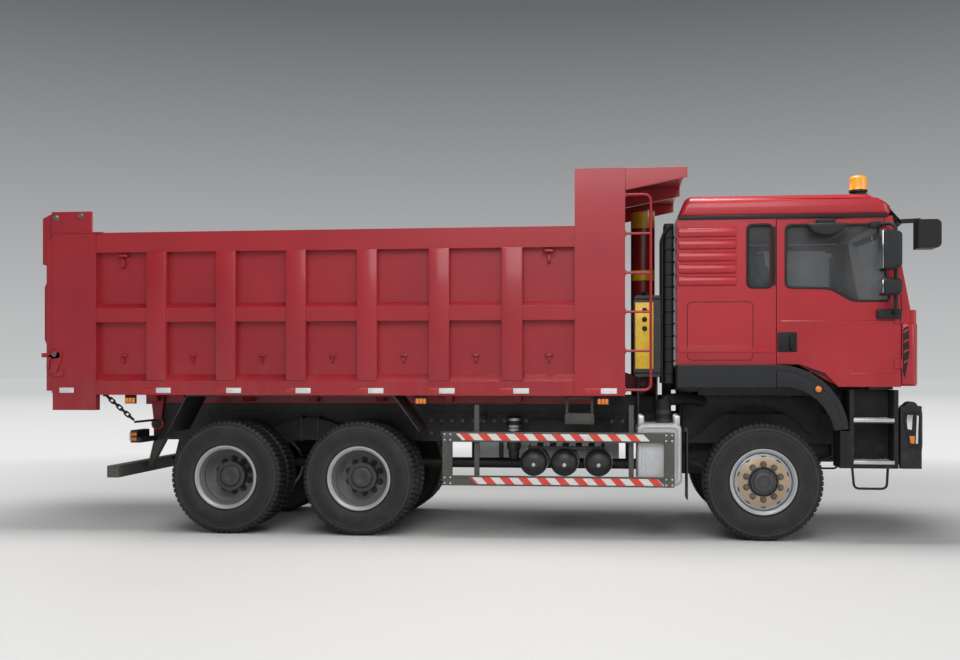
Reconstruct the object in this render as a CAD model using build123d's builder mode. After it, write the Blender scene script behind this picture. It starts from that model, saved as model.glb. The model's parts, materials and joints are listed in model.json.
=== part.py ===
"""A three-axle dump truck: ladder frame, tilting cab, high-sided bed on a front hoist, twin rear wheels.

Millimetres. +X is forward, +Y is left, +Z is up. The origin is on the ground under the middle of the
truck's own box, so every place along X is counted from one of the three axles.
"""
import os
from math import atan2, cos, hypot, radians, sin

from build123d import *

os.makedirs("parts", exist_ok=True)

# Driving lengths of the whole truck
wheelbase = 3900.0
bogie_spacing = 1350.0
bed_tail_overhang = 1790.0
tailgate_reach = 125.0
tail_overhang = bed_tail_overhang + tailgate_reach
mirror_overhang = 1640.0
overall_length = tail_overhang + bogie_spacing + wheelbase + mirror_overhang
rear_axle_x = tail_overhang - overall_length / 2
middle_axle_x = rear_axle_x + bogie_spacing
front_axle_x = middle_axle_x + wheelbase
bogie_x = (rear_axle_x + middle_axle_x) / 2

# Clearances
running_clearance = 0.3
seat_gap = 0.3
panel_gap = 6.0

# Wheels and tyres
tyre_radius = 562.5
tyre_width = 300.0
bead_radius = 290.0
rim_width = 230.0
rim_wall = 12.0
disc_thickness = 14.0
front_wheel_y = 1010.0
twin_middle_y = 915.0
twin_spacing = 336.0
drum_radius = 205.0
hub_radius = 128.0
hub_bore = 50.0
axle_z = tyre_radius

# Ladder frame and subframe
rail_top = 1190.0
rail_depth = 300.0
rail_bottom = rail_top - rail_depth
rail_outer = 425.0
rail_flange = 90.0
rail_web = 10.0
rail_nose_x = front_axle_x + 1180.0
subframe_height = 90.0
subframe_top = rail_top + subframe_height
subframe_tail_gap = 20.0

# Bed
bed_nose_setback = 1305.0
bed_tail_x = rear_axle_x - bed_tail_overhang
bed_nose_x = front_axle_x - bed_nose_setback
subframe_nose_setback = 305.0
subframe_nose_x = bed_nose_x - subframe_nose_setback
bed_inner = 1150.0
bed_outer = 1250.0
bed_sheet = 10.0
bed_floor_top = 1410.0
bed_floor_sheet = 10.0
bed_bottom = 1380.0
bed_top = 3010.0
front_post_rise = 548.0
front_post_top = bed_top + front_post_rise
rear_post_bottom = 1226.0
rear_post_length = 455.0
front_post_length = 480.0
headboard_thickness = 80.0
rail_face = 1240.0
stake_width = 205.0
stake_count = 6
first_stake_gap = 633.0
last_stake_gap = 602.0
stake_first_x = bed_tail_x + rear_post_length + first_stake_gap
stake_last_x = bed_nose_x - front_post_length - last_stake_gap
stake_pitch = (stake_last_x - stake_first_x) / (stake_count - 1)
hinge_inset = 790.0
hinge_x = bed_tail_x + hinge_inset
rail_tail_reach = 60.0
rail_tail_x = hinge_x - rail_tail_reach
hinge_z = 1060.0
hinge_pin_radius = 40.0
bed_tilt_max = 46.0
canopy_length = 586.0
canopy_plate = 10.0

# Tailgate
tailgate_bottom = 1420.0
tailgate_body = 70.0
tailgate_pivot_inset = 40.0
tailgate_pivot_rise = 155.0
tailgate_pivot_x = bed_tail_x + tailgate_pivot_inset
tailgate_pivot_z = bed_top + tailgate_pivot_rise
tailgate_pin_radius = 22.0

# Hoist
hoist_ahead = 201.0
hoist_x = bed_nose_x + hoist_ahead
hoist_base_z = 1120.0
hoist_trunnion_z = 1490.0
hoist_top_drop = 248.0
hoist_top = front_post_top - hoist_top_drop
hoist_cover_radius = 125.0
hoist_cover_wall = 12.0
hoist_pin_radius = 32.0
stage_wall = 10.0
stage_clearance = 1.0

# Cab
cab_half_width = 1150.0
cab_wall = 60.0
cab_rear_x = front_axle_x - 812.0
cab_front_overhang = 1345.0
cab_front_x = front_axle_x + cab_front_overhang
cab_roof_line = 3075.0
cab_roof_top = 3297.0
cab_waist = 2190.0
cab_pillar_top_x = front_axle_x + 1180.0
cab_floor_rear = 1676.0
cab_floor_front = 1476.0
cab_floor_thickness = 60.0
cab_pivot_x = front_axle_x + 1245.0
cab_pivot_z = 1400.0
cab_pin_radius = 30.0
nose_bow = 85.0
screen_bow = 70.0
nose_corner = 55.0
door_rear_x = front_axle_x + 121.0
door_front_x = front_axle_x + 1259.0
hinge_barrel = 12.0
hinge_leaf = 60.0
hinge_length = 90.0
door_hinge_z = [1640.0, 2060.0]
door_bottom = 1468.0
door_top = 3050.0
glass_thickness = 8.0

# Steering
kingpin_y = 830.0
kingpin_radius = 24.0
steering_arm_back = 215.0
ball_pin_radius = 14.0

SIDES = {"right": -1, "left": 1}


def across(side, inner, outer):
    """The span along Y between two distances from the middle, on one side."""
    return (inner, outer) if side > 0 else (-outer, -inner)


def around(middle, half):
    """The span that reaches half its length to each side of its middle."""
    return (middle - half, middle + half)


def block(x_span, y_span, z_span, mode=Mode.ADD):
    """A box between two corners."""
    spans = (x_span, y_span, z_span)
    with Locations(tuple((low + high) / 2 for low, high in spans)):
        Box(*(high - low for low, high in spans), mode=mode)


def rod_x(y, z, radius, x_span, mode=Mode.ADD):
    """A round bar along X."""
    with Locations(((x_span[0] + x_span[1]) / 2, y, z)):
        Cylinder(radius, x_span[1] - x_span[0], rotation=(0, 90, 0), mode=mode)


def rod_y(x, z, radius, y_span, mode=Mode.ADD):
    """A round bar along Y."""
    with Locations((x, (y_span[0] + y_span[1]) / 2, z)):
        Cylinder(radius, y_span[1] - y_span[0], rotation=(90, 0, 0), mode=mode)


def rod_z(x, y, radius, z_span, mode=Mode.ADD):
    """A round bar along Z."""
    with Locations((x, y, (z_span[0] + z_span[1]) / 2)):
        Cylinder(radius, z_span[1] - z_span[0], mode=mode)


def side_plate(points, y_span, mode=Mode.ADD):
    """A plate whose outline is drawn in X and Z."""
    with BuildSketch(Plane.XZ.offset(-y_span[1])) as outline:
        with BuildLine():
            Polyline(*points, close=True)
        make_face()
    extrude(outline.sketch, amount=y_span[1] - y_span[0], mode=mode)


def cross_plate(points, x_span, mode=Mode.ADD):
    """A plate whose outline is drawn in Y and Z."""
    with BuildSketch(Plane.YZ.offset(x_span[0])) as outline:
        with BuildLine():
            Polyline(*points, close=True)
        make_face()
    extrude(outline.sketch, amount=x_span[1] - x_span[0], mode=mode)


def bowed_plate(back_x, corner_x, middle_x, half_width, z_span, slope=0.0, mode=Mode.ADD):
    """A plate with a straight back and a front that bows forward; slope leans it back as it rises."""
    rise = z_span[1] - z_span[0]
    run = hypot(1.0, slope)
    with BuildSketch(Plane.XY.offset(z_span[0])) as outline:
        with BuildLine():
            back = [(back_x, half_width), (back_x, -half_width)]
            Polyline((corner_x, half_width), *back, (corner_x, -half_width))
            ThreePointArc((corner_x, -half_width), (middle_x, 0), (corner_x, half_width))
        make_face()
    extrude(outline.sketch, amount=rise * run, dir=(-slope / run, 0, 1 / run), mode=mode)


def turned(points, x, z, mode=Mode.ADD):
    """A turned body about a line along Y through X and Z; each point is a radius and a place along Y."""
    with BuildSketch(Plane.XY.offset(z)) as section:
        with BuildLine():
            Polyline(*((x + radius, y) for radius, y in points), close=True)
        make_face()
    revolve(section.sketch, axis=Axis((x, 0, z), (0, 1, 0)), mode=mode)


def save(piece, name):
    """Names a finished piece and writes it."""
    piece.part.label = name
    export_step(piece.part, f"parts/{name}.step")


def save_solids(pieces, name):
    """Writes finished solids that touch each other as one named piece."""
    group = Compound([solid for piece in pieces for solid in piece.part.solids()])
    group.label = name
    export_step(group, f"parts/{name}.step")


# Frame rails with crossmembers, the bed's hinge shaft, the hoist's ears and the tow jaw
crossmember_height = 200.0
crossmember_z = around(rail_bottom + rail_depth / 2, crossmember_height / 2)
rail_inner = rail_outer - rail_web
# Each crossmember's middle along X and its length along X
crossmembers = [
    (rail_tail_x + 50.0, 100.0),
    (rear_axle_x + 60.0, 90.0),
    (bogie_x, 160.0),
    (middle_axle_x + 480.0, 90.0),
    (middle_axle_x + 1500.0, 90.0),
    (rail_nose_x - 90.0, 100.0),
]
hinge_shaft_end = 482.0
hoist_cross_length = 150.0
hoist_cross_top = 1040.0
hoist_ear_inner = 62.0
hoist_ear_thickness = 25.0
hoist_ear_radius = 42.0
tow_ear_z = [(950.0, 970.0), (1030.0, 1050.0)]
tow_reach = 100.0
tow_half_width = 50.0
tow_pin_radius = 20.0
tow_x = rail_tail_x - 60.0

with BuildPart() as frame_rails:
    for side in SIDES.values():
        block((rail_tail_x, rail_nose_x), across(side, rail_inner, rail_outer), (rail_bottom, rail_top))
        flange_span = across(side, rail_outer - rail_flange, rail_outer)
        block((rail_tail_x, rail_nose_x), flange_span, (rail_bottom, rail_bottom + rail_web))
        block((rail_tail_x, rail_nose_x), flange_span, (rail_top - rail_web, rail_top))
    for middle, length in crossmembers:
        block(around(middle, length / 2), (-rail_inner, rail_inner), crossmember_z)
    hoist_cross = around(hoist_x, hoist_cross_length / 2)
    block(hoist_cross, (-rail_inner, rail_inner), (rail_bottom + rail_web, hoist_cross_top))
    for side in SIDES.values():
        ear = across(side, hoist_ear_inner, hoist_ear_inner + hoist_ear_thickness)
        block(around(hoist_x, hoist_ear_radius), ear, (hoist_cross_top, hoist_base_z))
        rod_y(hoist_x, hoist_base_z, hoist_ear_radius, ear)
    pin_end = hoist_ear_inner + hoist_ear_thickness
    rod_y(hoist_x, hoist_base_z, hoist_pin_radius, (-pin_end, pin_end))
    rod_y(hinge_x, hinge_z, hinge_pin_radius, (-hinge_shaft_end, hinge_shaft_end))
    for ear_z in tow_ear_z:
        block((rail_tail_x - tow_reach, rail_tail_x), (-tow_half_width, tow_half_width), ear_z)
    rod_z(tow_x, 0, tow_pin_radius, (tow_ear_z[0][0], tow_ear_z[1][1]), Mode.SUBTRACT)
save(frame_rails, "frame_rails")

# Subframe sills that the bed comes down on
with BuildPart() as subframe:
    for side in SIDES.values():
        sill = across(side, rail_outer - rail_flange, rail_outer)
        block((hinge_x + subframe_tail_gap, subframe_nose_x), sill, (rail_top, subframe_top))
    for middle, length in crossmembers[1:5]:
        cross_y = rail_outer - rail_flange
        block(around(middle, length / 2), (-cross_y, cross_y), (rail_top, subframe_top))
save(subframe, "subframe")

# Front axle beam with a dropped middle and a boss at each kingpin
beam_half_length = 55.0
boss_radius = 50.0
boss_half_height = 50.0
boss_z = around(axle_z, boss_half_height)
beam_drop = 60.0
beam_depth = 100.0
beam_inner_y = 560.0
beam_neck_y = 720.0
with BuildPart() as front_axle:
    low = boss_z[0] - beam_drop
    beam = [
        (-kingpin_y, boss_z[1]), (-beam_neck_y, boss_z[1]), (-beam_inner_y, low + beam_depth),
        (beam_inner_y, low + beam_depth), (beam_neck_y, boss_z[1]), (kingpin_y, boss_z[1]),
        (kingpin_y, boss_z[0]), (beam_neck_y, boss_z[0]), (beam_inner_y, low),
        (-beam_inner_y, low), (-beam_neck_y, boss_z[0]), (-kingpin_y, boss_z[0]),
    ]
    cross_plate(beam, around(front_axle_x, beam_half_length))
    cut = around(front_axle_x, beam_half_length + 1)
    for side in SIDES.values():
        block(cut, around(side * kingpin_y, boss_radius), boss_z, Mode.SUBTRACT)
        rod_z(front_axle_x, side * kingpin_y, boss_radius, boss_z)
        neck = across(side, kingpin_y - boss_radius - 1, kingpin_y - boss_radius / 2)
        block(around(front_axle_x, boss_radius / 2), neck, boss_z)
        rod_z(front_axle_x, side * kingpin_y, kingpin_radius + running_clearance, boss_z, Mode.SUBTRACT)
save(front_axle, "front_axle_beam")

# Leaf springs: one pair over the front axle, one pair rocking on the bogie's trunnion
front_spring_y = (rail_outer - rail_flange, rail_outer)
front_spring_half = 800.0
front_spring_end_z = 730.0
front_leaf = 60.0
spring_seat_z = boss_z[0] - beam_drop + beam_depth
hanger_half = 45.0
bogie_spring_y = (rail_outer + 20.0, rail_outer + 110.0)
bogie_spring_half = bogie_spacing / 2 + 85.0
bogie_seat_half = 90.0
bogie_seat_z = axle_z + 105.0
bogie_leaf_tip = 40.0
bogie_leaf_low = 900.0
bogie_leaf_high = 1130.0
trunnion_half = 150.0
trunnion_z = (bogie_leaf_low + 20.0, bogie_leaf_high - 20.0)
with BuildPart() as leaf_springs:
    for side in SIDES.values():
        span = across(side, *front_spring_y)
        with BuildSketch(Plane.XZ.offset(-span[1])) as leaf:
            with BuildLine():
                left, right = front_axle_x - front_spring_half, front_axle_x + front_spring_half
                low, high = front_spring_end_z, front_spring_end_z + front_leaf
                ThreePointArc((left, low), (front_axle_x, spring_seat_z), (right, low))
                Line((right, low), (right, high))
                ThreePointArc((right, high), (front_axle_x, spring_seat_z + front_leaf), (left, high))
                Line((left, high), (left, low))
            make_face()
        extrude(leaf.sketch, amount=span[1] - span[0])
        for end in (left, right):
            block(around(end, hanger_half), span, (low, rail_bottom))
        span = across(side, *bogie_spring_y)
        with BuildSketch(Plane.XZ.offset(-span[1])) as rocker:
            with BuildLine():
                tip, flat = bogie_spring_half, bogie_spacing / 2 - bogie_seat_half
                low, high = bogie_seat_z, bogie_seat_z + bogie_leaf_tip
                Polyline((bogie_x - flat, low), (bogie_x - tip, low), (bogie_x - tip, high))
                ThreePointArc((bogie_x - tip, high), (bogie_x, bogie_leaf_high), (bogie_x + tip, high))
                Polyline((bogie_x + tip, high), (bogie_x + tip, low), (bogie_x + flat, low))
                ThreePointArc((bogie_x + flat, low), (bogie_x, bogie_leaf_low), (bogie_x - flat, low))
            make_face()
        extrude(rocker.sketch, amount=span[1] - span[0])
        bracket = across(side, rail_outer, bogie_spring_y[0])
        block(around(bogie_x, trunnion_half), bracket, trunnion_z)
save(leaf_springs, "leaf_springs")

# Rear axle housings with their bowls, noses, spring pads and hub spindles
housing_radius = 75.0
housing_end_y = 640.0
bowl_radius = 240.0
bowl_half = 260.0
bowl_shoulder = (bowl_radius - 20.0, 120.0)
spindle_end_y = twin_middle_y + 130.0
nose_radius = 95.0
nose_reach = 330.0
shaft_z = 640.0
shaft_radius = 55.0
with BuildPart() as rear_axles:
    for axle_x in (middle_axle_x, rear_axle_x):
        half = [(bowl_radius, 0), bowl_shoulder, (housing_radius, bowl_half), (housing_radius, housing_end_y)]
        spindle = hub_bore - running_clearance
        half += [(spindle, housing_end_y), (spindle, spindle_end_y), (0, spindle_end_y)]
        turned(half + [(radius, -y) for radius, y in reversed(half[1:])], axle_x, axle_z)
        rod_x(0, shaft_z, nose_radius, (axle_x, axle_x + nose_reach))
        for side in SIDES.values():
            pad = across(side, *bogie_spring_y)
            block(around(axle_x, bogie_seat_half), pad, (axle_z, bogie_seat_z))
save(rear_axles, "rear_axles")

# Engine, gearbox and radiator as one mass, and the two propeller shafts
engine_x = (front_axle_x - 350.0, front_axle_x + 800.0)
engine_z = (700.0, 1400.0)
engine_half_width = 320.0
gearbox_nose_x = front_axle_x - 900.0
gearbox_half_width = 220.0
gearbox_z = (560.0, 1120.0)
radiator_x = (rail_nose_x - 260.0, rail_nose_x - 140.0)
radiator_half_width = 325.0
radiator_z = (800.0, 1400.0)
engine_mount_x = (front_axle_x + 200.0, front_axle_x + 320.0)
engine_mount_z = (1000.0, 1080.0)
with BuildPart() as power_train:
    block(engine_x, (-engine_half_width, engine_half_width), engine_z)
    block((gearbox_nose_x, engine_x[0]), (-gearbox_half_width, gearbox_half_width), gearbox_z)
    block(engine_mount_x, (-rail_inner, rail_inner), engine_mount_z)
    block(radiator_x, (-radiator_half_width, radiator_half_width), radiator_z)
    rod_x(0, shaft_z, shaft_radius, (middle_axle_x + nose_reach, gearbox_nose_x))
    rod_x(0, shaft_z, shaft_radius, (rear_axle_x + nose_reach, middle_axle_x - bowl_radius - seat_gap))
save(power_train, "power_train")

# Fuel tank on the left, with its brackets on the rail
fuel_ends = (950.0, 1350.0)
fuel_x = (middle_axle_x + fuel_ends[0], front_axle_x - fuel_ends[1])
fuel_y = (480.0, 1150.0)
fuel_z = (560.0, 1090.0)
fuel_corner = 70.0
fuel_bracket_inset = 250.0
fuel_bracket_width = 80.0
with BuildPart() as fuel_tank:
    block(fuel_x, fuel_y, fuel_z)
    fillet(fuel_tank.edges().filter_by(Axis.X), fuel_corner)
    for bracket_x in (fuel_x[0] + fuel_bracket_inset, fuel_x[1] - fuel_bracket_inset):
        bracket_z = (rail_bottom, fuel_z[1] - fuel_corner)
        block((bracket_x, bracket_x + fuel_bracket_width), (rail_outer, fuel_y[0]), bracket_z)
save(fuel_tank, "fuel_tank")

# Exhaust box on the right, with its bracket and the elbow above it
exhaust_x = (front_axle_x - 1194.0, front_axle_x - 767.0)
exhaust_y = (-1190.0, -700.0)
exhaust_z = (519.0, 1114.0)
exhaust_corner = 60.0
exhaust_bracket_z = (930.0, 1010.0)
exhaust_bracket_x = around((exhaust_x[0] + exhaust_x[1]) / 2, 60.0)
elbow_radius = 70.0
elbow_top = 1340.0
elbow_x = front_axle_x - 930.0
elbow_y = -900.0
with BuildPart() as exhaust_box:
    block(exhaust_x, exhaust_y, exhaust_z)
    fillet(exhaust_box.edges().filter_by(Axis.Y), exhaust_corner)
    block(exhaust_bracket_x, (exhaust_y[1], -rail_outer), exhaust_bracket_z)
save(exhaust_box, "exhaust_box")

# Ducts: the exhaust elbow and the tall air intake behind the cab
intake_x = (front_axle_x - 925.0, front_axle_x - 835.0)
intake_inset = 150.0
intake_width = 300.0
intake_y = (intake_inset - cab_half_width, intake_inset - cab_half_width + intake_width)
intake_z = (1500.0, 3050.0)
intake_corner = 30.0
intake_foot = 100.0
with BuildPart() as ducts:
    rod_z(elbow_x, elbow_y, elbow_radius, (exhaust_z[1], elbow_top))
    block(intake_x, intake_y, intake_z)
    fillet(ducts.edges().filter_by(Axis.Z), intake_corner)
    block(intake_x, (intake_y[1], -rail_outer), (intake_z[0], intake_z[0] + intake_foot))
    block(intake_x, (-rail_outer - intake_foot, -rail_outer), (rail_top - intake_foot, intake_z[0]))
save(ducts, "ducts")

# Air tanks across the frame, hung from one shelf, and the dryer beside them
air_tank_setbacks = [2193.0, 1893.0, 1562.0]
air_tank_x = [front_axle_x - setback for setback in air_tank_setbacks]
air_tank_radius = 135.0
air_tank_z = 725.0
air_tank_y = (-1120.0, -480.0)
air_shelf = 25.0
shelf_low = air_tank_z + air_tank_radius - 8.0
shelf_x = (air_tank_x[0] - 60.0, air_tank_x[-1] + 60.0)
shelf_y = (air_tank_y[0] + 100.0, -rail_outer)
hanger_top = rail_top - 60.0
dryer_setback = 2425.0
dryer_x = front_axle_x - dryer_setback
dryer_radius = 75.0
dryer_y = -rail_outer - 125.0
dryer_z = (720.0, 1160.0)
dryer_plate_half = 40.0
dryer_plate_low = rail_bottom + 60.0
with BuildPart() as air_tanks:
    block(shelf_x, shelf_y, (shelf_low, shelf_low + air_shelf))
    block(shelf_x, (-rail_outer - air_shelf, -rail_outer), (shelf_low, hanger_top))
    for tank_x in air_tank_x:
        rod_y(tank_x, air_tank_z, air_tank_radius, air_tank_y)
    rod_z(dryer_x, dryer_y, dryer_radius, dryer_z)
    block(around(dryer_x, dryer_plate_half), (dryer_y, -rail_outer), (dryer_plate_low, hanger_top))
save(air_tanks, "air_tanks")

# Side guards: two rails and two stiles a side, on two uprights with arms from the frame
guard_ends = (834.0, 840.0)
guard_x = (middle_axle_x + guard_ends[0], front_axle_x - guard_ends[1])
guard_z = (508.0, 1028.0)
guard_y = (1205.0, 1245.0)
guard_rail = 97.0
upright_insets = (331.0, 407.0)
upright_x = [guard_x[0] + upright_insets[0], guard_x[1] - upright_insets[1]]
upright_width = 48.0
upright_top = 1290.0
guard_arm_z = (1120.0, 1168.0)
with BuildPart() as side_guards:
    for side in SIDES.values():
        block(guard_x, across(side, *guard_y), guard_z)
        window_x = (guard_x[0] + guard_rail, guard_x[1] - guard_rail)
        window_z = (guard_z[0] + guard_rail, guard_z[1] - guard_rail)
        block(window_x, across(side, *guard_y), window_z, Mode.SUBTRACT)
    for side in SIDES.values():
        for middle in upright_x:
            post_x = around(middle, upright_width / 2)
            block(post_x, across(side, guard_y[0] - upright_width, guard_y[0]), (guard_z[0], upright_top))
            block(post_x, across(side, rail_outer, guard_y[0]), guard_arm_z)
save(side_guards, "side_guards")

# Rear underrun beam on two triangular brackets under the rails
underrun_x = (rail_tail_x - 180.0, rail_tail_x - 55.0)
underrun_half_width = 1200.0
underrun_z = (545.0, 665.0)
underrun_root = 130.0
underrun_heel = 15.0
with BuildPart() as rear_underrun:
    block(underrun_x, (-underrun_half_width, underrun_half_width), underrun_z)
    bracket = [
        (rail_tail_x, rail_bottom), (rail_tail_x + underrun_root, rail_bottom),
        (underrun_x[1], underrun_z[0] + underrun_heel), (underrun_x[1], underrun_z[1]),
    ]
    for side in SIDES.values():
        side_plate(bracket, across(side, rail_outer - rail_flange, rail_outer))
save(rear_underrun, "rear_underrun")

# Lamps: the tail lamps on their bar and the headlamps in the bumper's corners
bumper_depth = 80.0
bumper_back_x = cab_front_x
bumper_corner_x = bumper_back_x + bumper_depth
bumper_bow = 75.0
bumper_half_width = 1235.0
bumper_z = (708.0, 1290.0)
bumper_skin = 70.0
bumper_middle_top = 1240.0
headlamp_y = (760.0, 1180.0)
headlamp_z = (866.0, 1260.0)
headlamp_stand = 15.0
tail_bar_z = (rail_bottom - 10.0, rail_bottom + 45.0)
tail_bar_x = (rail_tail_x + 10.0, rail_tail_x + 50.0)
tail_lamp_y = (560.0, 900.0)
tail_lamp_x = (rail_tail_x - 60.0, rail_tail_x + 10.0)
tail_lamp_height = 130.0
with BuildPart() as lamps:
    for side in SIDES.values():
        block(tail_bar_x, across(side, rail_outer, tail_lamp_y[1]), tail_bar_z)
        block(tail_lamp_x, across(side, *tail_lamp_y), (tail_bar_z[0], tail_bar_z[0] + tail_lamp_height))
with BuildPart() as headlamps:
    front = bumper_corner_x + headlamp_stand
    bowed_plate(bumper_back_x, front, front + bumper_bow, bumper_half_width, headlamp_z)
    lamp_x = (bumper_back_x, front + bumper_bow)
    for side in SIDES.values():
        block(lamp_x, across(side, headlamp_y[1], bumper_half_width), headlamp_z, Mode.SUBTRACT)
    block(lamp_x, (-headlamp_y[0], headlamp_y[0]), headlamp_z, Mode.SUBTRACT)
save(lamps, "tail_lamps")
save(headlamps, "headlamps")

# Bumper: a bowed skin with side returns, pockets for the headlamps, on two arms from the rails
bumper_return = 110.0
slot_depth = 20.0
slot_y = (-620.0, 620.0)
bumper_slots = [(780.0, 860.0), (1080.0, 1180.0)]
bumper_arm_z = (rail_bottom + 20.0, rail_bottom + 200.0)
with BuildPart() as bumper:
    bumper_nose_x = bumper_corner_x + bumper_bow
    bowed_plate(bumper_back_x, bumper_corner_x, bumper_nose_x, bumper_half_width, bumper_z)
    middle_y = (-headlamp_y[0], headlamp_y[0])
    block((bumper_back_x, bumper_nose_x), middle_y, (bumper_middle_top, bumper_z[1]), Mode.SUBTRACT)
    for low, high in bumper_slots:
        block((bumper_corner_x - slot_depth, bumper_nose_x), slot_y, (low, high), Mode.SUBTRACT)
    for side in SIDES.values():
        block((bumper_back_x, bumper_nose_x), across(side, *headlamp_y), headlamp_z, Mode.SUBTRACT)
        cheek = across(side, bumper_half_width - bumper_skin, bumper_half_width)
        block((bumper_back_x - bumper_return, bumper_back_x), cheek, bumper_z)
        bumper_arm = across(side, rail_outer - rail_flange, rail_outer)
        block((rail_nose_x, bumper_back_x), bumper_arm, bumper_arm_z)
save(bumper, "bumper")

# Entry steps ahead of the front wheels: a housing with two treads, hung from the rail
step_x = (front_axle_x + 775.0, front_axle_x + 1215.0)
step_heel_x = front_axle_x + 690.0
step_heel_top = 1055.0
step_y = (880.0, 1240.0)
step_z = (708.0, 1440.0)
step_wall = 40.0
tread_z = [773.0, 1166.0]
tread_depth = 240.0
step_arm_z = (1090.0, 1170.0)
loop_x = (front_axle_x + 816.0, front_axle_x + 1142.0)
loop_low = 512.0
loop_tube = 14.0
loop_step = 2.0
loop_y = step_y[1] - 40.0
step_arm_x = (front_axle_x + 860.0, front_axle_x + 950.0)
with BuildPart() as entry_steps:
    for side in SIDES.values():
        block(step_x, across(side, *step_y), step_z)
        block((step_heel_x, step_x[0]), across(side, *step_y), (step_z[0], step_heel_top))
        pocket_x = (step_x[0] + step_wall, step_x[1] - step_wall)
        pocket_y = across(side, step_y[1] - tread_depth, step_y[1])
        for low, high in ((tread_z[0], tread_z[1] - step_wall), (tread_z[1], step_z[1])):
            block(pocket_x, pocket_y, (low, high), Mode.SUBTRACT)
    for side in SIDES.values():
        block(step_arm_x, across(side, rail_outer, step_y[0]), step_arm_z)
        for leg_x in loop_x:
            rod_z(leg_x, side * loop_y, loop_tube, (loop_low - loop_tube, step_z[0]))
        rod_x(side * loop_y, loop_low, loop_tube - loop_step, loop_x)
save(entry_steps, "entry_steps")

# Front fenders under the cab's floor: a flat rear stretch and an arch over each steered wheel
fender_y = (900.0, 1245.0)
fender_x = (front_axle_x - 818.0, front_axle_x + 770.0)
fender_top = cab_floor_rear
fender_sheet = 60.0
fender_rear_low = 1455.0
arch_x = front_axle_x + 108.0
arch_foot_z = 1066.0
arch_half = sin(radians(45.0))
with BuildPart() as front_fenders:
    for side in SIDES.values():
        span = across(side, *fender_y)
        with BuildSketch(Plane.XZ.offset(-span[1])) as arch:
            with BuildLine():
                run, drop = fender_x[1] - arch_x, fender_top - arch_foot_z
                arch_radius = (run ** 2 + drop ** 2) / (2 * drop)
                arch_z = fender_top - arch_radius
                outer_mid = (arch_x + arch_radius * arch_half, arch_z + arch_radius * arch_half)
                inner_radius = arch_radius - fender_sheet
                inner_mid = (arch_x + inner_radius * arch_half, arch_z + inner_radius * arch_half)
                inner_foot = (fender_x[1] - fender_sheet, arch_foot_z)
                Polyline((arch_x, fender_top), (fender_x[0], fender_top), (fender_x[0], fender_rear_low))
                Line((fender_x[0], fender_rear_low), (fender_x[0] + fender_sheet, fender_rear_low))
                Polyline(
                    (fender_x[0] + fender_sheet, fender_rear_low),
                    (fender_x[0] + fender_sheet, fender_top - fender_sheet),
                    (arch_x, fender_top - fender_sheet),
                )
                ThreePointArc((arch_x, fender_top - fender_sheet), inner_mid, inner_foot)
                Line(inner_foot, (fender_x[1], arch_foot_z))
                ThreePointArc((fender_x[1], arch_foot_z), outer_mid, (arch_x, fender_top))
            make_face()
        extrude(arch.sketch, amount=span[1] - span[0])
        skirt_x = (fender_x[0], arch_x)
        skirt = across(side, fender_y[1] - fender_sheet / 2, fender_y[1])
        block(skirt_x, skirt, (fender_rear_low, fender_top))
save(front_fenders, "front_fenders")

# Hoist oil tank behind the cab, on two upright plates from the rail
oil_x = (front_axle_x - 1220.0, front_axle_x - 940.0)
oil_y = (-1000.0, -450.0)
oil_z = (1560.0, 2355.0)
oil_corner = 40.0
oil_leg = 20.0
oil_leg_y = (-800.0, -rail_outer)
oil_leg_low = 1130.0
with BuildPart() as oil_tank:
    block(oil_x, oil_y, oil_z)
    fillet(oil_tank.edges().filter_by(Axis.Y), oil_corner)
    for leg_x in (oil_x[0] + oil_corner, oil_x[1] - oil_corner - oil_leg):
        block((leg_x, leg_x + oil_leg), oil_leg_y, (oil_leg_low, oil_z[0]))
save(oil_tank, "oil_tank")

# Cab mounts: front pivot brackets with their pins, and a rear arch that the cab rests on
mount_plate_y = (rail_outer, rail_outer + 20.0)
lug_y = (mount_plate_y[1] + 8.0, mount_plate_y[1] + 48.0)
arch_leg_x = (front_axle_x - 740.0, front_axle_x - 640.0)
arch_pad_end = 700.0
arch_beam = 80.0
arch_z_span = (cab_floor_rear - arch_beam, cab_floor_rear - seat_gap)
mount_plate_x = (rail_nose_x - 200.0, rail_nose_x)
mount_plate_low = rail_bottom + 60.0
pivot_head_x = around(cab_pivot_x, 45.0)
pivot_head_z = (cab_pivot_z - 60.0, cab_pivot_z + 30.0)
with BuildPart() as cab_mounts:
    plate = [
        (mount_plate_x[0], mount_plate_low), (mount_plate_x[1], mount_plate_low),
        (pivot_head_x[1], pivot_head_z[0]), (pivot_head_x[1], pivot_head_z[1]),
        (pivot_head_x[0], pivot_head_z[1]), (mount_plate_x[0], rail_top),
    ]
    for side in SIDES.values():
        side_plate(plate, across(side, *mount_plate_y))
        rod_y(cab_pivot_x, cab_pivot_z, cab_pin_radius, across(side, mount_plate_y[0], lug_y[1]))
        arch_leg_y = across(side, rail_outer - rail_flange, rail_outer)
        block(arch_leg_x, arch_leg_y, (rail_top, cab_floor_rear - seat_gap))
        block(arch_leg_x, across(side, rail_outer, arch_pad_end), arch_z_span)
    cross_y = rail_outer - rail_flange
    block(arch_leg_x, (-cross_y, cross_y), arch_z_span)
save(cab_mounts, "cab_mounts")

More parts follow.
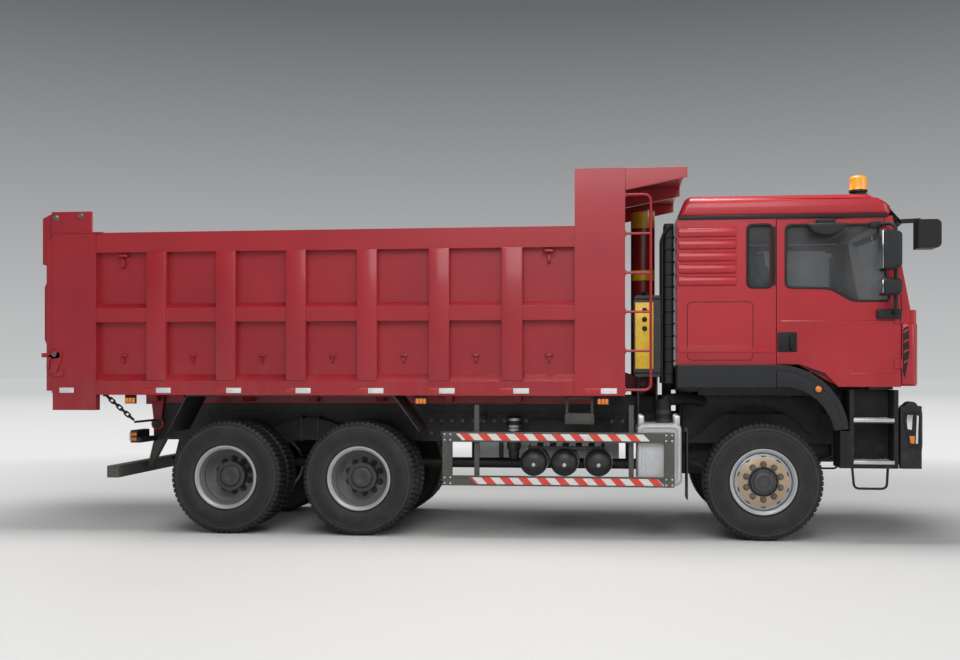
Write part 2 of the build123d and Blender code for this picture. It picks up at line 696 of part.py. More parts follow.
# Bed floor with outriggers, long sills and hinge lugs
sill_y = (rail_outer - rail_flange, rail_outer)
sill_bottom = subframe_top + seat_gap
outrigger_x = [stake_first_x + stake_pitch * step for step in range(stake_count)]
outrigger_length = 80.0
outrigger_tip = 22.0
floor_bottom = bed_floor_top - bed_floor_sheet
headboard_x = (bed_nose_x - headboard_thickness, bed_nose_x)
bed_lug_y = (rail_outer + 15.0, rail_outer + 45.0)
bed_lug_half = 80.0
bed_lug_radius = 70.0
gusset_low = sill_bottom + 20.0
gusset_y = (560.0, 600.0)
tie_depth = 60.0
sill_tail_x = hinge_x - bed_lug_half
floor_pieces = []
with BuildPart() as floor_plate:
    block((bed_tail_x, headboard_x[0]), (-bed_inner, bed_inner), (floor_bottom, bed_floor_top))
floor_pieces.append(floor_plate)
for middle in outrigger_x:
    with BuildPart() as floor_tie:
        tie_x = around(middle, outrigger_length / 2)
        block(tie_x, (-sill_y[0], sill_y[0]), (floor_bottom - tie_depth, floor_bottom))
    floor_pieces.append(floor_tie)
for side in SIDES.values():
    with BuildPart() as floor_sill:
        block((sill_tail_x, subframe_nose_x), across(side, *sill_y), (sill_bottom, floor_bottom))
    floor_pieces.append(floor_sill)
    # Each outrigger's place along X and the carrier that it starts from
    for middle, inner_y in [(hinge_x, bed_lug_y[1])] + [(place, sill_y[1]) for place in outrigger_x]:
        tip_low = floor_bottom - outrigger_tip
        gusset = [
            (side * inner_y, floor_bottom), (side * inner_y, gusset_low), (side * gusset_y[0], gusset_low),
            (side * gusset_y[1], tip_low), (side * bed_inner, tip_low), (side * bed_inner, floor_bottom),
        ]
        with BuildPart() as outrigger:
            cross_plate(gusset, around(middle, outrigger_length / 2))
        floor_pieces.append(outrigger)
    lug = [
        (hinge_x - bed_lug_half, floor_bottom), (hinge_x - bed_lug_half / 2, hinge_z),
        (hinge_x + bed_lug_half / 2, hinge_z), (hinge_x + bed_lug_half, floor_bottom),
    ]
    lug_span = across(side, *bed_lug_y)
    with BuildPart() as hinge_lug:
        side_plate(lug, lug_span)
        rod_y(hinge_x, hinge_z, bed_lug_radius, lug_span)
        rod_y(hinge_x, hinge_z, hinge_pin_radius + running_clearance, lug_span, Mode.SUBTRACT)
    floor_pieces.append(hinge_lug)
save_solids(floor_pieces, "bed_floor")

# Bed sides: inner sheet, three rails with sloped ledges, stakes and the two end posts
# Each rail's lower edge, upper edge at its face and upper edge at the sheet
side_rails = [
    (bed_bottom, bed_bottom + 140.0, bed_bottom + 206.0), (bed_top - 900.0, bed_top - 760.0, bed_top - 712.0),
    (bed_top - 200.0, bed_top, bed_top),
]
bracket_y = (1215.0, bed_outer)
bracket_top = bed_top + 215.0
bracket_x = (bed_tail_x - 10.0, bed_tail_x + 409.0)
pin_inner_y = bed_inner + 5.0
for name, side in SIDES.items():
    with BuildPart() as bed_side:
        rear_post_x = (bed_tail_x, bed_tail_x + rear_post_length)
        front_post_x = (bed_nose_x - front_post_length, bed_nose_x)
        sheet = across(side, bed_inner, bed_inner + bed_sheet)
        block((rear_post_x[1], front_post_x[0]), sheet, (bed_bottom, bed_top))
        for low, face_high, sheet_high in side_rails:
            section = [
                (side * bed_inner, low), (side * rail_face, low), (side * rail_face, face_high),
                (side * (bed_inner + bed_sheet), sheet_high), (side * bed_inner, sheet_high),
            ]
            cross_plate(section, (rear_post_x[1], front_post_x[0]))
        for step in range(stake_count):
            middle = stake_first_x + stake_pitch * step
            stake = around(middle, stake_width / 2)
            block(stake, across(side, bed_inner, rail_face), (bed_bottom, bed_top))
        block(rear_post_x, across(side, bed_inner, bed_outer), (rear_post_bottom, bed_top))
        block(front_post_x, across(side, bed_inner, bed_outer), (bed_bottom, front_post_top))
        block(bracket_x, across(side, *bracket_y), (bed_top, bracket_top))
        pin = across(side, pin_inner_y, bed_outer)
        rod_y(tailgate_pivot_x, tailgate_pivot_z, tailgate_pin_radius, pin)
    save(bed_side, f"bed_side_{name}")

# Headboard with its canopy over the cab and the ears that take the hoist's trunnion
canopy_x = (bed_nose_x, bed_nose_x + canopy_length)
canopy_root = 215.0
canopy_tip = 97.0
canopy_rib = 30.0
hoist_eye_y = (215.0, 240.0)
hoist_eye_radius = 40.0
headboard_rib = 60.0
headboard_sheet = 12.0
headboard_rib_y = [-800.0, -300.0, 300.0, 800.0]
headboard_rib_z = [floor_bottom + headboard_rib, 2200.0, front_post_top - canopy_root / 2]
eye_root_z = (hoist_trunnion_z - 70.0, hoist_trunnion_z + 120.0)
eye_tip_z = around(hoist_trunnion_z, 60.0)
eye_tip_x = hoist_x + 60.0
with BuildPart() as bed_headboard:
    skin_x = (headboard_x[0], headboard_x[0] + headboard_sheet)
    block(skin_x, (-bed_inner, bed_inner), (floor_bottom, front_post_top))
    for rib_y in headboard_rib_y:
        block(headboard_x, around(rib_y, headboard_rib), (floor_bottom, front_post_top))
    for rib_z in headboard_rib_z:
        block(headboard_x, (-bed_inner, bed_inner), around(rib_z, headboard_rib))
    block(canopy_x, (-rail_face, rail_face), (front_post_top - canopy_plate, front_post_top))
    rib = [
        (canopy_x[0], front_post_top), (canopy_x[0], front_post_top - canopy_root),
        (canopy_x[1], front_post_top - canopy_tip), (canopy_x[1], front_post_top),
    ]
    for rib_y in (-rail_face, -canopy_rib / 2, rail_face - canopy_rib):
        side_plate(rib, (rib_y, rib_y + canopy_rib))
    ear = [
        (bed_nose_x, eye_root_z[0]), (hoist_x, eye_tip_z[0]), (eye_tip_x, eye_tip_z[0]),
        (eye_tip_x, eye_tip_z[1]), (hoist_x, eye_tip_z[1]), (bed_nose_x, eye_root_z[1]),
    ]
    for side in SIDES.values():
        ear_span = across(side, *hoist_eye_y)
        side_plate(ear, ear_span)
        block(headboard_x, ear_span, eye_root_z)
        rod_y(hoist_x, hoist_trunnion_z, hoist_eye_radius, ear_span, Mode.SUBTRACT)
save(bed_headboard, "bed_headboard")

# Ladder on the right, ahead of the headboard
ladder_ahead = 243.0
ladder_x = bed_nose_x + ladder_ahead
ladder_y = -rail_face + 20.0
ladder_tube = 14.0
ladder_z = (bed_floor_top + 27.0, front_post_top - 253.0)
rung_count = 6
rung_pitch = (ladder_z[1] - ladder_z[0]) / (rung_count - 1)
rung_z = [ladder_z[0] + rung_pitch * step for step in range(rung_count)]
with BuildPart() as bed_ladder:
    rod_z(ladder_x, ladder_y, ladder_tube, (ladder_z[0] - ladder_tube, ladder_z[1] + ladder_tube))
    for z in rung_z:
        rod_x(ladder_y, z, ladder_tube, (bed_nose_x, ladder_x))
save(bed_ladder, "bed_ladder")

# Mudguards under the bed over the rear wheels: a flat top with two sloped ends
guard_sheet = 10.0
mudguard_y = (640.0, 1235.0)
mudguard_top = floor_bottom - outrigger_tip
mudguard_flat = (rear_axle_x - 400.0, middle_axle_x + 357.0)
mudguard_foot = [(mudguard_flat[0] - 195.0, 1007.0), (mudguard_flat[1] + 247.0, 1034.0)]
with BuildPart() as bed_mudguards:
    tail_foot, nose_foot = mudguard_foot
    under = mudguard_top - guard_sheet
    outline = [
        tail_foot, (mudguard_flat[0], mudguard_top), (mudguard_flat[1], mudguard_top), nose_foot,
        (nose_foot[0] - guard_sheet, nose_foot[1]), (mudguard_flat[1] - guard_sheet, under),
        (mudguard_flat[0] + guard_sheet, under), (tail_foot[0] + guard_sheet, tail_foot[1]),
    ]
    for side in SIDES.values():
        side_plate(outline, across(side, *mudguard_y))
save(bed_mudguards, "bed_mudguards")

# Tailgate: body, ribs and the two arms that hang on the pivot pins
tailgate_x = (bed_tail_x - tailgate_body, bed_tail_x - seat_gap)
tail_x = bed_tail_x - tailgate_reach
arm_y = (bed_inner + 15.0, bracket_y[0] - 5.0)
tailgate_top = bed_top - 60.0
tailgate_rib_y = [-1100.0, -550.0, 0.0, 550.0, 1100.0]
rib_z = (bed_top - 1070.0, bed_top - 540.0)
rib_foot_z = (rib_z[0] - 120.0, rib_z[1] + 120.0)
rib_half = 70.0
arm_low = bed_top - 310.0
arm_notch = bed_top - 326.0
arm_shoulder = bed_top + 40.0
arm_head_x = (tailgate_pivot_x - 60.0, tailgate_pivot_x + 50.0)
arm_head_z = (tailgate_pivot_z - 50.0, tailgate_pivot_z + 40.0)
arm_crown_z = tailgate_pivot_z + 50.0
with BuildPart() as tailgate:
    block(tailgate_x, (-rail_face, rail_face), (tailgate_bottom, tailgate_top))
    rib = [
        (tailgate_x[0], rib_foot_z[0]), (tail_x, rib_z[0]),
        (tail_x, rib_z[1]), (tailgate_x[0], rib_foot_z[1]),
    ]
    for rib_y in tailgate_rib_y:
        side_plate(rib, around(rib_y, rib_half))
    arm = [
        (tail_x, arm_low), (tailgate_x[0], arm_notch), (tailgate_x[1], arm_low),
        (tailgate_x[1], arm_shoulder), (arm_head_x[1], arm_head_z[0]), (arm_head_x[1], arm_head_z[1]),
        (arm_head_x[0], arm_crown_z), (tail_x, tailgate_pivot_z),
    ]
    for side in SIDES.values():
        arm_span = across(side, *arm_y)
        side_plate(arm, arm_span)
        pin_hole = tailgate_pin_radius + running_clearance
        rod_y(tailgate_pivot_x, tailgate_pivot_z, pin_hole, arm_span, Mode.SUBTRACT)
save(tailgate, "tailgate")

# Latch hooks on the rear posts
hook_y = (bed_outer, bed_outer + 20.0)
# The hook's outline: places along X from the bed's tail, and heights
hook_outline = [
    (90.0, 1810.0), (20.0, 1810.0), (-50.0, 1770.0), (-60.0, 1650.0),
    (-30.0, 1650.0), (-20.0, 1735.0), (90.0, 1750.0),
]
with BuildPart() as tailgate_hooks:
    for side in SIDES.values():
        side_plate([(bed_tail_x + x, z) for x, z in hook_outline], across(side, *hook_y))
save(tailgate_hooks, "tailgate_hooks")

# Pull chains from the bed's tail towards its hinge
link_pitch = 46.0
link_length = 60.0
link_width = 38.0
link_bar = 12.0
chain_y = 1000.0
chain_start = (bed_tail_x + rear_post_length, floor_bottom - 20.0)
chain_end = (hinge_x - 20.0, hinge_z + 40.0)
chain_run = hypot(chain_end[0] - chain_start[0], chain_end[1] - chain_start[1])
chain_slope = atan2(chain_end[1] - chain_start[1], chain_end[0] - chain_start[0])
chain_way = (cos(chain_slope), sin(chain_slope))
chain_block_half = 20.0
chain_block_x = (chain_start[0] - 30.0, chain_start[0] + 20.0)
chain_block_z = (chain_start[1] - 10.0, floor_bottom)
with BuildPart() as pull_chains:
    for side in SIDES.values():
        for step in range(int(chain_run / link_pitch)):
            along = (step + 0.5) * link_pitch
            link_x = chain_start[0] + along * chain_way[0]
            link_z = chain_start[1] + along * chain_way[1]
            normal = (0, 1, 0) if step % 2 else (-chain_way[1], 0, chain_way[0])
            way = (chain_way[0], 0, chain_way[1])
            link_plane = Plane((link_x, side * chain_y, link_z), x_dir=way, z_dir=normal)
            with BuildSketch(link_plane) as link:
                SlotOverall(link_length, link_width)
                SlotOverall(link_length - 2 * link_bar, link_width - 2 * link_bar, mode=Mode.SUBTRACT)
            extrude(link.sketch, amount=link_bar / 2, both=True)
        block(chain_block_x, around(side * chain_y, chain_block_half), chain_block_z)
save(pull_chains, "pull_chains")

# Hoist: a base tube on its eye, two stages and the cover that lifts the bed
hoist_tube_low = hoist_base_z + hoist_ear_radius + 6.0
base_radius = hoist_cover_radius - hoist_cover_wall - stage_clearance
eye_half = hoist_ear_inner - 4.0
stage_radius = [base_radius - step * (stage_wall + stage_clearance) for step in range(4)]
stage_floor = 40.0
stage_rise = 30.0
base_top_drop = 310.0
base_top = hoist_top - base_top_drop
cover_low = 1350.0
with BuildPart() as hoist_base:
    rod_z(hoist_x, 0, stage_radius[0], (hoist_tube_low, base_top))
    rod_z(hoist_x, 0, stage_radius[0] - stage_wall, (hoist_tube_low + stage_floor, base_top), Mode.SUBTRACT)
    block(around(hoist_x, eye_half), (-eye_half, eye_half), (hoist_base_z, hoist_tube_low))
    rod_y(hoist_x, hoist_base_z, eye_half, (-eye_half, eye_half))
    rod_y(hoist_x, hoist_base_z, hoist_pin_radius + running_clearance, (-eye_half, eye_half), Mode.SUBTRACT)
save(hoist_base, "hoist_base")
stage_low = hoist_tube_low + stage_floor + seat_gap
for step in (1, 2):
    low = stage_low + (step - 1) * (stage_floor + seat_gap)
    with BuildPart() as hoist_stage:
        top = base_top + step * stage_rise
        rod_z(hoist_x, 0, stage_radius[step], (low, top))
        rod_z(hoist_x, 0, stage_radius[step] - stage_wall, (low + stage_floor, top), Mode.SUBTRACT)
    save(hoist_stage, f"hoist_stage_{step}")
plunger_low = stage_low + 2 * (stage_floor + seat_gap)
trunnion_radius = 34.0
trunnion_collar = 150.0
trunnion_collar_half = 50.0
trunnion_end = hoist_eye_y[0] - 4.0
cover_cap = 20.0
cover_bore = hoist_cover_radius - hoist_cover_wall
with BuildPart() as hoist_cover:
    rod_z(hoist_x, 0, hoist_cover_radius, (cover_low, hoist_top))
    rod_z(hoist_x, 0, trunnion_collar, around(hoist_trunnion_z, trunnion_collar_half))
    rod_y(hoist_x, hoist_trunnion_z, trunnion_radius, (-trunnion_end, trunnion_end))
    rod_z(hoist_x, 0, cover_bore, (cover_low, hoist_top - cover_cap), Mode.SUBTRACT)
    rod_z(hoist_x, 0, stage_radius[3], (plunger_low, hoist_top))
save(hoist_cover, "hoist_cover")

# Cab body: hollow, open above, with the door, quarter light and windscreen openings cut
pillar_slope = (cab_front_x - cab_pillar_top_x) / (cab_roof_line - cab_waist)


def pillar_x(z):
    """The windscreen plane's place along X at a height."""
    return cab_front_x - (z - cab_waist) * pillar_slope


door_arch = [(door_rear_x, 1682.0), (front_axle_x + 330.0, 1682.0), (front_axle_x + 560.0, 1600.0)]
door_sill_x = front_axle_x + 690.0
door_front_waist = 2290.0
door_pillar = 84.0
door_outline = door_arch + [
    (door_sill_x, door_bottom), (door_front_x, door_bottom), (door_front_x, door_front_waist),
    (pillar_x(door_top) - door_pillar, door_top), (door_rear_x, door_top),
]
windscreen_z = (2235.0, 3040.0)
pillar_width = 130.0
windscreen_half = cab_half_width - pillar_width
quarter_x = (front_axle_x - 145.0, front_axle_x + 60.0)
quarter_z = (2420.0, 3000.0)
cab_lug_half = 50.0
step_riser_x = (front_axle_x + 330.0, door_sill_x)
riser_sheet = 20.0
floor_top = cab_floor_rear + cab_floor_thickness
foot_top = cab_floor_front + cab_floor_thickness
sill_cut = 20.0
with BuildPart() as cab_body:
    outer = [
        (cab_rear_x, cab_floor_rear), (cab_rear_x, cab_roof_line), (cab_pillar_top_x, cab_roof_line),
        (cab_front_x, cab_waist), (cab_front_x, cab_floor_front), (step_riser_x[1], cab_floor_front),
        (step_riser_x[0], cab_floor_rear),
    ]
    side_plate(outer, (-cab_half_width, cab_half_width))
    screen = (cab_front_x - cab_wall / 2, cab_front_x, cab_front_x + screen_bow)
    bowed_plate(*screen, cab_half_width, (cab_waist, cab_roof_line), pillar_slope)
    inner_front = cab_front_x - cab_wall
    inner = [
        (cab_rear_x + cab_wall, floor_top), (cab_rear_x + cab_wall, cab_roof_line),
        (cab_pillar_top_x - cab_wall, cab_roof_line), (inner_front, cab_waist), (inner_front, foot_top),
        (step_riser_x[1] + riser_sheet, foot_top), (step_riser_x[0] + riser_sheet, floor_top),
    ]
    inner_half = cab_half_width - cab_wall
    side_plate(inner, (-inner_half, inner_half), Mode.SUBTRACT)
    opening_x = (pillar_x(windscreen_z[1]) - 2 * cab_wall, cab_front_x + screen_bow)
    block(opening_x, (-windscreen_half, windscreen_half), windscreen_z, Mode.SUBTRACT)
    hole_x = (door_rear_x - panel_gap, door_front_x + panel_gap)
    hole_z = (cab_floor_front - sill_cut, door_top + panel_gap)
    hole_corner_x = pillar_x(hole_z[1]) - door_pillar + panel_gap
    door_hole = [
        (hole_x[0], hole_z[0]), (hole_x[1], hole_z[0]), (hole_x[1], door_front_waist),
        (hole_corner_x, hole_z[1]), (hole_x[0], hole_z[1]),
    ]
    for side in SIDES.values():
        wall = across(side, inner_half, cab_half_width)
        side_plate(door_hole, wall, Mode.SUBTRACT)
        block(quarter_x, wall, quarter_z, Mode.SUBTRACT)
        lug = across(side, *lug_y)
        block(around(cab_pivot_x, cab_lug_half), lug, (cab_pivot_z, cab_floor_front))
        rod_y(cab_pivot_x, cab_pivot_z, cab_lug_half, lug)
        rod_y(cab_pivot_x, cab_pivot_z, cab_pin_radius + running_clearance, lug, Mode.SUBTRACT)
save(cab_body, "cab_body")

# Cab roof: a domed lid with an inner hollow
brow_length = 230.0
roof_brow_x = cab_pillar_top_x - brow_length
roof_rear_slope = 90.0
brow_lean = 40.0
brow_drop = 90.0
brow_z = cab_roof_top - brow_drop
brow_top_x = cab_pillar_top_x - brow_lean
brow_slope = brow_lean / (brow_z - cab_roof_line)
roof_side_radius = 120.0
with BuildPart() as cab_roof:
    roof = [
        (cab_rear_x, cab_roof_line), (cab_rear_x + roof_rear_slope, cab_roof_top),
        (roof_brow_x, cab_roof_top), (brow_top_x, brow_z), (cab_pillar_top_x, cab_roof_line),
    ]
    side_plate(roof, (-cab_half_width, cab_half_width))
    low_bow = (cab_pillar_top_x - cab_wall, cab_pillar_top_x, cab_pillar_top_x + screen_bow)
    bowed_plate(*low_bow, cab_half_width, (cab_roof_line, brow_z), brow_slope)
    high_bow = (brow_top_x - cab_wall, brow_top_x, brow_top_x + screen_bow)
    high_slope = (brow_top_x - roof_brow_x) / brow_drop
    bowed_plate(*high_bow, cab_half_width, (brow_z, cab_roof_top), high_slope)
    top_edges = cab_roof.edges().filter_by(Axis.X).group_by(Axis.Z)[-1]
    fillet(top_edges, roof_side_radius)
    hollow_x = (cab_rear_x + cab_wall + roof_rear_slope, roof_brow_x)
    hollow_y = (-inner_half + cab_wall, inner_half - cab_wall)
    block(hollow_x, hollow_y, (cab_roof_line, cab_roof_top - cab_wall), Mode.SUBTRACT)
save(cab_roof, "cab_roof")


def brow_x(z):
    """The place along X of the roof's front corner at a height."""
    return cab_pillar_top_x - brow_slope * (z - cab_roof_line)


# Cab front panel under the windscreen, bowed forward
grille_y = (-700.0, 700.0)
grille_back = 25.0
grille_slots = [(1560.0, 1640.0), (1700.0, 1780.0), (1840.0, 1920.0)]
nose_radius_z = 40.0
with BuildPart() as cab_front:
    corner = cab_front_x + nose_corner
    bowed_plate(cab_front_x, corner, corner + nose_bow, cab_half_width, (cab_floor_front, cab_waist))
    fillet(cab_front.edges().filter_by(Axis.Z).sort_by(Axis.X)[-2:], nose_radius_z)
    for low, high in grille_slots:
        block((corner + grille_back, corner + nose_bow), grille_y, (low, high), Mode.SUBTRACT)
save(cab_front, "cab_front")

# Cab glass: the windscreen and the two quarter lights
glass_inset = 20.0
with BuildPart() as cab_glass:
    pane_front = pillar_x(windscreen_z[0]) - glass_inset
    pane_back = pane_front - cab_wall
    bow = (pane_front, pane_front + screen_bow)
    bowed_plate(pane_back, *bow, cab_half_width, windscreen_z, pillar_slope)
    bow = (pane_front - glass_thickness, pane_front - glass_thickness + screen_bow)
    bowed_plate(pane_back - 1, *bow, cab_half_width, windscreen_z, pillar_slope, Mode.SUBTRACT)
    screen_x = (pane_back - 2 * cab_wall, cab_front_x + screen_bow)
    for side in SIDES.values():
        block(screen_x, across(side, windscreen_half, cab_half_width), windscreen_z, Mode.SUBTRACT)
    for side in SIDES.values():
        middle = cab_half_width - glass_inset
        block(quarter_x, across(side, middle - glass_thickness, middle), quarter_z)
save(cab_glass, "cab_glass")

# Cab interior: dashboard with steering wheel, two seats and the bunk
dash_back_x = front_axle_x + 1000.0
dash_half = inner_half - 2.0
dash_z = (1880.0, cab_waist - 10.0)
dash_knee = 120.0
dash_lean = 40.0
seat_x = front_axle_x + 60.0
seat_y = 560.0
seat_half = 260.0
seat_top = 2130.0
seat_length = 500.0
cushion_low = seat_top - 150.0
pedestal_length = 320.0
pedestal_half = 180.0
backrest_half = 240.0
# The backrest's outline: places along X from the seat's rear edge, and heights
backrest_outline = [(0.0, seat_top), (120.0, seat_top), (10.0, 2800.0), (-90.0, 2800.0)]
bunk_x = (cab_rear_x + cab_wall, front_axle_x - 200.0)
bunk_top = 2080.0
wheel_x = front_axle_x + 780.0
wheel_z = 2330.0
wheel_radius = 230.0
wheel_bar = 16.0
column_radius = 32.0
column_lean = radians(27.0)
with BuildPart() as cab_interior:
    dash = [
        (inner_front, dash_z[0]), (dash_back_x, dash_z[0] + dash_knee),
        (dash_back_x + dash_lean, dash_z[1]), (inner_front, dash_z[1]),
    ]
    side_plate(dash, (-dash_half, dash_half))
    block(bunk_x, (-dash_half, dash_half), (floor_top, bunk_top))
    for side in SIDES.values():
        middle = side * seat_y
        pedestal_x = (seat_x, seat_x + pedestal_length)
        block(pedestal_x, around(middle, pedestal_half), (floor_top, cushion_low))
        block((seat_x, seat_x + seat_length), around(middle, seat_half), (cushion_low, seat_top))
        side_plate([(seat_x + x, z) for x, z in backrest_outline], around(middle, backrest_half))
    column = Plane((wheel_x, seat_y, wheel_z), z_dir=(-sin(column_lean), 0, cos(column_lean)))
    with BuildSketch(column) as rim_ring:
        Circle(wheel_radius)
        Circle(wheel_radius - 2 * wheel_bar, mode=Mode.SUBTRACT)
        Rectangle(2 * wheel_radius - 2 * wheel_bar, 2 * wheel_bar)
    extrude(rim_ring.sketch, amount=wheel_bar, both=True)
    with BuildSketch(column) as shaft:
        Circle(column_radius)
    column_drop = wheel_z - foot_top - seat_gap - column_radius * sin(column_lean)
    extrude(shaft.sketch, amount=-column_drop / cos(column_lean))
save(cab_interior, "cab_interior")

# Sun visor over the windscreen and the front mirror on its arm
visor_end_gap = 70.0
visor_half = cab_half_width - visor_end_gap
visor_sheet = 12.0
visor_root_z = (cab_roof_line + 75.0, cab_roof_line + 110.0)
visor_reach = 95.0
visor_tip_z = cab_roof_line - 60.0
mirror_nose_x = front_axle_x + mirror_overhang
front_mirror_x = (mirror_nose_x - 210.0, mirror_nose_x)
front_mirror_y = (-cab_half_width + 50.0, -cab_half_width + 250.0)
front_mirror_z = (2775.0, 3044.0)
front_mirror_round = 50.0
mirror_arm_x = (cab_pillar_top_x + 60.0, front_mirror_x[0] + 40.0)
mirror_arm_root_z = (cab_roof_line - 60.0, cab_roof_line - 20.0)
mirror_arm_tip_z = around(front_mirror_z[1], 20.0)
mirror_arm_y = (front_mirror_y[0] + 80.0, front_mirror_y[0] + 120.0)
with BuildPart() as cab_trim:
    root_x = brow_x(visor_root_z[0])
    tip_x = cab_pillar_top_x + visor_reach
    blade_slope = (tip_x - root_x) / (visor_root_z[0] - visor_tip_z)
    # Each stretch of the visor: its lower inner corner along X, its heights and its slope
    root_stretch = (root_x, visor_root_z, brow_slope)
    blade_stretch = (tip_x, (visor_tip_z, visor_root_z[0]), blade_slope)
    for inner_x, span, slope in (root_stretch, blade_stretch):
        outer_x = inner_x + visor_sheet
        bowed_plate(inner_x - cab_wall, outer_x, outer_x + screen_bow, cab_half_width, span, slope)
        inner_bow = (inner_x - 2 * cab_wall, inner_x, inner_x + screen_bow)
        bowed_plate(*inner_bow, cab_half_width, span, slope, Mode.SUBTRACT)
    visor_x = (cab_pillar_top_x - 2 * cab_wall, tip_x + visor_sheet + screen_bow)
    for side in SIDES.values():
        ends = across(side, visor_half, cab_half_width + 1)
        block(visor_x, ends, (visor_tip_z, visor_root_z[1]), Mode.SUBTRACT)
    block(front_mirror_x, front_mirror_y, front_mirror_z)
    fillet(cab_trim.edges().filter_by(Axis.Y).group_by(Axis.X)[-1], front_mirror_round)
    arm = [
        (mirror_arm_x[0], mirror_arm_root_z[1]), (mirror_arm_x[1], mirror_arm_tip_z[1]),
        (mirror_arm_x[1], mirror_arm_tip_z[0]), (mirror_arm_x[0], mirror_arm_root_z[0]),
    ]
    side_plate(arm, mirror_arm_y)
save(cab_trim, "cab_trim")

# Beacons on the roof
beacon_setback = 30.0
beacon_inset = 250.0
beacon_x = roof_brow_x - beacon_setback
beacon_y = cab_half_width - beacon_inset
beacon_foot = 60.0
beacon_foot_radius = 90.0
beacon_radius = 100.0
beacon_round = 40.0
beacon_height = 198.0
beacon_top = cab_roof_top + beacon_height
with BuildPart() as beacons:
    for side in SIDES.values():
        rod_z(beacon_x, side * beacon_y, beacon_foot_radius, (cab_roof_top, cab_roof_top + beacon_foot))
        rod_z(beacon_x, side * beacon_y, beacon_radius, (cab_roof_top + beacon_foot, beacon_top))
    fillet(beacons.edges().group_by(Axis.Z)[-1], beacon_round)
save(beacons, "beacons")

# Doors with their glass and mirrors
window_outline = [
    (front_axle_x + 214.0, 2995.0), (front_axle_x + 1045.0, 2988.0), (front_axle_x + 1155.0, 2282.0),
    (front_axle_x + 820.0, 2286.0), (front_axle_x + 614.0, 2406.0), (front_axle_x + 214.0, 2418.0),
]
door_glass_y = cab_half_width - 25.0
mirror_x = (front_axle_x + 1035.0, front_axle_x + 1225.0)
mirror_y = (cab_half_width + 60.0, cab_half_width + 300.0)
mirror_heads = [(2311.0, 2476.0), (2537.0, 2930.0)]
mirror_stay_z = [2155.0, 2990.0]
mirror_corner = 30.0
mirror_stay = 24.0
upper_stay_back = 130.0
mirror_post_x = front_axle_x + 1175.0
mirror_post_y = cab_half_width + 160.0
kerb_x = (front_axle_x + 385.0, front_axle_x + 740.0)
kerb_y = (cab_half_width, cab_half_width + 200.0)
kerb_z = (3000.0, 3045.0)
kerb_low = 2880.0
kerb_lip = 40.0
for name, side in SIDES.items():
    wall = across(side, inner_half, cab_half_width)
    with BuildPart() as door:
        side_plate(door_outline, wall)
        side_plate(window_outline, wall, Mode.SUBTRACT)
        barrel_x = door_front_x + panel_gap / 2
        barrel_y = cab_half_width + hinge_barrel
        for low in door_hinge_z:
            barrel_z = (low, low + hinge_length)
            rod_z(barrel_x, side * barrel_y, hinge_barrel, barrel_z)
            block((door_front_x - hinge_leaf, barrel_x), across(side, cab_half_width, barrel_y), barrel_z)
    save(door, f"door_{name}")
    with BuildPart() as door_glass:
        side_plate(window_outline, across(side, door_glass_y - glass_thickness, door_glass_y))
    save(door_glass, f"door_glass_{name}")
    with BuildPart() as door_mirrors:
        for low, high in mirror_heads:
            block(mirror_x, across(side, *mirror_y), (low, high))
        fillet(door_mirrors.edges().filter_by(Axis.Z), mirror_corner)
        post_z = (mirror_stay_z[0] - mirror_stay, mirror_stay_z[1] + mirror_stay)
        rod_z(mirror_post_x, side * mirror_post_y, mirror_stay, post_z)
        for z in mirror_stay_z:
            stay_x = around(mirror_post_x, mirror_stay)
            stay_x = stay_x if z < door_front_waist else (stay_x[0] - upper_stay_back, stay_x[1])
            block(stay_x, across(side, cab_half_width, mirror_post_y), around(z, mirror_stay))
        if name == "right":
            block(kerb_x, across(side, *kerb_y), kerb_z)
            block(kerb_x, across(side, kerb_y[1] - kerb_lip, kerb_y[1]), (kerb_low, kerb_z[0]))
    save(door_mirrors, f"door_mirrors_{name}")

# Steering knuckles with kingpin, spindle and arm, and the tie rod between the arms
ear_height = 48.0
ear_gap = 2.0
ear_half = 55.0
knuckle_face = 55.0
knuckle_web = 22.0
spindle_end = front_wheel_y + 120.0
arm_thickness = 30.0
arm_half = 30.0
tie_rod_half = 20.0
tie_rod_thickness = 30.0
ear_low = boss_z[0] - ear_gap - ear_height
ear_high = boss_z[1] + ear_gap + ear_height
arm_pin_x = front_axle_x - steering_arm_back
arm_pin_y = kingpin_y
tie_rod_top = ear_low - ear_gap
for name, side in SIDES.items():
    with BuildPart() as knuckle:
        ear_y = across(side, kingpin_y - ear_half, kingpin_y + knuckle_face)
        ear_x = around(front_axle_x, ear_half)
        for low in (ear_low, boss_z[1] + ear_gap):
            block(ear_x, ear_y, (low, low + ear_height))
        web = across(side, kingpin_y + knuckle_face, kingpin_y + knuckle_face + knuckle_web)
        block(ear_x, web, (ear_low, ear_high))
        rod_z(front_axle_x, side * kingpin_y, kingpin_radius, (ear_low, ear_high))
        spindle = across(side, kingpin_y + knuckle_face, spindle_end)
        rod_y(front_axle_x, axle_z, hub_bore - running_clearance, spindle)
        steering_arm_x = (arm_pin_x - arm_half, ear_x[0] + arm_half)
        block(steering_arm_x, around(side * arm_pin_y, arm_half), (ear_low, ear_low + arm_thickness))
        pin_z = (tie_rod_top - tie_rod_thickness, ear_low + 1)
        rod_z(arm_pin_x, side * arm_pin_y, ball_pin_radius, pin_z)
    save(knuckle, f"knuckle_{name}")
with BuildPart() as tie_rod:
    rod_z_span = (tie_rod_top - tie_rod_thickness, tie_rod_top)
    block(around(arm_pin_x, tie_rod_half), (-arm_pin_y, arm_pin_y), rod_z_span)
    for side in SIDES.values():
        rod_z(arm_pin_x, side * arm_pin_y, tie_rod_half, rod_z_span)
        rod_z(arm_pin_x, side * arm_pin_y, ball_pin_radius + running_clearance, rod_z_span, Mode.SUBTRACT)
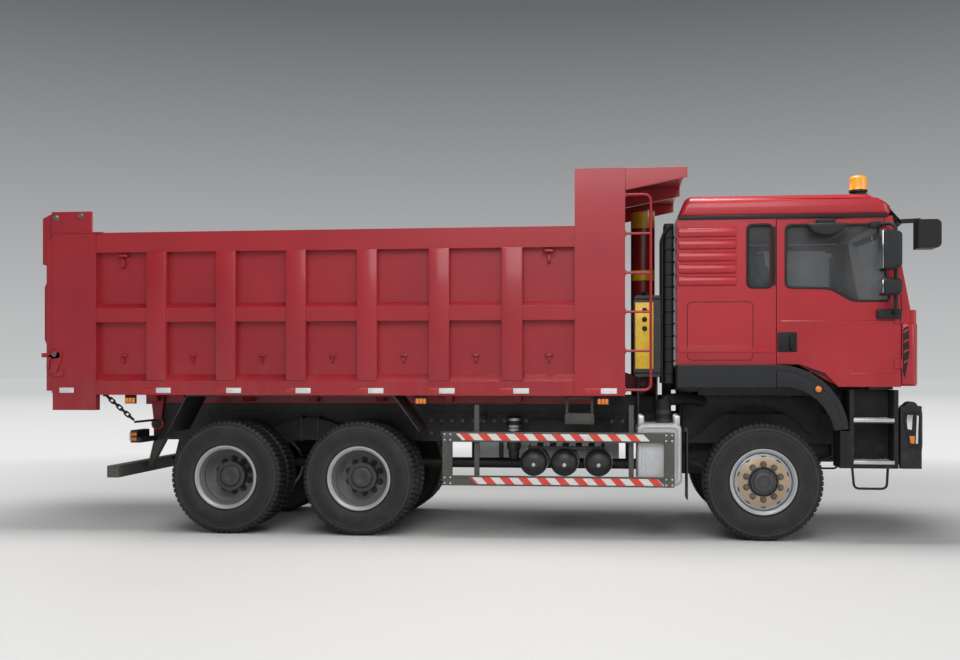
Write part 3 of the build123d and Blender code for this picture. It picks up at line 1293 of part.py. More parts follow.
save(tie_rod, "tie_rod")

# Wheels: tyres and rims
bead_half = rim_width / 2
wall_half = tyre_width / 2
# Half of a tyre's section: radii and distances from its middle plane
tyre_half_section = [
    (bead_radius, bead_half), (bead_radius + 40.0, wall_half - 15.0),
    ((bead_radius + tyre_radius) / 2, wall_half), (tyre_radius - 45.0, wall_half - 10.0),
    (tyre_radius, wall_half - 35.0),
]


def tyre(x, y):
    """One tyre with a rounded wall, open at the bead."""
    section = [(radius, y + offset) for radius, offset in tyre_half_section]
    section += [(radius, y - offset) for radius, offset in reversed(tyre_half_section)]
    turned(section, x, axle_z)


rim_inner = bead_radius - running_clearance - rim_wall


def rim_barrel(x, y):
    """The band that a tyre sits on."""
    outer = bead_radius - running_clearance
    low, high = around(y, bead_half)
    turned([(rim_inner, low), (outer, low), (outer, high), (rim_inner, high)], x, axle_z)


disc_y = front_wheel_y + 70.0
hub_face_y = front_wheel_y + 150.0
drum_back_y = front_wheel_y - 70.0
for name, side in SIDES.items():
    middle = side * front_wheel_y
    with BuildPart() as front_tyre:
        tyre(front_axle_x, middle)
    save(front_tyre, f"front_tyre_{name}")
    with BuildPart() as front_rim:
        rim_barrel(front_axle_x, middle)
        rod_y(front_axle_x, axle_z, rim_inner + 1, across(side, disc_y, disc_y + disc_thickness))
        rod_y(front_axle_x, axle_z, drum_radius, across(side, drum_back_y, disc_y))
        rod_y(front_axle_x, axle_z, hub_radius, across(side, disc_y, hub_face_y))
        bore = across(side, drum_back_y, spindle_end + 1)
        rod_y(front_axle_x, axle_z, hub_bore, bore, Mode.SUBTRACT)
    save(front_rim, f"front_rim_{name}")

rear_axles_named = {"middle": middle_axle_x, "rear": rear_axle_x}
dish_half = 14.0
dish_radius = 200.0
dish_edge = twin_spacing / 2 - bead_half + 15.0
dish_edge_width = 30.0
drum_inner_y = 660.0
rear_hub_face = twin_middle_y + 170.0
for axle_name, axle_x in rear_axles_named.items():
    for name, side in SIDES.items():
        outer_y = side * (twin_middle_y + twin_spacing / 2)
        inner_y = side * (twin_middle_y - twin_spacing / 2)
        with BuildPart() as twin_tyres:
            tyre(axle_x, outer_y)
            tyre(axle_x, inner_y)
        save(twin_tyres, f"{axle_name}_tyres_{name}")
        with BuildPart() as twin_rims:
            rim_barrel(axle_x, outer_y)
            rim_barrel(axle_x, inner_y)
            # Half of the two dishes' section: radii and distances from the twin wheels' middle plane
            dish = [
                (rim_inner + 1, dish_edge + dish_edge_width), (rim_inner + 1, dish_edge), (dish_radius, 0),
                (hub_radius, 0), (hub_radius, dish_half), (dish_radius, dish_half),
            ]
            for lean in (-1, 1):
                turned([(radius, side * twin_middle_y + lean * y) for radius, y in dish], axle_x, axle_z)
            rod_y(axle_x, axle_z, drum_radius, across(side, drum_inner_y, twin_middle_y))
            rod_y(axle_x, axle_z, hub_radius + 1, across(side, twin_middle_y, rear_hub_face))
            rod_y(axle_x, axle_z, hub_bore, across(side, drum_inner_y, spindle_end_y + 1), Mode.SUBTRACT)
        save(twin_rims, f"{axle_name}_rims_{name}")

# The hoist's pins at rest and with the bed up, for its lean and its stroke
trunnion_reach = hypot(hoist_x - hinge_x, hoist_trunnion_z - hinge_z)
trunnion_angle = atan2(hoist_trunnion_z - hinge_z, hoist_x - hinge_x) + radians(bed_tilt_max)
raised_x = hinge_x + trunnion_reach * cos(trunnion_angle) - hoist_x
raised_z = hinge_z + trunnion_reach * sin(trunnion_angle) - hoist_base_z
hoist_stroke = hypot(raised_x, raised_z) - (hoist_trunnion_z - hoist_base_z)
print("hoist stroke", hoist_stroke, "lean", atan2(-raised_x, raised_z))
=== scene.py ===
"""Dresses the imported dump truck: paint, plastics, rubber, glass and the fittings that the solids leave plain.

Metres, in the part's own frame: +X forward, +Y left, +Z up, the ground at Z = 0.
"""

import json
import logging
import math
from dataclasses import dataclass
from enum import Enum
from typing import ClassVar, Iterable, Optional, Sequence

import bpy
from mathutils import Matrix, Vector

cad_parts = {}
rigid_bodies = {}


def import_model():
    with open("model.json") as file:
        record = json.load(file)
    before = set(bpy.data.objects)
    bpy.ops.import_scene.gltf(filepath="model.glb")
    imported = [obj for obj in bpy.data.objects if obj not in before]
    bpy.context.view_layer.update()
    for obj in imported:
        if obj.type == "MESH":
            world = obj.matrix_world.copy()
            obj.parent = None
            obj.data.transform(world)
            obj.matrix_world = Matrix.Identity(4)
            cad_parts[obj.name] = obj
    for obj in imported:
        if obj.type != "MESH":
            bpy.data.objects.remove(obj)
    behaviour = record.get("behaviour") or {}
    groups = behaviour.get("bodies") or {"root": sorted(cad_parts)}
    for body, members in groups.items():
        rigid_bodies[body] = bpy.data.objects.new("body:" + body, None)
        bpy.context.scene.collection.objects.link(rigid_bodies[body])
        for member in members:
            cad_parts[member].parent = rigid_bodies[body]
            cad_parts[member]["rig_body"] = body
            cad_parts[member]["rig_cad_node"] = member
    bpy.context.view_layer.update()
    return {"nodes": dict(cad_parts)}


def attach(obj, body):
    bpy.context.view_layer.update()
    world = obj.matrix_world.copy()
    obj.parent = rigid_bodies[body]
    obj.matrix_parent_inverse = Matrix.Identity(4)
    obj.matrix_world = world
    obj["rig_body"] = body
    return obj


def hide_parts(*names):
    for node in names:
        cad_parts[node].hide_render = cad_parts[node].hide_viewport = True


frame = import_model()

LOG = logging.getLogger("truck")
Piece = bpy.types.Object
Point = tuple[float, float, float]
Flat = tuple[float, float]
Outline = tuple[Flat, ...]
Colour = tuple[float, float, float, float]

REAR_X = -2.4875
MIDDLE_X = -1.1375
FRONT_X = 2.7625
AXLE_Z = 0.5625
CAB_WALL_Y = 1.15
FULL_TURN = 2.0 * math.pi
ORIGIN: Point = (0.0, 0.0, 0.0)


class Side(Enum):
    """The two sides of the truck, by the sign of Y."""

    RIGHT = -1
    LEFT = 1

    @property
    def word(self) -> str:
        """The side's name as the nodes spell it."""
        return self.name.lower()


class Axis(Enum):
    """The three directions of the frame."""

    X = (1.0, 0.0, 0.0)
    Y = (0.0, 1.0, 0.0)
    Z = (0.0, 0.0, 1.0)


class Wire:
    """One output socket of a shader node, with the arithmetic that adds Math nodes."""

    def __init__(self, graph: "Graph", socket: bpy.types.NodeSocket) -> None:
        """Keeps the socket and the graph that new nodes are added to."""
        self.graph = graph
        self.socket = socket

    def _math(self, operation: str, first: object, second: object = 0.0, clamp: bool = False) -> "Wire":
        """Adds one Math node on two wires or numbers, kept between 0 and 1 if clamped."""
        settings = {"operation": operation, "use_clamp": clamp}
        return self.graph.node("ShaderNodeMath", settings, {0: first, 1: second})["Value"]

    def __add__(self, other: object) -> "Wire":
        """self + other."""
        return self._math("ADD", self, other)

    __radd__ = __add__

    def __sub__(self, other: object) -> "Wire":
        """self - other."""
        return self._math("SUBTRACT", self, other)

    def __rsub__(self, other: object) -> "Wire":
        """other - self."""
        return self._math("SUBTRACT", other, self)

    def __mul__(self, other: object) -> "Wire":
        """self * other."""
        return self._math("MULTIPLY", self, other)

    __rmul__ = __mul__

    def __truediv__(self, other: object) -> "Wire":
        """self / other."""
        return self._math("DIVIDE", self, other)

    def above(self, limit: float) -> "Wire":
        """1 where the value is over the limit, else 0."""
        return self._math("GREATER_THAN", self, limit)

    def within(self, low: float, high: float) -> "Wire":
        """1 where the value lies between two limits, else 0."""
        return self.above(low) * self._math("LESS_THAN", self, high)

    def fraction(self) -> "Wire":
        """The part after the point."""
        return self._math("FRACT", self)

    def fade(self, low: float, high: float) -> "Wire":
        """Rises from 0 to 1 between two values, or falls where the second is the lower."""
        return self._math("DIVIDE", self - low, high - low, True)


class Graph:
    """The nodes of one material and its Principled shader."""

    def __init__(self, name: str) -> None:
        """Starts a material with a bare shader.

        Args:
            name: the material's name.
        """
        self.material = bpy.data.materials.new(name)
        self.material.use_nodes = True
        self.tree = self.material.node_tree
        self.tree.nodes.clear()
        self.shader = self.tree.nodes.new("ShaderNodeBsdfPrincipled")
        output = self.tree.nodes.new("ShaderNodeOutputMaterial")
        self.tree.links.new(self.shader.outputs["BSDF"], output.inputs["Surface"])
        self.place = self.node("ShaderNodeTexCoord")["Object"]
        axes = self.node("ShaderNodeSeparateXYZ", {}, {"Vector": self.place})
        self.x, self.z = axes["X"], axes["Z"]

    def node(self, kind: str, settings: Optional[dict] = None,
             inputs: Optional[dict] = None) -> dict[str, Wire]:
        """Adds any node.

        Args:
            kind: the node's type.
            settings: properties, which are set first.
            inputs: values or wires by socket name or number.

        Returns:
            The node's outputs by name.
        """
        made = self.tree.nodes.new(kind)
        for key, value in (settings or {}).items():
            setattr(made, key, value)
        for key, value in (inputs or {}).items():
            self.feed(made.inputs[key], value)
        return {socket.name: Wire(self, socket) for socket in made.outputs if socket.enabled}

    def feed(self, socket: bpy.types.NodeSocket, value: object) -> None:
        """Links a wire to a socket or sets its value.

        Args:
            socket: the input socket.
            value: a wire, a number or a tuple.
        """
        if isinstance(value, Wire):
            self.tree.links.new(value.socket, socket)
        else:
            socket.default_value = value

    def set(self, **sockets: object) -> None:
        """Feeds the shader's sockets, named with underscores for spaces."""
        for key, value in sockets.items():
            self.feed(self.shader.inputs[key.replace("_", " ")], value)

    def noise(self, scale: float, detail: float = 3.0, stretch: Point = (1.0, 1.0, 1.0)) -> Wire:
        """A smooth random value over the surface.

        Args:
            scale: features a metre.
            detail: octaves.
            stretch: scale along each axis.

        Returns:
            The value, about 0.5 on average.
        """
        spread = self.node("ShaderNodeMapping", {}, {"Vector": self.place, "Scale": stretch})["Vector"]
        inputs = {"Vector": spread, "Scale": scale, "Detail": detail}
        return self.node("ShaderNodeTexNoise", {}, inputs)["Fac"]

    def cells(self, scale: float) -> Wire:
        """The distance to scattered points, so many a metre, for grain."""
        return self.node("ShaderNodeTexVoronoi", {}, {"Vector": self.place, "Scale": scale})["Distance"]

    def wave(self, scale: float, direction: str) -> Wire:
        """Bands across one axis."""
        inputs = {"Vector": self.place, "Scale": scale}
        return self.node("ShaderNodeTexWave", {"bands_direction": direction}, inputs)["Fac"]

    def mix(self, share: object, first: object, second: object) -> Wire:
        """Blends two colours by the second one's share."""
        inputs = {"Factor": share, 6: first, 7: second}
        return self.node("ShaderNodeMix", {"data_type": "RGBA"}, inputs)["Result"]

    def bump(self, height: Wire, strength: float, distance: float) -> None:
        """Feeds the shader's normal from a height, with the share that shows and the depth in metres."""
        inputs = {"Height": height, "Strength": strength, "Distance": distance}
        self.set(Normal=self.node("ShaderNodeBump", {}, inputs)["Normal"])

    def edges(self, low: float, high: float) -> Wire:
        """Fades with the surface's pointiness: up on edges, or down into hollows."""
        return self.node("ShaderNodeNewGeometry")["Pointiness"].fade(low, high)


@dataclass(frozen=True)
class Finish:
    """A surface finish: its name, the record's slot it belongs to, which nothing in this script reads, and how
    its nodes are wired.
    """

    name: str
    slot: str
    made: ClassVar[dict[str, bpy.types.Material]] = {}

    def wire(self, graph: Graph) -> None:
        """Sets the shader up in a material's nodes."""
        raise NotImplementedError

    def material(self) -> bpy.types.Material:
        """The finish as a material, made once.

        Returns:
            The material.
        """
        if self.name not in Finish.made:
            graph = Graph(self.name)
            self.wire(graph)
            Finish.made[self.name] = graph.material
        return Finish.made[self.name]


def tint(colour: Colour, factor: float) -> Colour:
    """A colour with each channel multiplied by a factor, up to 1."""
    red, green, blue, alpha = colour
    return (min(red * factor, 1.0), min(green * factor, 1.0), min(blue * factor, 1.0), alpha)


@dataclass(frozen=True)
class CoachPaint(Finish):
    """Gloss paint under clear coat, with faint orange peel, and road dust low down."""

    colour: Colour = (0.36, 0.016, 0.024, 1.0)
    dust: Colour = (0.23, 0.16, 0.13, 1.0)
    gloss: float = 0.3
    # Heights between which the dust fades out
    dust_z: Flat = (1.9, 0.7)

    def wire(self, graph: Graph) -> None:
        """Paint, dust and peel.

        Args:
            graph: the material's nodes.
        """
        cloud = graph.noise(1.4, 4.0)
        body = graph.mix(cloud.fade(0.3, 0.75), tint(self.colour, 0.9), tint(self.colour, 1.1))
        low = graph.z.fade(*self.dust_z)
        speckle = graph.noise(9.0, 5.0, (1.0, 1.0, 0.35)).fade(0.42, 0.75)
        dirt = low * speckle * 0.3
        graph.set(Base_Color=graph.mix(dirt, body, self.dust))
        graph.set(Roughness=self.gloss + cloud * 0.08 + dirt * 0.8)
        graph.set(Coat_Weight=0.3 - dirt * 0.5, Coat_Roughness=0.14, Specular_IOR_Level=0.34)
        graph.bump(graph.noise(240.0, 2.0), 0.05, 0.001)


@dataclass(frozen=True)
class SatinPaint(Finish):
    """Satin paint on frames and brackets, with dust in the hollows and worn edges."""

    colour: Colour = (0.012, 0.012, 0.013, 1.0)
    dust: Colour = (0.11, 0.1, 0.09, 1.0)
    gloss: float = 0.45
    dusty: float = 0.35
    metal: float = 0.0

    def wire(self, graph: Graph) -> None:
        """Paint with dust clouds, and lighter edges where the paint is rubbed.

        Args:
            graph: the material's nodes.
        """
        cloud = graph.noise(3.0, 6.0)
        grime = graph.noise(14.0, 5.0).fade(0.45, 0.8) * self.dusty
        body = graph.mix(cloud, tint(self.colour, 0.8), tint(self.colour, 1.35))
        rubbed = graph.edges(0.53, 0.6) * graph.noise(30.0).fade(0.35, 0.7)
        worn = graph.mix(rubbed * 0.35, graph.mix(grime, body, self.dust), tint(self.colour, 5.0))
        graph.set(Base_Color=worn, Metallic=self.metal)
        graph.set(Roughness=self.gloss + grime * 0.4 + cloud * 0.1)
        graph.bump(graph.noise(160.0, 2.0), 0.08, 0.001)


@dataclass(frozen=True)
class GrainedPlastic(Finish):
    """Moulded plastic with a leathery grain."""

    colour: Colour = (0.014, 0.015, 0.017, 1.0)
    dust: Colour = (0.14, 0.125, 0.11, 1.0)
    gloss: float = 0.54
    grain: float = 520.0

    def wire(self, graph: Graph) -> None:
        """Plastic with grain, faded a little by the sun.

        Args:
            graph: the material's nodes.
        """
        cloud = graph.noise(2.5, 4.0)
        dust = graph.noise(11.0, 5.0).fade(0.5, 0.85) * graph.z.fade(1.7, 0.7) * 0.25
        body = graph.mix(cloud, tint(self.colour, 0.85), tint(self.colour, 1.25))
        graph.set(Base_Color=graph.mix(dust, body, self.dust), Specular_IOR_Level=0.3)
        graph.set(Roughness=self.gloss + cloud * 0.12 + dust * 0.5)
        graph.bump(graph.cells(self.grain), 0.25, 0.0006)


@dataclass(frozen=True)
class Rubber(Finish):
    """Tyre and seal rubber: dull black, with dry dust on the tread and in the moulding."""

    colour: Colour = (0.014, 0.014, 0.0145, 1.0)
    dust: Colour = (0.16, 0.145, 0.12, 1.0)
    dusty: float = 0.22

    def wire(self, graph: Graph) -> None:
        """Rubber with fine pores and patchy dust.

        Args:
            graph: the material's nodes.
        """
        patch = graph.noise(7.0, 6.0).fade(0.48, 0.8) * self.dusty
        hollows = graph.edges(0.5, 0.44) * 0.2
        graph.set(Base_Color=graph.mix(patch + hollows, self.colour, self.dust))
        graph.set(Roughness=0.62 + patch * 0.4, Specular_IOR_Level=0.35)
        graph.bump(graph.noise(420.0, 3.0), 0.2, 0.0008)


@dataclass(frozen=True)
class Metal(Finish):
    """Bare or plated metal, brushed along one direction."""

    colour: Colour = (0.6, 0.61, 0.63, 1.0)
    gloss: float = 0.28
    brush: Point = (1.0, 40.0, 40.0)
    soil: float = 0.25
    metal: float = 1.0

    def wire(self, graph: Graph) -> None:
        """Metal with brush marks and a film of soil.

        Args:
            graph: the material's nodes.
        """
        marks = graph.noise(12.0, 3.0, self.brush)
        film = graph.noise(5.0, 6.0).fade(0.45, 0.8) * self.soil
        graph.set(Base_Color=graph.mix(film, self.colour, tint(self.colour, 0.3)))
        graph.set(Roughness=self.gloss + marks * 0.16 + film * 0.5, Metallic=self.metal - film * 0.5)
        graph.bump(marks, 0.06, 0.0006)


@dataclass(frozen=True)
class Lens(Finish):
    """A lamp's coloured lens with moulded ribs and a glow of its own colour."""

    colour: Colour = (0.9, 0.25, 0.01, 1.0)
    ribs: float = 90.0
    glow: float = 0.15

    def wire(self, graph: Graph) -> None:
        """Glossy plastic with ribs across it.

        Args:
            graph: the material's nodes.
        """
        rib = graph.wave(self.ribs, "Z")
        spots = graph.noise(40.0, 2.0)
        graph.set(Base_Color=graph.mix(rib * 0.5 + spots * 0.2, tint(self.colour, 0.75), self.colour))
        graph.set(Roughness=0.12 + spots * 0.08, Coat_Weight=0.6, Coat_Roughness=0.05)
        graph.set(Emission_Color=self.colour, Emission_Strength=self.glow)
        graph.bump(rib, 0.3, 0.002)


@dataclass(frozen=True)
class Pane(Finish):
    """Tinted window glass that shows what is behind it."""

    colour: Colour = (0.05, 0.06, 0.065, 1.0)
    dust: Colour = (0.3, 0.3, 0.3, 1.0)
    cover: float = 0.42

    def wire(self, graph: Graph) -> None:
        """Glass with a thin film of dust.

        Args:
            graph: the material's nodes.
        """
        film = graph.noise(3.0, 4.0).fade(0.4, 0.8)
        graph.set(Base_Color=graph.mix(film * 0.25, self.colour, self.dust))
        graph.set(Alpha=self.cover + film * 0.06, Roughness=0.02 + film * 0.03)
        graph.set(Specular_IOR_Level=0.6, IOR=1.5)


@dataclass(frozen=True)
class Stripes(Finish):
    """Slanted red and white warning stripes of reflecting tape."""

    red: Colour = (0.62, 0.035, 0.02, 1.0)
    white: Colour = (0.62, 0.62, 0.6, 1.0)
    dust: Colour = (0.2, 0.18, 0.16, 1.0)
    pitch: float = 0.177
    lean: float = 0.92

    def wire(self, graph: Graph) -> None:
        """Two colours by place along X and Z, with a honeycomb under the film.

        Args:
            graph: the material's nodes.
        """
        band = ((graph.x + graph.z * self.lean) / self.pitch).fraction().above(0.5)
        comb = graph.cells(260.0)
        scuff = graph.noise(18.0, 5.0).fade(0.55, 0.8) * 0.25
        tape = graph.mix(band, self.white, self.red)
        graph.set(Base_Color=graph.mix(scuff, tape, self.dust))
        graph.set(Roughness=0.3 + scuff * 0.6 + comb * 0.1, Coat_Weight=0.3)
        graph.bump(comb, 0.12, 0.0004)


@dataclass(frozen=True)
class BandedPaint(Finish):
    """Hoist paint with bands of another colour at set heights."""

    colour: Colour = (0.2, 0.012, 0.014, 1.0)
    band: Colour = (0.72, 0.42, 0.015, 1.0)
    oil: Colour = (0.02, 0.018, 0.016, 1.0)
    heights: Outline = ((2.57, 2.68), (3.12, 3.29))

    def wire(self, graph: Graph) -> None:
        """Paint, bands and a film of oil.

        Args:
            graph: the material's nodes.
        """
        paint: object = self.colour
        for low, high in self.heights:
            paint = graph.mix(graph.z.within(low, high), paint, self.band)
        film = graph.noise(6.0, 5.0, (1.0, 1.0, 0.3)).fade(0.5, 0.85) * 0.4
        graph.set(Base_Color=graph.mix(film, paint, self.oil))
        graph.set(Roughness=0.3 + film * 0.3, Coat_Weight=0.3)
        graph.bump(graph.noise(120.0), 0.05, 0.001)


@dataclass(frozen=True)
class Cloth(Finish):
    """Woven seat cloth."""

    colour: Colour = (0.05, 0.052, 0.058, 1.0)
    threads: float = 900.0

    def wire(self, graph: Graph) -> None:
        """A weave of two crossing waves, with sheen.

        Args:
            graph: the material's nodes.
        """
        weave = graph.wave(self.threads, "X") * graph.wave(self.threads, "Z")
        wear = graph.noise(6.0, 4.0)
        share = weave * 0.5 + wear * 0.3
        graph.set(Base_Color=graph.mix(share, tint(self.colour, 0.7), tint(self.colour, 1.6)))
        graph.set(Roughness=0.85 + wear * 0.1, Sheen_Weight=0.3)
        graph.bump(weave, 0.3, 0.0008)


class Bench:
    """The workbench: Blender's own operators, wrapped so that nothing else is selected while they act."""

    # Edges this wide are rounded in more steps, and may run into each other
    broad: ClassVar[float] = 0.05
    # Points nearer than this are one, in a new piece and in a node's copy
    weld: ClassVar[float] = 0.00002
    node_weld: ClassVar[float] = 0.00005
    # The number of points in a bar's bend
    bend: ClassVar[int] = 6

    @staticmethod
    def clear() -> None:
        """Leaves edit mode and deselects everything."""
        if bpy.context.object is not None and bpy.context.object.mode != "OBJECT":
            bpy.ops.object.mode_set(mode="OBJECT")
        bpy.ops.object.select_all(action="DESELECT")

    @staticmethod
    def pick(piece: Piece, edit: bool = False) -> None:
        """Makes one piece the only selected and active one.

        Args:
            piece: the object.
            edit: whether edit mode is entered, with everything selected.
        """
        Bench.clear()
        piece.select_set(True)
        bpy.context.view_layer.objects.active = piece
        if edit:
            bpy.ops.object.mode_set(mode="EDIT")
            bpy.ops.mesh.select_all(action="SELECT")

    @staticmethod
    def settle(piece: Piece) -> Piece:
        """Applies a piece's place, turn and scale to its mesh.

        Args:
            piece: the object.

        Returns:
            The object.
        """
        Bench.pick(piece)
        bpy.ops.object.transform_apply(location=True, rotation=True, scale=True)
        return piece

    @staticmethod
    def block(low: Point, high: Point, width: float = 0.0, segments: int = 2) -> Piece:
        """A box between two corners.

        Args:
            low: the lowest corner.
            high: the highest corner.
            width: the width of its rounded edges.
            segments: their steps.

        Returns:
            The object.
        """
        Bench.clear()
        middle = [(a + b) / 2 for a, b in zip(low, high)]
        size = [b - a for a, b in zip(low, high)]
        bpy.ops.mesh.primitive_cube_add(size=1.0, location=middle, scale=size)
        piece = Bench.settle(bpy.context.object)
        return Bench.soften(piece, width, segments) if width else piece

    @staticmethod
    def chain(points: Sequence[Point]) -> Piece:
        """A chain of edges drawn point by point; it stays in edit mode with all of it selected.

        Args:
            points: the places that it goes through.

        Returns:
            The object.
        """
        Bench.clear()
        bpy.ops.mesh.primitive_plane_add(size=0.01, location=points[0])
        piece = Bench.settle(bpy.context.object)
        Bench.pick(piece, edit=True)
        bpy.ops.mesh.merge(type="CENTER")
        for start, end in zip(points, points[1:]):
            step = Vector(end) - Vector(start)
            bpy.ops.mesh.extrude_region_move(TRANSFORM_OT_translate={"value": step})
        bpy.ops.mesh.select_all(action="SELECT")
        return piece

    @staticmethod
    def prism(outline: Sequence[Point], push: Point, width: float = 0.0, segments: int = 2,
              angle: float = 35.0) -> Piece:
        """A flat outline pushed out into a plate.

        Args:
            outline: the corners in order.
            push: the direction and thickness.
            width: the width of its rounded edges.
            segments: their steps.
            angle: the least angle of an edge that is rounded.

        Returns:
            The object.
        """
        piece = Bench.chain(outline)
        bpy.ops.mesh.edge_face_add()
        bpy.ops.mesh.extrude_region_move(TRANSFORM_OT_translate={"value": push})
        Bench.close()
        return Bench.soften(piece, width, segments, angle) if width else piece

    @staticmethod
    def turned(profile: Sequence[Flat], middle: Point, axis: Axis, steps: int, angle: float = 0.0) -> Piece:
        """A profile spun round a line.

        Args:
            profile: each point's radius and place along the line.
            middle: a point of the line.
            axis: the line's direction.
            steps: the number of parts in a turn.
            angle: edges up to this are shaded smooth.

        Returns:
            The object.
        """
        along = Vector(axis.value)
        out = Vector(Axis.X.value if axis is not Axis.X else Axis.Z.value)
        points = [tuple(Vector(middle) + out * radius + along * place) for radius, place in profile]
        piece = Bench.chain(points)
        bpy.ops.mesh.spin(steps=steps, angle=FULL_TURN, center=middle, axis=along)
        Bench.close()
        return Bench.smooth(piece, angle) if angle else piece

    @staticmethod
    def close() -> None:
        """Merges doubles, turns the faces outwards and leaves edit mode."""
        bpy.ops.mesh.select_all(action="SELECT")
        bpy.ops.mesh.remove_doubles(threshold=Bench.weld)
        bpy.ops.mesh.normals_make_consistent(inside=False)
        bpy.ops.object.mode_set(mode="OBJECT")

    @staticmethod
    def tube(points: Sequence[Point], radius: float, corner: float = 0.0, closed: bool = False) -> Piece:
        """A round bar along a path, made a mesh.

        Args:
            points: the path's corners.
            radius: the bar's radius.
            corner: the length that a bend takes from each run.
            closed: whether the ends join.

        Returns:
            The object.
        """
        Bench.clear()
        bpy.ops.curve.primitive_bezier_curve_add()
        piece = bpy.context.object
        curve = piece.data
        curve.splines.clear()
        spline = curve.splines.new("POLY")
        path = Bench.eased(points, corner, closed) if corner else points
        spline.points.add(len(path) - 1)
        for point, place in zip(spline.points, path):
            point.co = (*place, 1.0)
        spline.use_cyclic_u = closed
        curve.dimensions = "3D"
        curve.bevel_depth = radius
        curve.bevel_resolution = 3
        curve.use_fill_caps = not closed
        piece.location = ORIGIN
        bpy.ops.object.convert(target="MESH")
        return Bench.settle(Bench.smooth(bpy.context.object))

    @staticmethod
    def eased(points: Sequence[Point], corner: float, closed: bool) -> list[Point]:
        """Replaces each corner of a path of bent bar by a short curve.

        Args:
            points: the corners.
            corner: the length that a bend takes from each run.
            closed: whether the ends join.

        Returns:
            The path.
        """
        count = len(points)
        path: list[Point] = []
        for index, point in enumerate(points):
            if not closed and index in (0, count - 1):
                path.append(tuple(point))
                continue
            here = Vector(point)
            before = (Vector(points[index - 1]) - here).normalized() * corner + here
            after = (Vector(points[(index + 1) % count]) - here).normalized() * corner + here
            for step in range(Bench.bend):
                share = step / (Bench.bend - 1)
                path.append(tuple(before.lerp(here, share).lerp(here.lerp(after, share), share)))
        return path

    @staticmethod
    def cut_below(piece: Piece, height: float) -> None:
        """Cuts away what lies below a height and closes the cut.

        Args:
            piece: the object.
            height: the cut's height.
        """
        Bench.pick(piece, edit=True)
        place = (0.0, 0.0, height)
        bpy.ops.mesh.bisect(plane_co=place, plane_no=Axis.Z.value, use_fill=True, clear_inner=True)
        bpy.ops.object.mode_set(mode="OBJECT")

    @staticmethod
    def apply(piece: Piece, kind: str, **settings: object) -> None:
        """Adds a modifier and applies it.

        Args:
            piece: the object.
            kind: the modifier's type.
            settings: its properties.
        """
        Bench.pick(piece)
        modifier = piece.modifiers.new("step", kind)
        for key, value in settings.items():
            setattr(modifier, key, value)
        bpy.ops.object.modifier_apply(modifier=modifier.name)

    @staticmethod
    def soften(piece: Piece, width: float, segments: int = 2, angle: float = 35.0) -> Piece:
        """Rounds the sharp edges and shades the piece smooth.

        Args:
            piece: the object.
            width: the bevel's width.
            segments: its steps.
            angle: the least angle of an edge that is rounded.

        Returns:
            The object.
        """
        Bench.apply(
            piece, "BEVEL", width=width, segments=segments, limit_method="ANGLE",
            angle_limit=math.radians(angle), harden_normals=False, use_clamp_overlap=width < Bench.broad,
        )
        return Bench.smooth(piece)

    @staticmethod
    def smooth(piece: Piece, angle: float = 32.0) -> Piece:
        """Shades a piece smooth, except over edges sharper than an angle.

        Args:
            piece: the object.
            angle: the angle in degrees.

        Returns:
            The object.
        """
        Bench.pick(piece)
        bpy.ops.object.shade_smooth_by_angle(angle=math.radians(angle))
        return piece

    @staticmethod
    def copy(piece: Piece, shift: Point = ORIGIN) -> Piece:
        """A copy with its own mesh, moved.

        Args:
            piece: the object to copy.
            shift: how far it moves.

        Returns:
            The copy.
        """
        Bench.pick(piece)
        bpy.ops.object.duplicate()
        made = bpy.context.object
        made.location = Vector(made.location) + Vector(shift)
        return Bench.settle(made)

    @staticmethod
    def turn(piece: Piece, angle: float, axis: Axis, middle: Point = ORIGIN) -> Piece:
        """Turns a piece's mesh about a line.

        Args:
            piece: the object.
            angle: radians.
            axis: the line's direction.
            middle: a point of the line.

        Returns:
            The object.
        """
        shift = Matrix.Translation(Vector(middle))
        spin = Matrix.Rotation(angle, 4, Vector(axis.value))
        piece.data.transform(shift @ spin @ shift.inverted())
        return piece

    @staticmethod
    def ring(piece: Piece, count: int) -> Piece:
        """Copies a piece round the Y axis and joins the copies.

        Args:
            piece: the first one.
            count: how many in all.

        Returns:
            The joined object.
        """
        copies = [Bench.turn(Bench.copy(piece), FULL_TURN * step / count, Axis.Y) for step in range(1, count)]
        return Bench.join([piece, *copies])

    @staticmethod
    def row(piece: Piece, shifts: Iterable[Point]) -> Piece:
        """Copies a piece to several places and joins the copies.

        Args:
            piece: the pattern, which is used up.
            shifts: where each copy goes from the pattern.

        Returns:
            The joined object.
        """
        copies = [Bench.copy(piece, shift) for shift in shifts]
        Bench.discard(piece)
        return Bench.join(copies)

    @staticmethod
    def discard(piece: Piece) -> None:
        """Deletes a piece that was only a pattern."""
        Bench.pick(piece)
        bpy.ops.object.delete()

    @staticmethod
    def join(pieces: Sequence[Piece]) -> Piece:
        """Joins pieces into the first of them.

        Args:
            pieces: the objects.

        Returns:
            The joined object.
        """
        Bench.pick(pieces[0])
        for piece in pieces:
            piece.select_set(True)
        if len(pieces) > 1:
            bpy.ops.object.join()
        return bpy.context.object

    @staticmethod
    def mirrored(piece: Piece) -> Piece:
        """A copy on the truck's other side, with its faces outwards.

        Args:
            piece: the object.

        Returns:
            The copy.
        """
        made = Bench.copy(piece)
        made.data.transform(Matrix.Scale(-1.0, 4, Vector(Axis.Y.value)))
        made.data.flip_normals()
        return made

    @staticmethod
    def pair(*pieces: Piece) -> list[Piece]:
        """Joins pieces made for the left, and adds their twin on the right."""
        left = Bench.join(pieces)
        return [left, Bench.mirrored(left)]

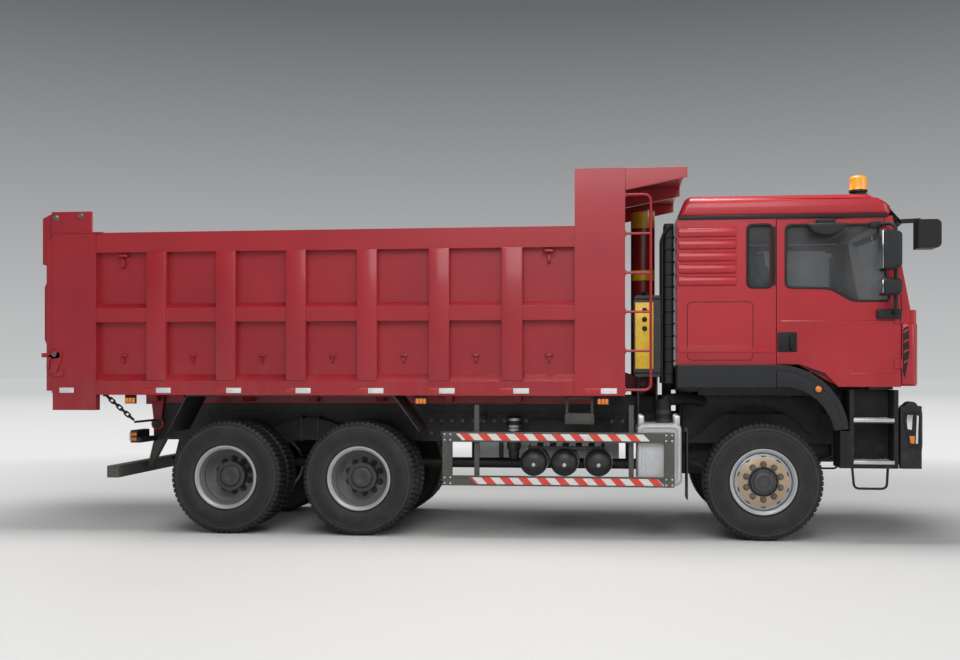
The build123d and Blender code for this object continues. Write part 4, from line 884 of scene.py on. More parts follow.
    @staticmethod
    def node_copy(node: str) -> Piece:
        """A merged copy of a CAD node's mesh, with its flat faces whole.

        Args:
            node: the node.

        Returns:
            The copy, which rides on nothing yet.
        """
        Bench.pick(frame["nodes"][node])
        bpy.ops.object.duplicate()
        made = bpy.context.object
        made.parent = None
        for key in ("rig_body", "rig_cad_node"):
            if key in made:
                del made[key]
        made.data.materials.clear()
        Bench.settle(made)
        Bench.pick(made, edit=True)
        bpy.ops.mesh.remove_doubles(threshold=Bench.node_weld)
        bpy.ops.mesh.dissolve_limited(angle_limit=math.radians(1.0))
        bpy.ops.object.mode_set(mode="OBJECT")
        return made


def upright(outline: Iterable[Flat], y: float, base: float = FRONT_X) -> list[Point]:
    """Sets an outline in X and Z up at a place across the truck; its X counts from an axle."""
    return [(base + x, y, z) for x, z in outline]


def body_of(node: str) -> str:
    """The body that a CAD node rides on."""
    return frame["nodes"][node]["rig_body"]


def dress(name: str, pieces: Sequence[Piece], finish: Finish, body: str, *nodes: str) -> Piece:
    """Joins pieces under one name, gives them their finish and body, and hides the nodes that they stand for.

    Args:
        name: the joined piece's name.
        pieces: the objects, which are used up.
        finish: the finish.
        body: the body's name.
        nodes: the CAD nodes that it replaces.

    Returns:
        The joined piece.
    """
    piece = Bench.join(pieces)
    piece.name = name
    piece.data.name = name
    piece.data.materials.clear()
    piece.data.materials.append(finish.material())
    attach(piece, body)
    if nodes:
        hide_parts(*nodes)
    LOG.info("%s rides on %s, %d faces", piece.name, body, len(piece.data.polygons))
    return piece


def dress_sides(name: str, pieces: Sequence[Piece], finish: Finish, body: str) -> None:
    """Dresses pieces made for the left, and their twin on the right.

    Args:
        name: the name, to which the side is added.
        pieces: the objects on the left, which are used up.
        finish: the finish.
        body: the body's name, with {side} where it names one.
    """
    left = Bench.join(pieces)
    for side, piece in ((Side.RIGHT, Bench.mirrored(left)), (Side.LEFT, left)):
        dress(f"{name}_{side.word}", [piece], finish, body.format(side=side.word))


RED = CoachPaint("red_coach_paint", "body_red")
BED_RED = CoachPaint("red_bed_paint", "body_red", colour=(0.3, 0.012, 0.02, 1.0), gloss=0.36)
BLACK = SatinPaint("black_chassis_paint", "chassis_black")
TANK_BLACK = SatinPaint(
    "black_tank_paint", "chassis_black", colour=(0.016, 0.017, 0.018, 1.0), gloss=0.36, dusty=0.25,
)
PLASTIC = GrainedPlastic("dark_grained_plastic", "dark_plastic")
TRIM_BLACK = GrainedPlastic(
    "black_trim_plastic", "dark_plastic", colour=(0.008, 0.008, 0.009, 1.0), gloss=0.46,
)
TYRE = Rubber("tyre_rubber", "tyre_rubber", dusty=0.1)
SEAL = Rubber("seal_rubber", "dark_plastic", dusty=0.06)
SILVER = Metal("silver_wheel_paint", "rim_silver", colour=(0.44, 0.45, 0.46, 1.0), gloss=0.34, metal=0.6)
HUB_GREY = SatinPaint(
    "grey_hub_paint", "rim_silver", colour=(0.045, 0.046, 0.05, 1.0), gloss=0.42, metal=0.3,
)
# Darker grey for the twin wheels' dishes and the barrels inside their lips: partly the dish's own grey, partly
# painted shade deep inside the wheels
DISH_GREY_AND_SHADE = Metal(
    "grey_wheel_dish", "rim_silver", colour=(0.2, 0.2, 0.202, 1.0), gloss=0.45, soil=0.5, metal=0.2,
)
BRONZE = Metal("bronze_wheel_plate", "rim_silver", colour=(0.45, 0.33, 0.21, 1.0), gloss=0.4, metal=0.5)
STEEL = Metal("worn_bare_steel", "bare_steel", colour=(0.2, 0.19, 0.18, 1.0), gloss=0.42, soil=0.5)
CHROME = Metal("bright_plate", "hoist_steel", colour=(0.78, 0.78, 0.8, 1.0), gloss=0.1, soil=0.1)
ALLOY = Metal("brushed_alloy", "tank_alloy", colour=(0.6, 0.61, 0.62, 1.0), gloss=0.3)
BOX_GREY = SatinPaint(
    "grey_heat_paint", "box_grey", colour=(0.42, 0.43, 0.44, 1.0), dust=(0.26, 0.24, 0.22, 1.0),
    gloss=0.4, dusty=0.3,
)
AMBER = Lens("amber_lens", "amber_lens", colour=(0.75, 0.2, 0.01, 1.0), glow=0.08)
BEACON = Lens("beacon_lens", "amber_lens", colour=(0.9, 0.38, 0.015, 1.0), glow=0.12)
RED_LENS = Lens("red_lens", "red_lens", colour=(0.45, 0.01, 0.008, 1.0))
CLEAR_LENS = Lens("clear_lens", "clear_lens", colour=(0.7, 0.72, 0.74, 1.0), ribs=40.0, glow=0.05)
GLASS = Pane("tinted_glass", "clear_glass")
LAMP_GLASS = Pane("lamp_glass", "clear_lens", colour=(0.5, 0.52, 0.54, 1.0), cover=0.16)
GUARD = SatinPaint("olive_guard_paint", "guard_paint", colour=(0.05, 0.05, 0.042, 1.0), gloss=0.5)
TAPE = Stripes("warning_tape", "guard_paint")
HOIST_PAINT = BandedPaint("banded_hoist_paint", "hoist_paint")
YELLOW = SatinPaint(
    "yellow_panel_paint", "hoist_paint", colour=(0.68, 0.4, 0.015, 1.0), dust=(0.3, 0.2, 0.1, 1.0),
    gloss=0.35, dusty=0.2,
)
WHITE_TAPE = SatinPaint(
    "white_reflector", "clear_lens", colour=(0.55, 0.56, 0.56, 1.0), dust=(0.3, 0.28, 0.26, 1.0),
    gloss=0.25, dusty=0.2,
)
RED_TAPE = SatinPaint(
    "red_reflector", "red_lens", colour=(0.26, 0.012, 0.012, 1.0), dust=(0.2, 0.08, 0.06, 1.0),
    gloss=0.25, dusty=0.2,
)
TRIM_GREY = GrainedPlastic(
    "grey_cab_trim", "trim_grey", colour=(0.075, 0.077, 0.08, 1.0), gloss=0.5, grain=380.0,
)
SEAT_CLOTH = Cloth("seat_cloth", "trim_grey")
FLAP_RUBBER = Rubber("flap_rubber", "dark_plastic", colour=(0.03, 0.024, 0.02, 1.0), dusty=0.3)
MIRROR = Metal("mirror_silvering", "clear_glass", colour=(0.75, 0.77, 0.79, 1.0), gloss=0.02, soil=0.03)


@dataclass
class PressedParts:
    """Nodes whose solids have the right shape: each gets rounded edges and its finish."""

    # Each node, its finish and the width of its rounded edges
    rows: tuple[tuple[str, Finish, float], ...] = (
        ("frame_rails", BLACK, 0.003), ("subframe", BLACK, 0.003), ("front_axle_beam", BLACK, 0.012),
        ("rear_axles", BLACK, 0.01), ("power_train", BLACK, 0.02), ("ducts", PLASTIC, 0.012),
        ("side_guards", GUARD, 0.004), ("rear_underrun", GUARD, 0.006), ("entry_steps", TRIM_BLACK, 0.012),
        ("front_fenders", PLASTIC, 0.014), ("oil_tank", TANK_BLACK, 0.012), ("cab_mounts", BLACK, 0.006),
        ("bed_floor", BED_RED, 0.003), ("bed_side_right", BED_RED, 0.007), ("bed_side_left", BED_RED, 0.007),
        ("bed_headboard", BED_RED, 0.005), ("bed_mudguards", BLACK, 0.003), ("tailgate", BED_RED, 0.007),
        ("hoist_base", CHROME, 0.003), ("hoist_stage_1", CHROME, 0.003), ("hoist_stage_2", CHROME, 0.003),
        ("hoist_cover", HOIST_PAINT, 0.005), ("cab_body", RED, 0.01), ("cab_roof", RED, 0.06),
        ("cab_front", RED, 0.014), ("cab_trim", TRIM_BLACK, 0.006), ("bumper", PLASTIC, 0.022),
        ("door_right", RED, 0.007), ("door_left", RED, 0.007), ("knuckle_right", BLACK, 0.006),
        ("knuckle_left", BLACK, 0.006), ("tie_rod", BLACK, 0.006), ("tail_lamps", BLACK, 0.006),
        ("tailgate_hooks", BED_RED, 0.004), ("fuel_tank", ALLOY, 0.012), ("exhaust_box", BOX_GREY, 0.035),
    )
    # The bent loops under the steps are made apart, from this height down
    step_foot: float = 0.7075
    panes: tuple[str, ...] = ("cab_glass", "door_glass_right", "door_glass_left")
    segments: int = 2
    broad_segments: int = 5

    def build(self) -> None:
        """Makes the skins and glazes the windows."""
        for node, finish, width in self.rows:
            skin = Bench.node_copy(node)
            if node == "entry_steps":
                Bench.cut_below(skin, self.step_foot)
            Bench.soften(skin, width, self.segments if width < Bench.broad else self.broad_segments)
            Bench.apply(skin, "WEIGHTED_NORMAL", keep_sharp=True)
            dress(f"{node}_skin", [skin], finish, body_of(node), node)
        for node in self.panes:
            glass = frame["nodes"][node]
            glass.data.materials.clear()
            glass.data.materials.append(GLASS.material())


@dataclass
class TyreMould:
    """One tyre about the Y axis at the origin: a ribbed carcass with shoulder lugs and middle blocks."""

    # Half of the carcass section: radii and distances from the middle plane
    wall: Outline = (
        (0.2898, 0.104), (0.302, 0.119), (0.32, 0.126), (0.324, 0.131), (0.331, 0.132), (0.336, 0.129),
        (0.37, 0.1395), (0.4, 0.1465), (0.4262, 0.15), (0.45, 0.1496), (0.47, 0.1475), (0.478, 0.1462),
        (0.481, 0.149), (0.489, 0.1486), (0.492, 0.1445), (0.512, 0.141), (0.515, 0.1425), (0.52, 0.142),
        (0.523, 0.138), (0.54, 0.127), (0.549, 0.108),
    )
    # The shoulder lug's section: distances from the middle plane and radii
    lug: Outline = (
        (0.068, 0.545), (0.068, 0.5612), (0.113, 0.56), (0.128, 0.551), (0.1385, 0.531), (0.136, 0.522),
        (0.12, 0.535),
    )
    lug_length: float = 0.039
    lug_count: int = 66
    # How far the two shoulders' lugs are moved apart, and of that, how far the blocks are
    stagger: float = 0.7
    block_stagger: float = 0.4
    block_span: Flat = (0.007, 0.06)
    block_length: float = 0.034
    block_slant: float = 0.016
    block_foot: float = 0.546
    tread_radius: float = 0.5622
    steps: int = 96

    def build(self) -> Piece:
        """Moulds the tyre.

        Returns:
            The pattern that every wheel copies.
        """
        section = [*self.wall, *((radius, -place) for radius, place in reversed(self.wall)), self.wall[0]]
        carcass = Bench.turned(section, ORIGIN, Axis.Y, self.steps, 40.0)
        return Bench.join([carcass, Bench.ring(Bench.join(self._pitch()), self.lug_count)])

    def _pitch(self) -> list[Piece]:
        """One pitch of the tread at the top of the tyre.

        Returns:
            Two shoulder lugs and two slanted blocks.
        """
        made = []
        half = self.lug_length / 2
        low, high = self.block_span
        for sign in (-1.0, 1.0):
            shift = half * sign * self.stagger
            outline = [(-half + shift, sign * place, radius) for place, radius in self.lug]
            made.append(Bench.prism(outline, (self.lug_length, 0.0, 0.0)))
            start = -self.block_length / 2 - shift * self.block_stagger
            end = self.block_length / 2 - shift * self.block_stagger
            slant = self.block_slant * sign
            corners = ((start, low), (end, low), (end + slant, high), (start + slant, high))
            outline = [(x, sign * y, self.block_foot) for x, y in corners]
            made.append(Bench.prism(outline, (0.0, 0.0, self.tread_radius - self.block_foot)))
        return made


@dataclass
class WheelNuts:
    """A circle of wheel nuts with washers and studs about the Y axis at the origin, facing +Y."""

    circle: float = 0.1675
    count: int = 10
    washer: Outline = ((0.0, 0.0), (0.032, 0.0), (0.032, 0.003), (0.029, 0.006), (0.0, 0.006))
    nut: Outline = ((0.0, 0.005), (0.0245, 0.005), (0.0245, 0.019), (0.0205, 0.0245), (0.0, 0.0245))
    stud: Outline = ((0.0, 0.024), (0.0115, 0.024), (0.0115, 0.037), (0.009, 0.04), (0.0, 0.04))

    def build(self, seat: float) -> Piece:
        """Makes the circle of nuts.

        Args:
            seat: the seat's place along Y.

        Returns:
            The joined nuts.
        """
        middle = (0.0, seat, self.circle)
        rows = ((self.washer, 18), (self.nut, 6), (self.stud, 12))
        parts = [Bench.turned(profile, middle, Axis.Y, steps) for profile, steps in rows]
        return Bench.ring(Bench.smooth(Bench.join(parts), 30.0), self.count)


@dataclass
class RimPatterns:
    """The parts of the rims about the Y axis at the origin, with the outer face towards +Y."""

    steps: int = 72
    # The band with its two lips, as radii and distances from the tyre's middle plane
    band: Outline = (
        (0.2895, -0.1), (0.298, -0.118), (0.313, -0.127), (0.317, -0.133), (0.314, -0.1385), (0.305, -0.14),
        (0.297, -0.137), (0.293, -0.128), (0.288, -0.122), (0.279, -0.112), (0.276, -0.07), (0.264, -0.045),
        (0.264, 0.03), (0.274, 0.05), (0.2765, 0.1), (0.281, 0.112), (0.283, 0.118), (0.289, 0.12),
        (0.292, 0.128), (0.297, 0.131), (0.299, 0.137), (0.306, 0.14), (0.314, 0.1385), (0.317, 0.133),
        (0.313, 0.127), (0.298, 0.118), (0.2895, 0.1), (0.2895, -0.1),
    )
    # Where the outer lip starts in the band
    lip_start: int = 14
    # The front wheel's dish, which carries the nut plate near the lip
    front_dish: Outline = (
        (0.278, 0.06), (0.278, 0.074), (0.27, 0.082), (0.266, 0.094), (0.258, 0.098), (0.25, 0.098),
        (0.247, 0.104), (0.24, 0.1075), (0.15, 0.1075), (0.15, 0.092), (0.24, 0.09), (0.258, 0.08),
        (0.266, 0.062), (0.278, 0.06),
    )
    nut_plate: Outline = (
        (0.142, 0.104), (0.142, 0.113), (0.1455, 0.116), (0.228, 0.116), (0.2325, 0.113), (0.2335, 0.104),
        (0.142, 0.104),
    )
    front_hub: Outline = (
        (0.051, -0.05), (0.14, -0.05), (0.14, 0.1), (0.128, 0.104), (0.122, 0.118), (0.118, 0.13),
        (0.1, 0.132), (0.097, 0.135), (0.095, 0.145), (0.088, 0.15), (0.055, 0.15), (0.05, 0.146),
        (0.03, 0.146), (0.0, 0.1465), (0.0, 0.135), (0.051, 0.122), (0.051, -0.05),
    )
    front_drum: Outline = (
        (0.06, -0.065), (0.2, -0.065), (0.205, -0.06), (0.205, -0.04), (0.2, -0.037), (0.2, 0.05),
        (0.19, 0.062), (0.06, 0.062), (0.06, -0.065),
    )
    # The twin wheels' deep dish, hub and drum, as radii and distances from the twins' middle plane
    twin_dish: Outline = (
        (0.2785, 0.1), (0.2785, 0.072), (0.245, 0.035), (0.215, 0.008), (0.2, 0.0005), (0.126, 0.0005),
        (0.126, 0.016), (0.205, 0.016), (0.226, 0.028), (0.252, 0.058), (0.266, 0.09), (0.2785, 0.1),
    )
    twin_hub: Outline = (
        (0.051, 0.012), (0.142, 0.012), (0.142, 0.03), (0.132, 0.036), (0.124, 0.098), (0.126, 0.12),
        (0.146, 0.122), (0.148, 0.125), (0.148, 0.14), (0.144, 0.144), (0.112, 0.146), (0.106, 0.152),
        (0.098, 0.163), (0.088, 0.168), (0.045, 0.169), (0.04, 0.1655), (0.0, 0.166), (0.0, 0.155),
        (0.051, 0.14), (0.051, 0.012),
    )
    twin_drum: Outline = (
        (0.06, -0.252), (0.2, -0.252), (0.205, -0.247), (0.205, -0.22), (0.2, -0.216), (0.2, -0.02),
        (0.19, -0.004), (0.06, -0.004), (0.06, -0.252),
    )
    twin_half: float = 0.168
    # The hexagon heads on a hub's flange, and for each hub their circle and seat
    bolt: Outline = ((0.0, -0.002), (0.0095, -0.002), (0.0095, 0.006), (0.0075, 0.008), (0.0, 0.008))
    front_bolts: Flat = (0.109, 0.131)
    twin_bolts: Flat = (0.136, 0.1425)
    # Dark capsules that paint the shade inside the front dish's hand holes: their half length and radius, place
    # along Y and circle
    hole: Flat = (0.022, 0.0075)
    hole_place: Flat = (0.104, 0.2415)
    # Bolts and the painted shade of the holes alike
    count: int = 10
    front_seat: float = 0.1155
    twin_seat: float = 0.0155

    def lathe(self, profile: Sequence[Flat]) -> Piece:
        """Turns one of the sections."""
        return Bench.turned(profile, ORIGIN, Axis.Y, self.steps, 38.0)

    def flange_bolts(self, circle: float, seat: float) -> Piece:
        """Small hexagon heads round a hub's flange."""
        return Bench.ring(Bench.turned(self.bolt, (0.0, seat, circle), Axis.Y, 6), self.count)

    def front(self) -> dict[str, tuple[Finish, Piece]]:
        """The front wheel's parts.

        Returns:
            Each part's finish and pattern, by the last word of its name.
        """
        # Dark capsules ringed on the dish paint the shade inside its hand holes; they are joined to the hub
        half, radius = self.hole
        hole = Bench.tube([(-half, *self.hole_place), (half, *self.hole_place)], radius)
        hub = [self.lathe(self.front_hub), self.flange_bolts(*self.front_bolts), self.lathe(self.front_drum)]
        return {
            "rim": (SILVER, Bench.join([self.lathe(self.band), self.lathe(self.front_dish)])),
            "plate": (BRONZE, self.lathe(self.nut_plate)),
            "hub": (HUB_GREY, Bench.join([*hub, Bench.ring(hole, self.count)])),
            "nuts": (STEEL, WheelNuts().build(self.front_seat)),
        }

    def twin(self) -> dict[str, tuple[Finish, Piece]]:
        """The twin wheels' parts.

        Returns:
            Each part's finish and pattern, by the last word of its name.
        """
        start = self.lip_start
        # The barrel inside the outer lip is cut from the silver and joined with the dishes in the darker grey,
        # as painted shade inside the twin wheels
        lip = [*self.band[start:-1], self.band[start]]
        barrel = [*self.band[:start + 1], *self.band[-2:]]
        shift = [(0.0, self.twin_half, 0.0)]
        dishes = Bench.pair(self.lathe(self.twin_dish))
        dishes.extend(Bench.pair(Bench.row(self.lathe(barrel), shift)))
        hub = [self.lathe(self.twin_hub), self.flange_bolts(*self.twin_bolts), self.lathe(self.twin_drum)]
        return {
            "rims": (SILVER, Bench.join(Bench.pair(Bench.row(self.lathe(lip), shift)))),
            "dishes": (DISH_GREY_AND_SHADE, Bench.join(dishes)),
            "hub": (HUB_GREY, Bench.join(hub)),
            "nuts": (TANK_BLACK, WheelNuts().build(self.twin_seat)),
        }


@dataclass
class RunningGear:
    """All six wheel sets, each riding on its own body."""

    front_y: float = 1.01
    twin_y: float = 0.915
    twin_half: float = 0.168
    # Each axle's name, the ending of its nodes' and bodies' words, and its place along X
    axles: tuple[tuple[str, str, float], ...] = (
        ("front", "", FRONT_X), ("middle", "s", MIDDLE_X), ("rear", "s", REAR_X),
    )

    def build(self) -> None:
        """Makes the patterns once and copies them to every hub."""
        tyre = TyreMould().build()
        rims = {"": RimPatterns().front(), "s": RimPatterns().twin()}
        for axle, ending, x in self.axles:
            for side in Side:
                self._wheel(tyre, rims[ending], f"{axle}_{{}}{ending}_{side.word}", x, side)
        Bench.discard(tyre)
        for parts in rims.values():
            for _, pattern in parts.values():
                Bench.discard(pattern)

    def _wheel(self, tyre: Piece, rims: dict[str, tuple[Finish, Piece]], name: str, x: float,
               side: Side) -> None:
        """Copies the tyre and the rim's parts to one wheel set.

        Args:
            tyre: the tyre's pattern.
            rims: the rim's patterns, facing +Y.
            name: the set's names, with braces for the word.
            x: the axle's place along X.
            side: the truck's side.
        """
        body, tyre_node, rim_node = (name.format(word) for word in ("wheel", "tyre", "rim"))
        single = "rim" in rims
        middle = self.front_y if single else self.twin_y
        offsets = (0.0,) if single else (-self.twin_half, self.twin_half)
        tyres = [Bench.copy(tyre, (x, side.value * (middle + offset), AXLE_Z)) for offset in offsets]
        dress(f"{tyre_node}_moulded", tyres, TYRE, body, tyre_node)
        for word, (finish, pattern) in rims.items():
            made = Bench.copy(pattern) if side is Side.LEFT else Bench.mirrored(pattern)
            made.data.transform(Matrix.Translation((x, side.value * middle, AXLE_Z)))
            nodes = (rim_node,) if finish is SILVER else ()
            dress(f"{rim_node}_{word}", [made], finish, body, *nodes)


@dataclass
class BedFittings:
    """What hangs on the bed: rope hooks, reflectors, marker lamps, the ladder, bolts and pull chains."""

    tail_x: float = REAR_X - 1.79
    nose_x: float = REAR_X + 3.945
    panel_y: float = 1.16
    rail_y: float = 1.24
    outer_y: float = 1.25
    rail_bottom: float = 1.38
    recess_x: tuple[float, ...] = (-1.07, -0.3455, 0.3675, 1.0805, 1.7935, 2.5065, 3.215)
    # A hook's loop, tail and pad as shares of its height, and each size of hook with its place up the wall
    hook_loop: tuple[Point, ...] = (
        (-0.3, 0.0, 0.25), (-0.3, 0.42, 0.25), (0.3, 0.42, 0.25), (0.3, 0.0, 0.25),
    )
    hook_tail: tuple[Point, ...] = ((0.0, 0.0, 0.1), (0.0, 0.3, 0.0), (0.0, 0.34, -0.45), (0.0, 0.0, -0.5))
    hook_bar: float = 0.09
    hook_bends: Flat = (0.14, 0.12)
    small_hook: Flat = (0.095, 1.75)
    large_hook: Flat = (0.15, 2.74)
    reflector_x: tuple[float, ...] = (-1.718, -0.708, 0.016, 0.721, 1.45, 2.151, 2.874, 3.715)
    reflector_size: Flat = (0.152, 0.052)
    reflector_gap: float = 0.004
    reflector_z: float = 1.4
    # How far the corner posts reach in from the bed's two ends
    post_length: Flat = (0.455, 0.48)
    marker_x: tuple[float, ...] = (-0.985, 1.969, 3.735)
    marker_z: Flat = (1.298, 1.35)
    marker_pitch: float = 0.035
    ladder_x: float = REAR_X + 4.188
    ladder_y: float = -1.22
    ladder_z: Flat = (1.437, 3.305)
    ladder_foot: Outline = ((0.0, 0.0), (0.03, 0.0), (0.03, 0.006), (0.018, 0.01), (0.0, 0.01))
    rungs: int = 6
    pivot_z: float = 3.165
    bolt: Outline = (
        (0.0, 0.0), (0.034, 0.0), (0.034, 0.006), (0.026, 0.008), (0.026, 0.02), (0.022, 0.024), (0.0, 0.024),
    )
    stake_half: float = 0.1
    stake_z: Flat = (1.525, 2.812)
    cap_x: Flat = (REAR_X - 1.8, REAR_X - 1.268)
    cap_z: Flat = (3.006, 3.018)
    # The claw's tongue, head, shank and toe, and its bolt
    claw: tuple[Outline, ...] = (
        ((-1.9, 1.757), (-1.79, 1.757), (-1.79, 1.805), (-1.9, 1.8)),
        ((-1.805, 1.735), (-1.685, 1.735), (-1.69, 1.834), (-1.8, 1.838)),
        ((-1.805, 1.6), (-1.745, 1.6), (-1.715, 1.68), (-1.69, 1.74), (-1.805, 1.74)),
        ((-1.8, 1.6), (-1.766, 1.565), (-1.67, 1.57), (-1.67, 1.625), (-1.74, 1.61)),
    )
    claw_bolt: Outline = ((0.0, 0.0), (0.03, 0.0), (0.03, 0.005), (0.02, 0.007), (0.02, 0.018), (0.0, 0.018))
    top_z: Flat = (3.544, 3.556)
    seal_z: Flat = (1.398, 1.418)
    chain_start: Point = (REAR_X - 1.335, 1.0, 1.37)
    chain_end: Point = (REAR_X - 1.02, 1.0, 1.1)
    link_pitch: float = 0.054
    link_reach: float = 0.035
    link_half: float = 0.019
    link_bar: float = 0.0085

    def build(self) -> None:
        """Makes every fitting."""
        self._hooks()
        self._reflectors()
        self._markers()
        self._stakes()
        self._latch()
        self._ladder()
        self._chains()
        self._strips()

    def _hook(self, size: float) -> Piece:
        """A bent rope hook on its pad, at the origin of a wall that faces +Y.

        Args:
            size: the hook's height.

        Returns:
            The hook.
        """
        parts = []
        for path, bend in zip((self.hook_loop, self.hook_tail), self.hook_bends):
            points = [tuple(share * size for share in point) for point in path]
            parts.append(Bench.tube(points, self.hook_bar * size, bend * size))
        low, high = (-0.42 * size, -0.002, -0.1 * size), (0.42 * size, 0.006, 0.36 * size)
        return Bench.join([*parts, Bench.block(low, high, 0.003)])

    def _hooks(self) -> None:
        """Small hooks in the lower recesses and two large ones in the end recesses."""
        rows = ((self.small_hook, self.recess_x), (self.large_hook, (self.recess_x[0], self.recess_x[-1])))
        made = []
        for (size, z), places in rows:
            made.append(Bench.row(self._hook(size), [(REAR_X + x, self.panel_y, z) for x in places]))
        dress_sides("rope_hooks", made, BED_RED, "bed")

    def _reflectors(self) -> None:
        """White reflectors along the lower rail, each with a red one behind it."""
        length, height = self.reflector_size
        tapes = (("white", WHITE_TAPE, 0.0), ("red", RED_TAPE, -length - self.reflector_gap))
        for word, finish, offset in tapes:
            low = (offset, self.rail_y - 0.002, self.reflector_z)
            high = (offset + length, self.rail_y + 0.002, self.reflector_z + height)
            starts = [REAR_X + x for x in self.reflector_x if REAR_X + x + offset > self.tail_x]
            shifts = [(x, self._proud(x), 0.0) for x in starts]
            strips = Bench.row(Bench.block(low, high, 0.0015), shifts)
            dress_sides(f"{word}_reflectors", [strips], finish, "bed")

    def _proud(self, x: float) -> float:
        """How far a corner post stands proud of the rail at a place along X, or nothing between the posts."""
        on_post = x < self.tail_x + self.post_length[0] or x > self.nose_x - self.post_length[1]
        return self.outer_y - self.rail_y if on_post else 0.0

    def _markers(self) -> None:
        """Amber marker lamps of three chambers on plates under the lower rail."""
        low, high = self.marker_z
        plate = Bench.block((-0.06, 1.2, low - 0.006), (0.06, 1.212, self.rail_bottom + 0.004), 0.003)
        chamber = Bench.block((-0.016, 1.211, low), (0.016, 1.24, high), 0.007, 3)
        lens = Bench.row(chamber, [(step * self.marker_pitch, 0.0, 0.0) for step in (-1, 0, 1)])
        shifts = [(REAR_X + x, 0.0, 0.0) for x in self.marker_x]
        dress_sides("marker_plates", [Bench.row(plate, shifts)], TRIM_BLACK, "bed")
        dress_sides("marker_lamps", [Bench.row(lens, shifts)], AMBER, "bed")

    def _stakes(self) -> None:
        """The stakes' proud outer channels, the caps of the rear posts and the tail bracket's bolt heads."""
        low, high = self.stake_z
        half = self.stake_half
        channel = Bench.block((-half, self.rail_y - 0.004, low), (half, self.outer_y + 0.002, high), 0.006, 3)
        middles = [(a + b) / 2 for a, b in zip(self.recess_x, self.recess_x[1:])]
        stakes = Bench.row(channel, [(REAR_X + x, 0.0, 0.0) for x in middles])
        (x0, x1), (z0, z1) = self.cap_x, self.cap_z
        cap = Bench.block((x0, self.panel_y, z0), (x1, self.outer_y + 0.012, z1), 0.003)
        dress_sides("bed_stakes", [stakes, cap], BED_RED, "bed")
        bolt = Bench.turned(self.bolt, (0.0, self.outer_y, 0.0), Axis.Y, 6)
        places = [(REAR_X - 1.75, 0.0, self.pivot_z), (REAR_X - 1.489, 0.0, self.pivot_z + 0.012)]
        dress_sides("bracket_bolts", [Bench.row(bolt, places)], STEEL, "bed")

    def _latch(self) -> None:
        """The tailgate's claw: a hooked plate on the rear post, with its pivot bolt."""
        y = self.outer_y - 0.002
        parts = [Bench.prism(upright(outline, y, REAR_X), (0.0, 0.022, 0.0), 0.004) for outline in self.claw]
        dress_sides("tailgate_claw", parts, BED_RED, "bed")
        pivot = Bench.turned(self.claw_bolt, (REAR_X - 1.766, y + 0.02, 1.79), Axis.Y, 6)
        dress_sides("claw_bolt", [pivot], STEEL, "bed")

    def _ladder(self) -> None:
        """The bent tube ladder ahead of the headboard, with round feet on the post."""
        low, high = self.ladder_z
        back, front, y = self.nose_x, self.ladder_x, self.ladder_y
        hoop = [(back, y, low), (front, y, low), (front, y, high), (back, y, high)]
        parts = [Bench.tube(hoop, 0.014, 0.07)]
        for step in range(self.rungs):
            z = low + (high - low) * step / (self.rungs - 1)
            parts.append(Bench.turned(self.ladder_foot, (back, y, z), Axis.X, 20))
            if 0 < step < self.rungs - 1:
                parts.append(Bench.tube([(back, y, z), (front, y, z)], 0.0125))
        dress("ladder_tubes", parts, BED_RED, "bed", "bed_ladder")

    def _strips(self) -> None:
        """The plate over the headboard's ribs, and the rubber that the tailgate shuts on."""
        low, high = self.top_z
        plate = Bench.block(
            (self.nose_x - 0.085, -self.panel_y, low), (self.nose_x + 0.012, self.panel_y, high), 0.003,
        )
        dress("headboard_top", [plate], BED_RED, "bed")
        low, high = self.seal_z
        half = self.panel_y - 0.01
        strip = Bench.block((self.tail_x - 0.06, -half, low), (self.tail_x, half, high), 0.003)
        dress("tail_seal", [strip], FLAP_RUBBER, "bed")

    def _chains(self) -> None:
        """The tail chains as round links, each turned a quarter from the one before, with their anchors."""
        start, end = Vector(self.chain_start), Vector(self.chain_end)
        way = (end - start).normalized()
        slope = math.atan2(way.z, way.x)
        half, straight = self.link_half, self.link_reach - self.link_half
        count = 16
        turns = [FULL_TURN * (step + 0.5) / count for step in range(count)]
        oval = [
            (math.cos(turn) * half + math.copysign(straight, math.cos(turn)), math.sin(turn) * half, 0.0)
            for turn in turns
        ]
        parts = []
        for step in range(int((end - start).length / self.link_pitch)):
            link = Bench.tube(oval, self.link_bar, closed=True)
            if step % 2:
                Bench.turn(link, math.pi / 2, Axis.X)
            Bench.turn(link, -slope, Axis.Y)
            parts.append(Bench.row(link, [tuple(start + way * self.link_pitch * (step + 0.5))]))
        low, high = start - Vector((0.03, 0.02, 0.01)), start + Vector((0.02, 0.02, 0.02))
        parts.append(Bench.block(tuple(low), tuple(high), 0.005))
        parts.append(Bench.tube([(end.x, 0.5, end.z), (end.x, end.y + 0.02, end.z)], 0.012))
        dress("tail_chain_links", Bench.pair(*parts), BLACK, "bed", "pull_chains")


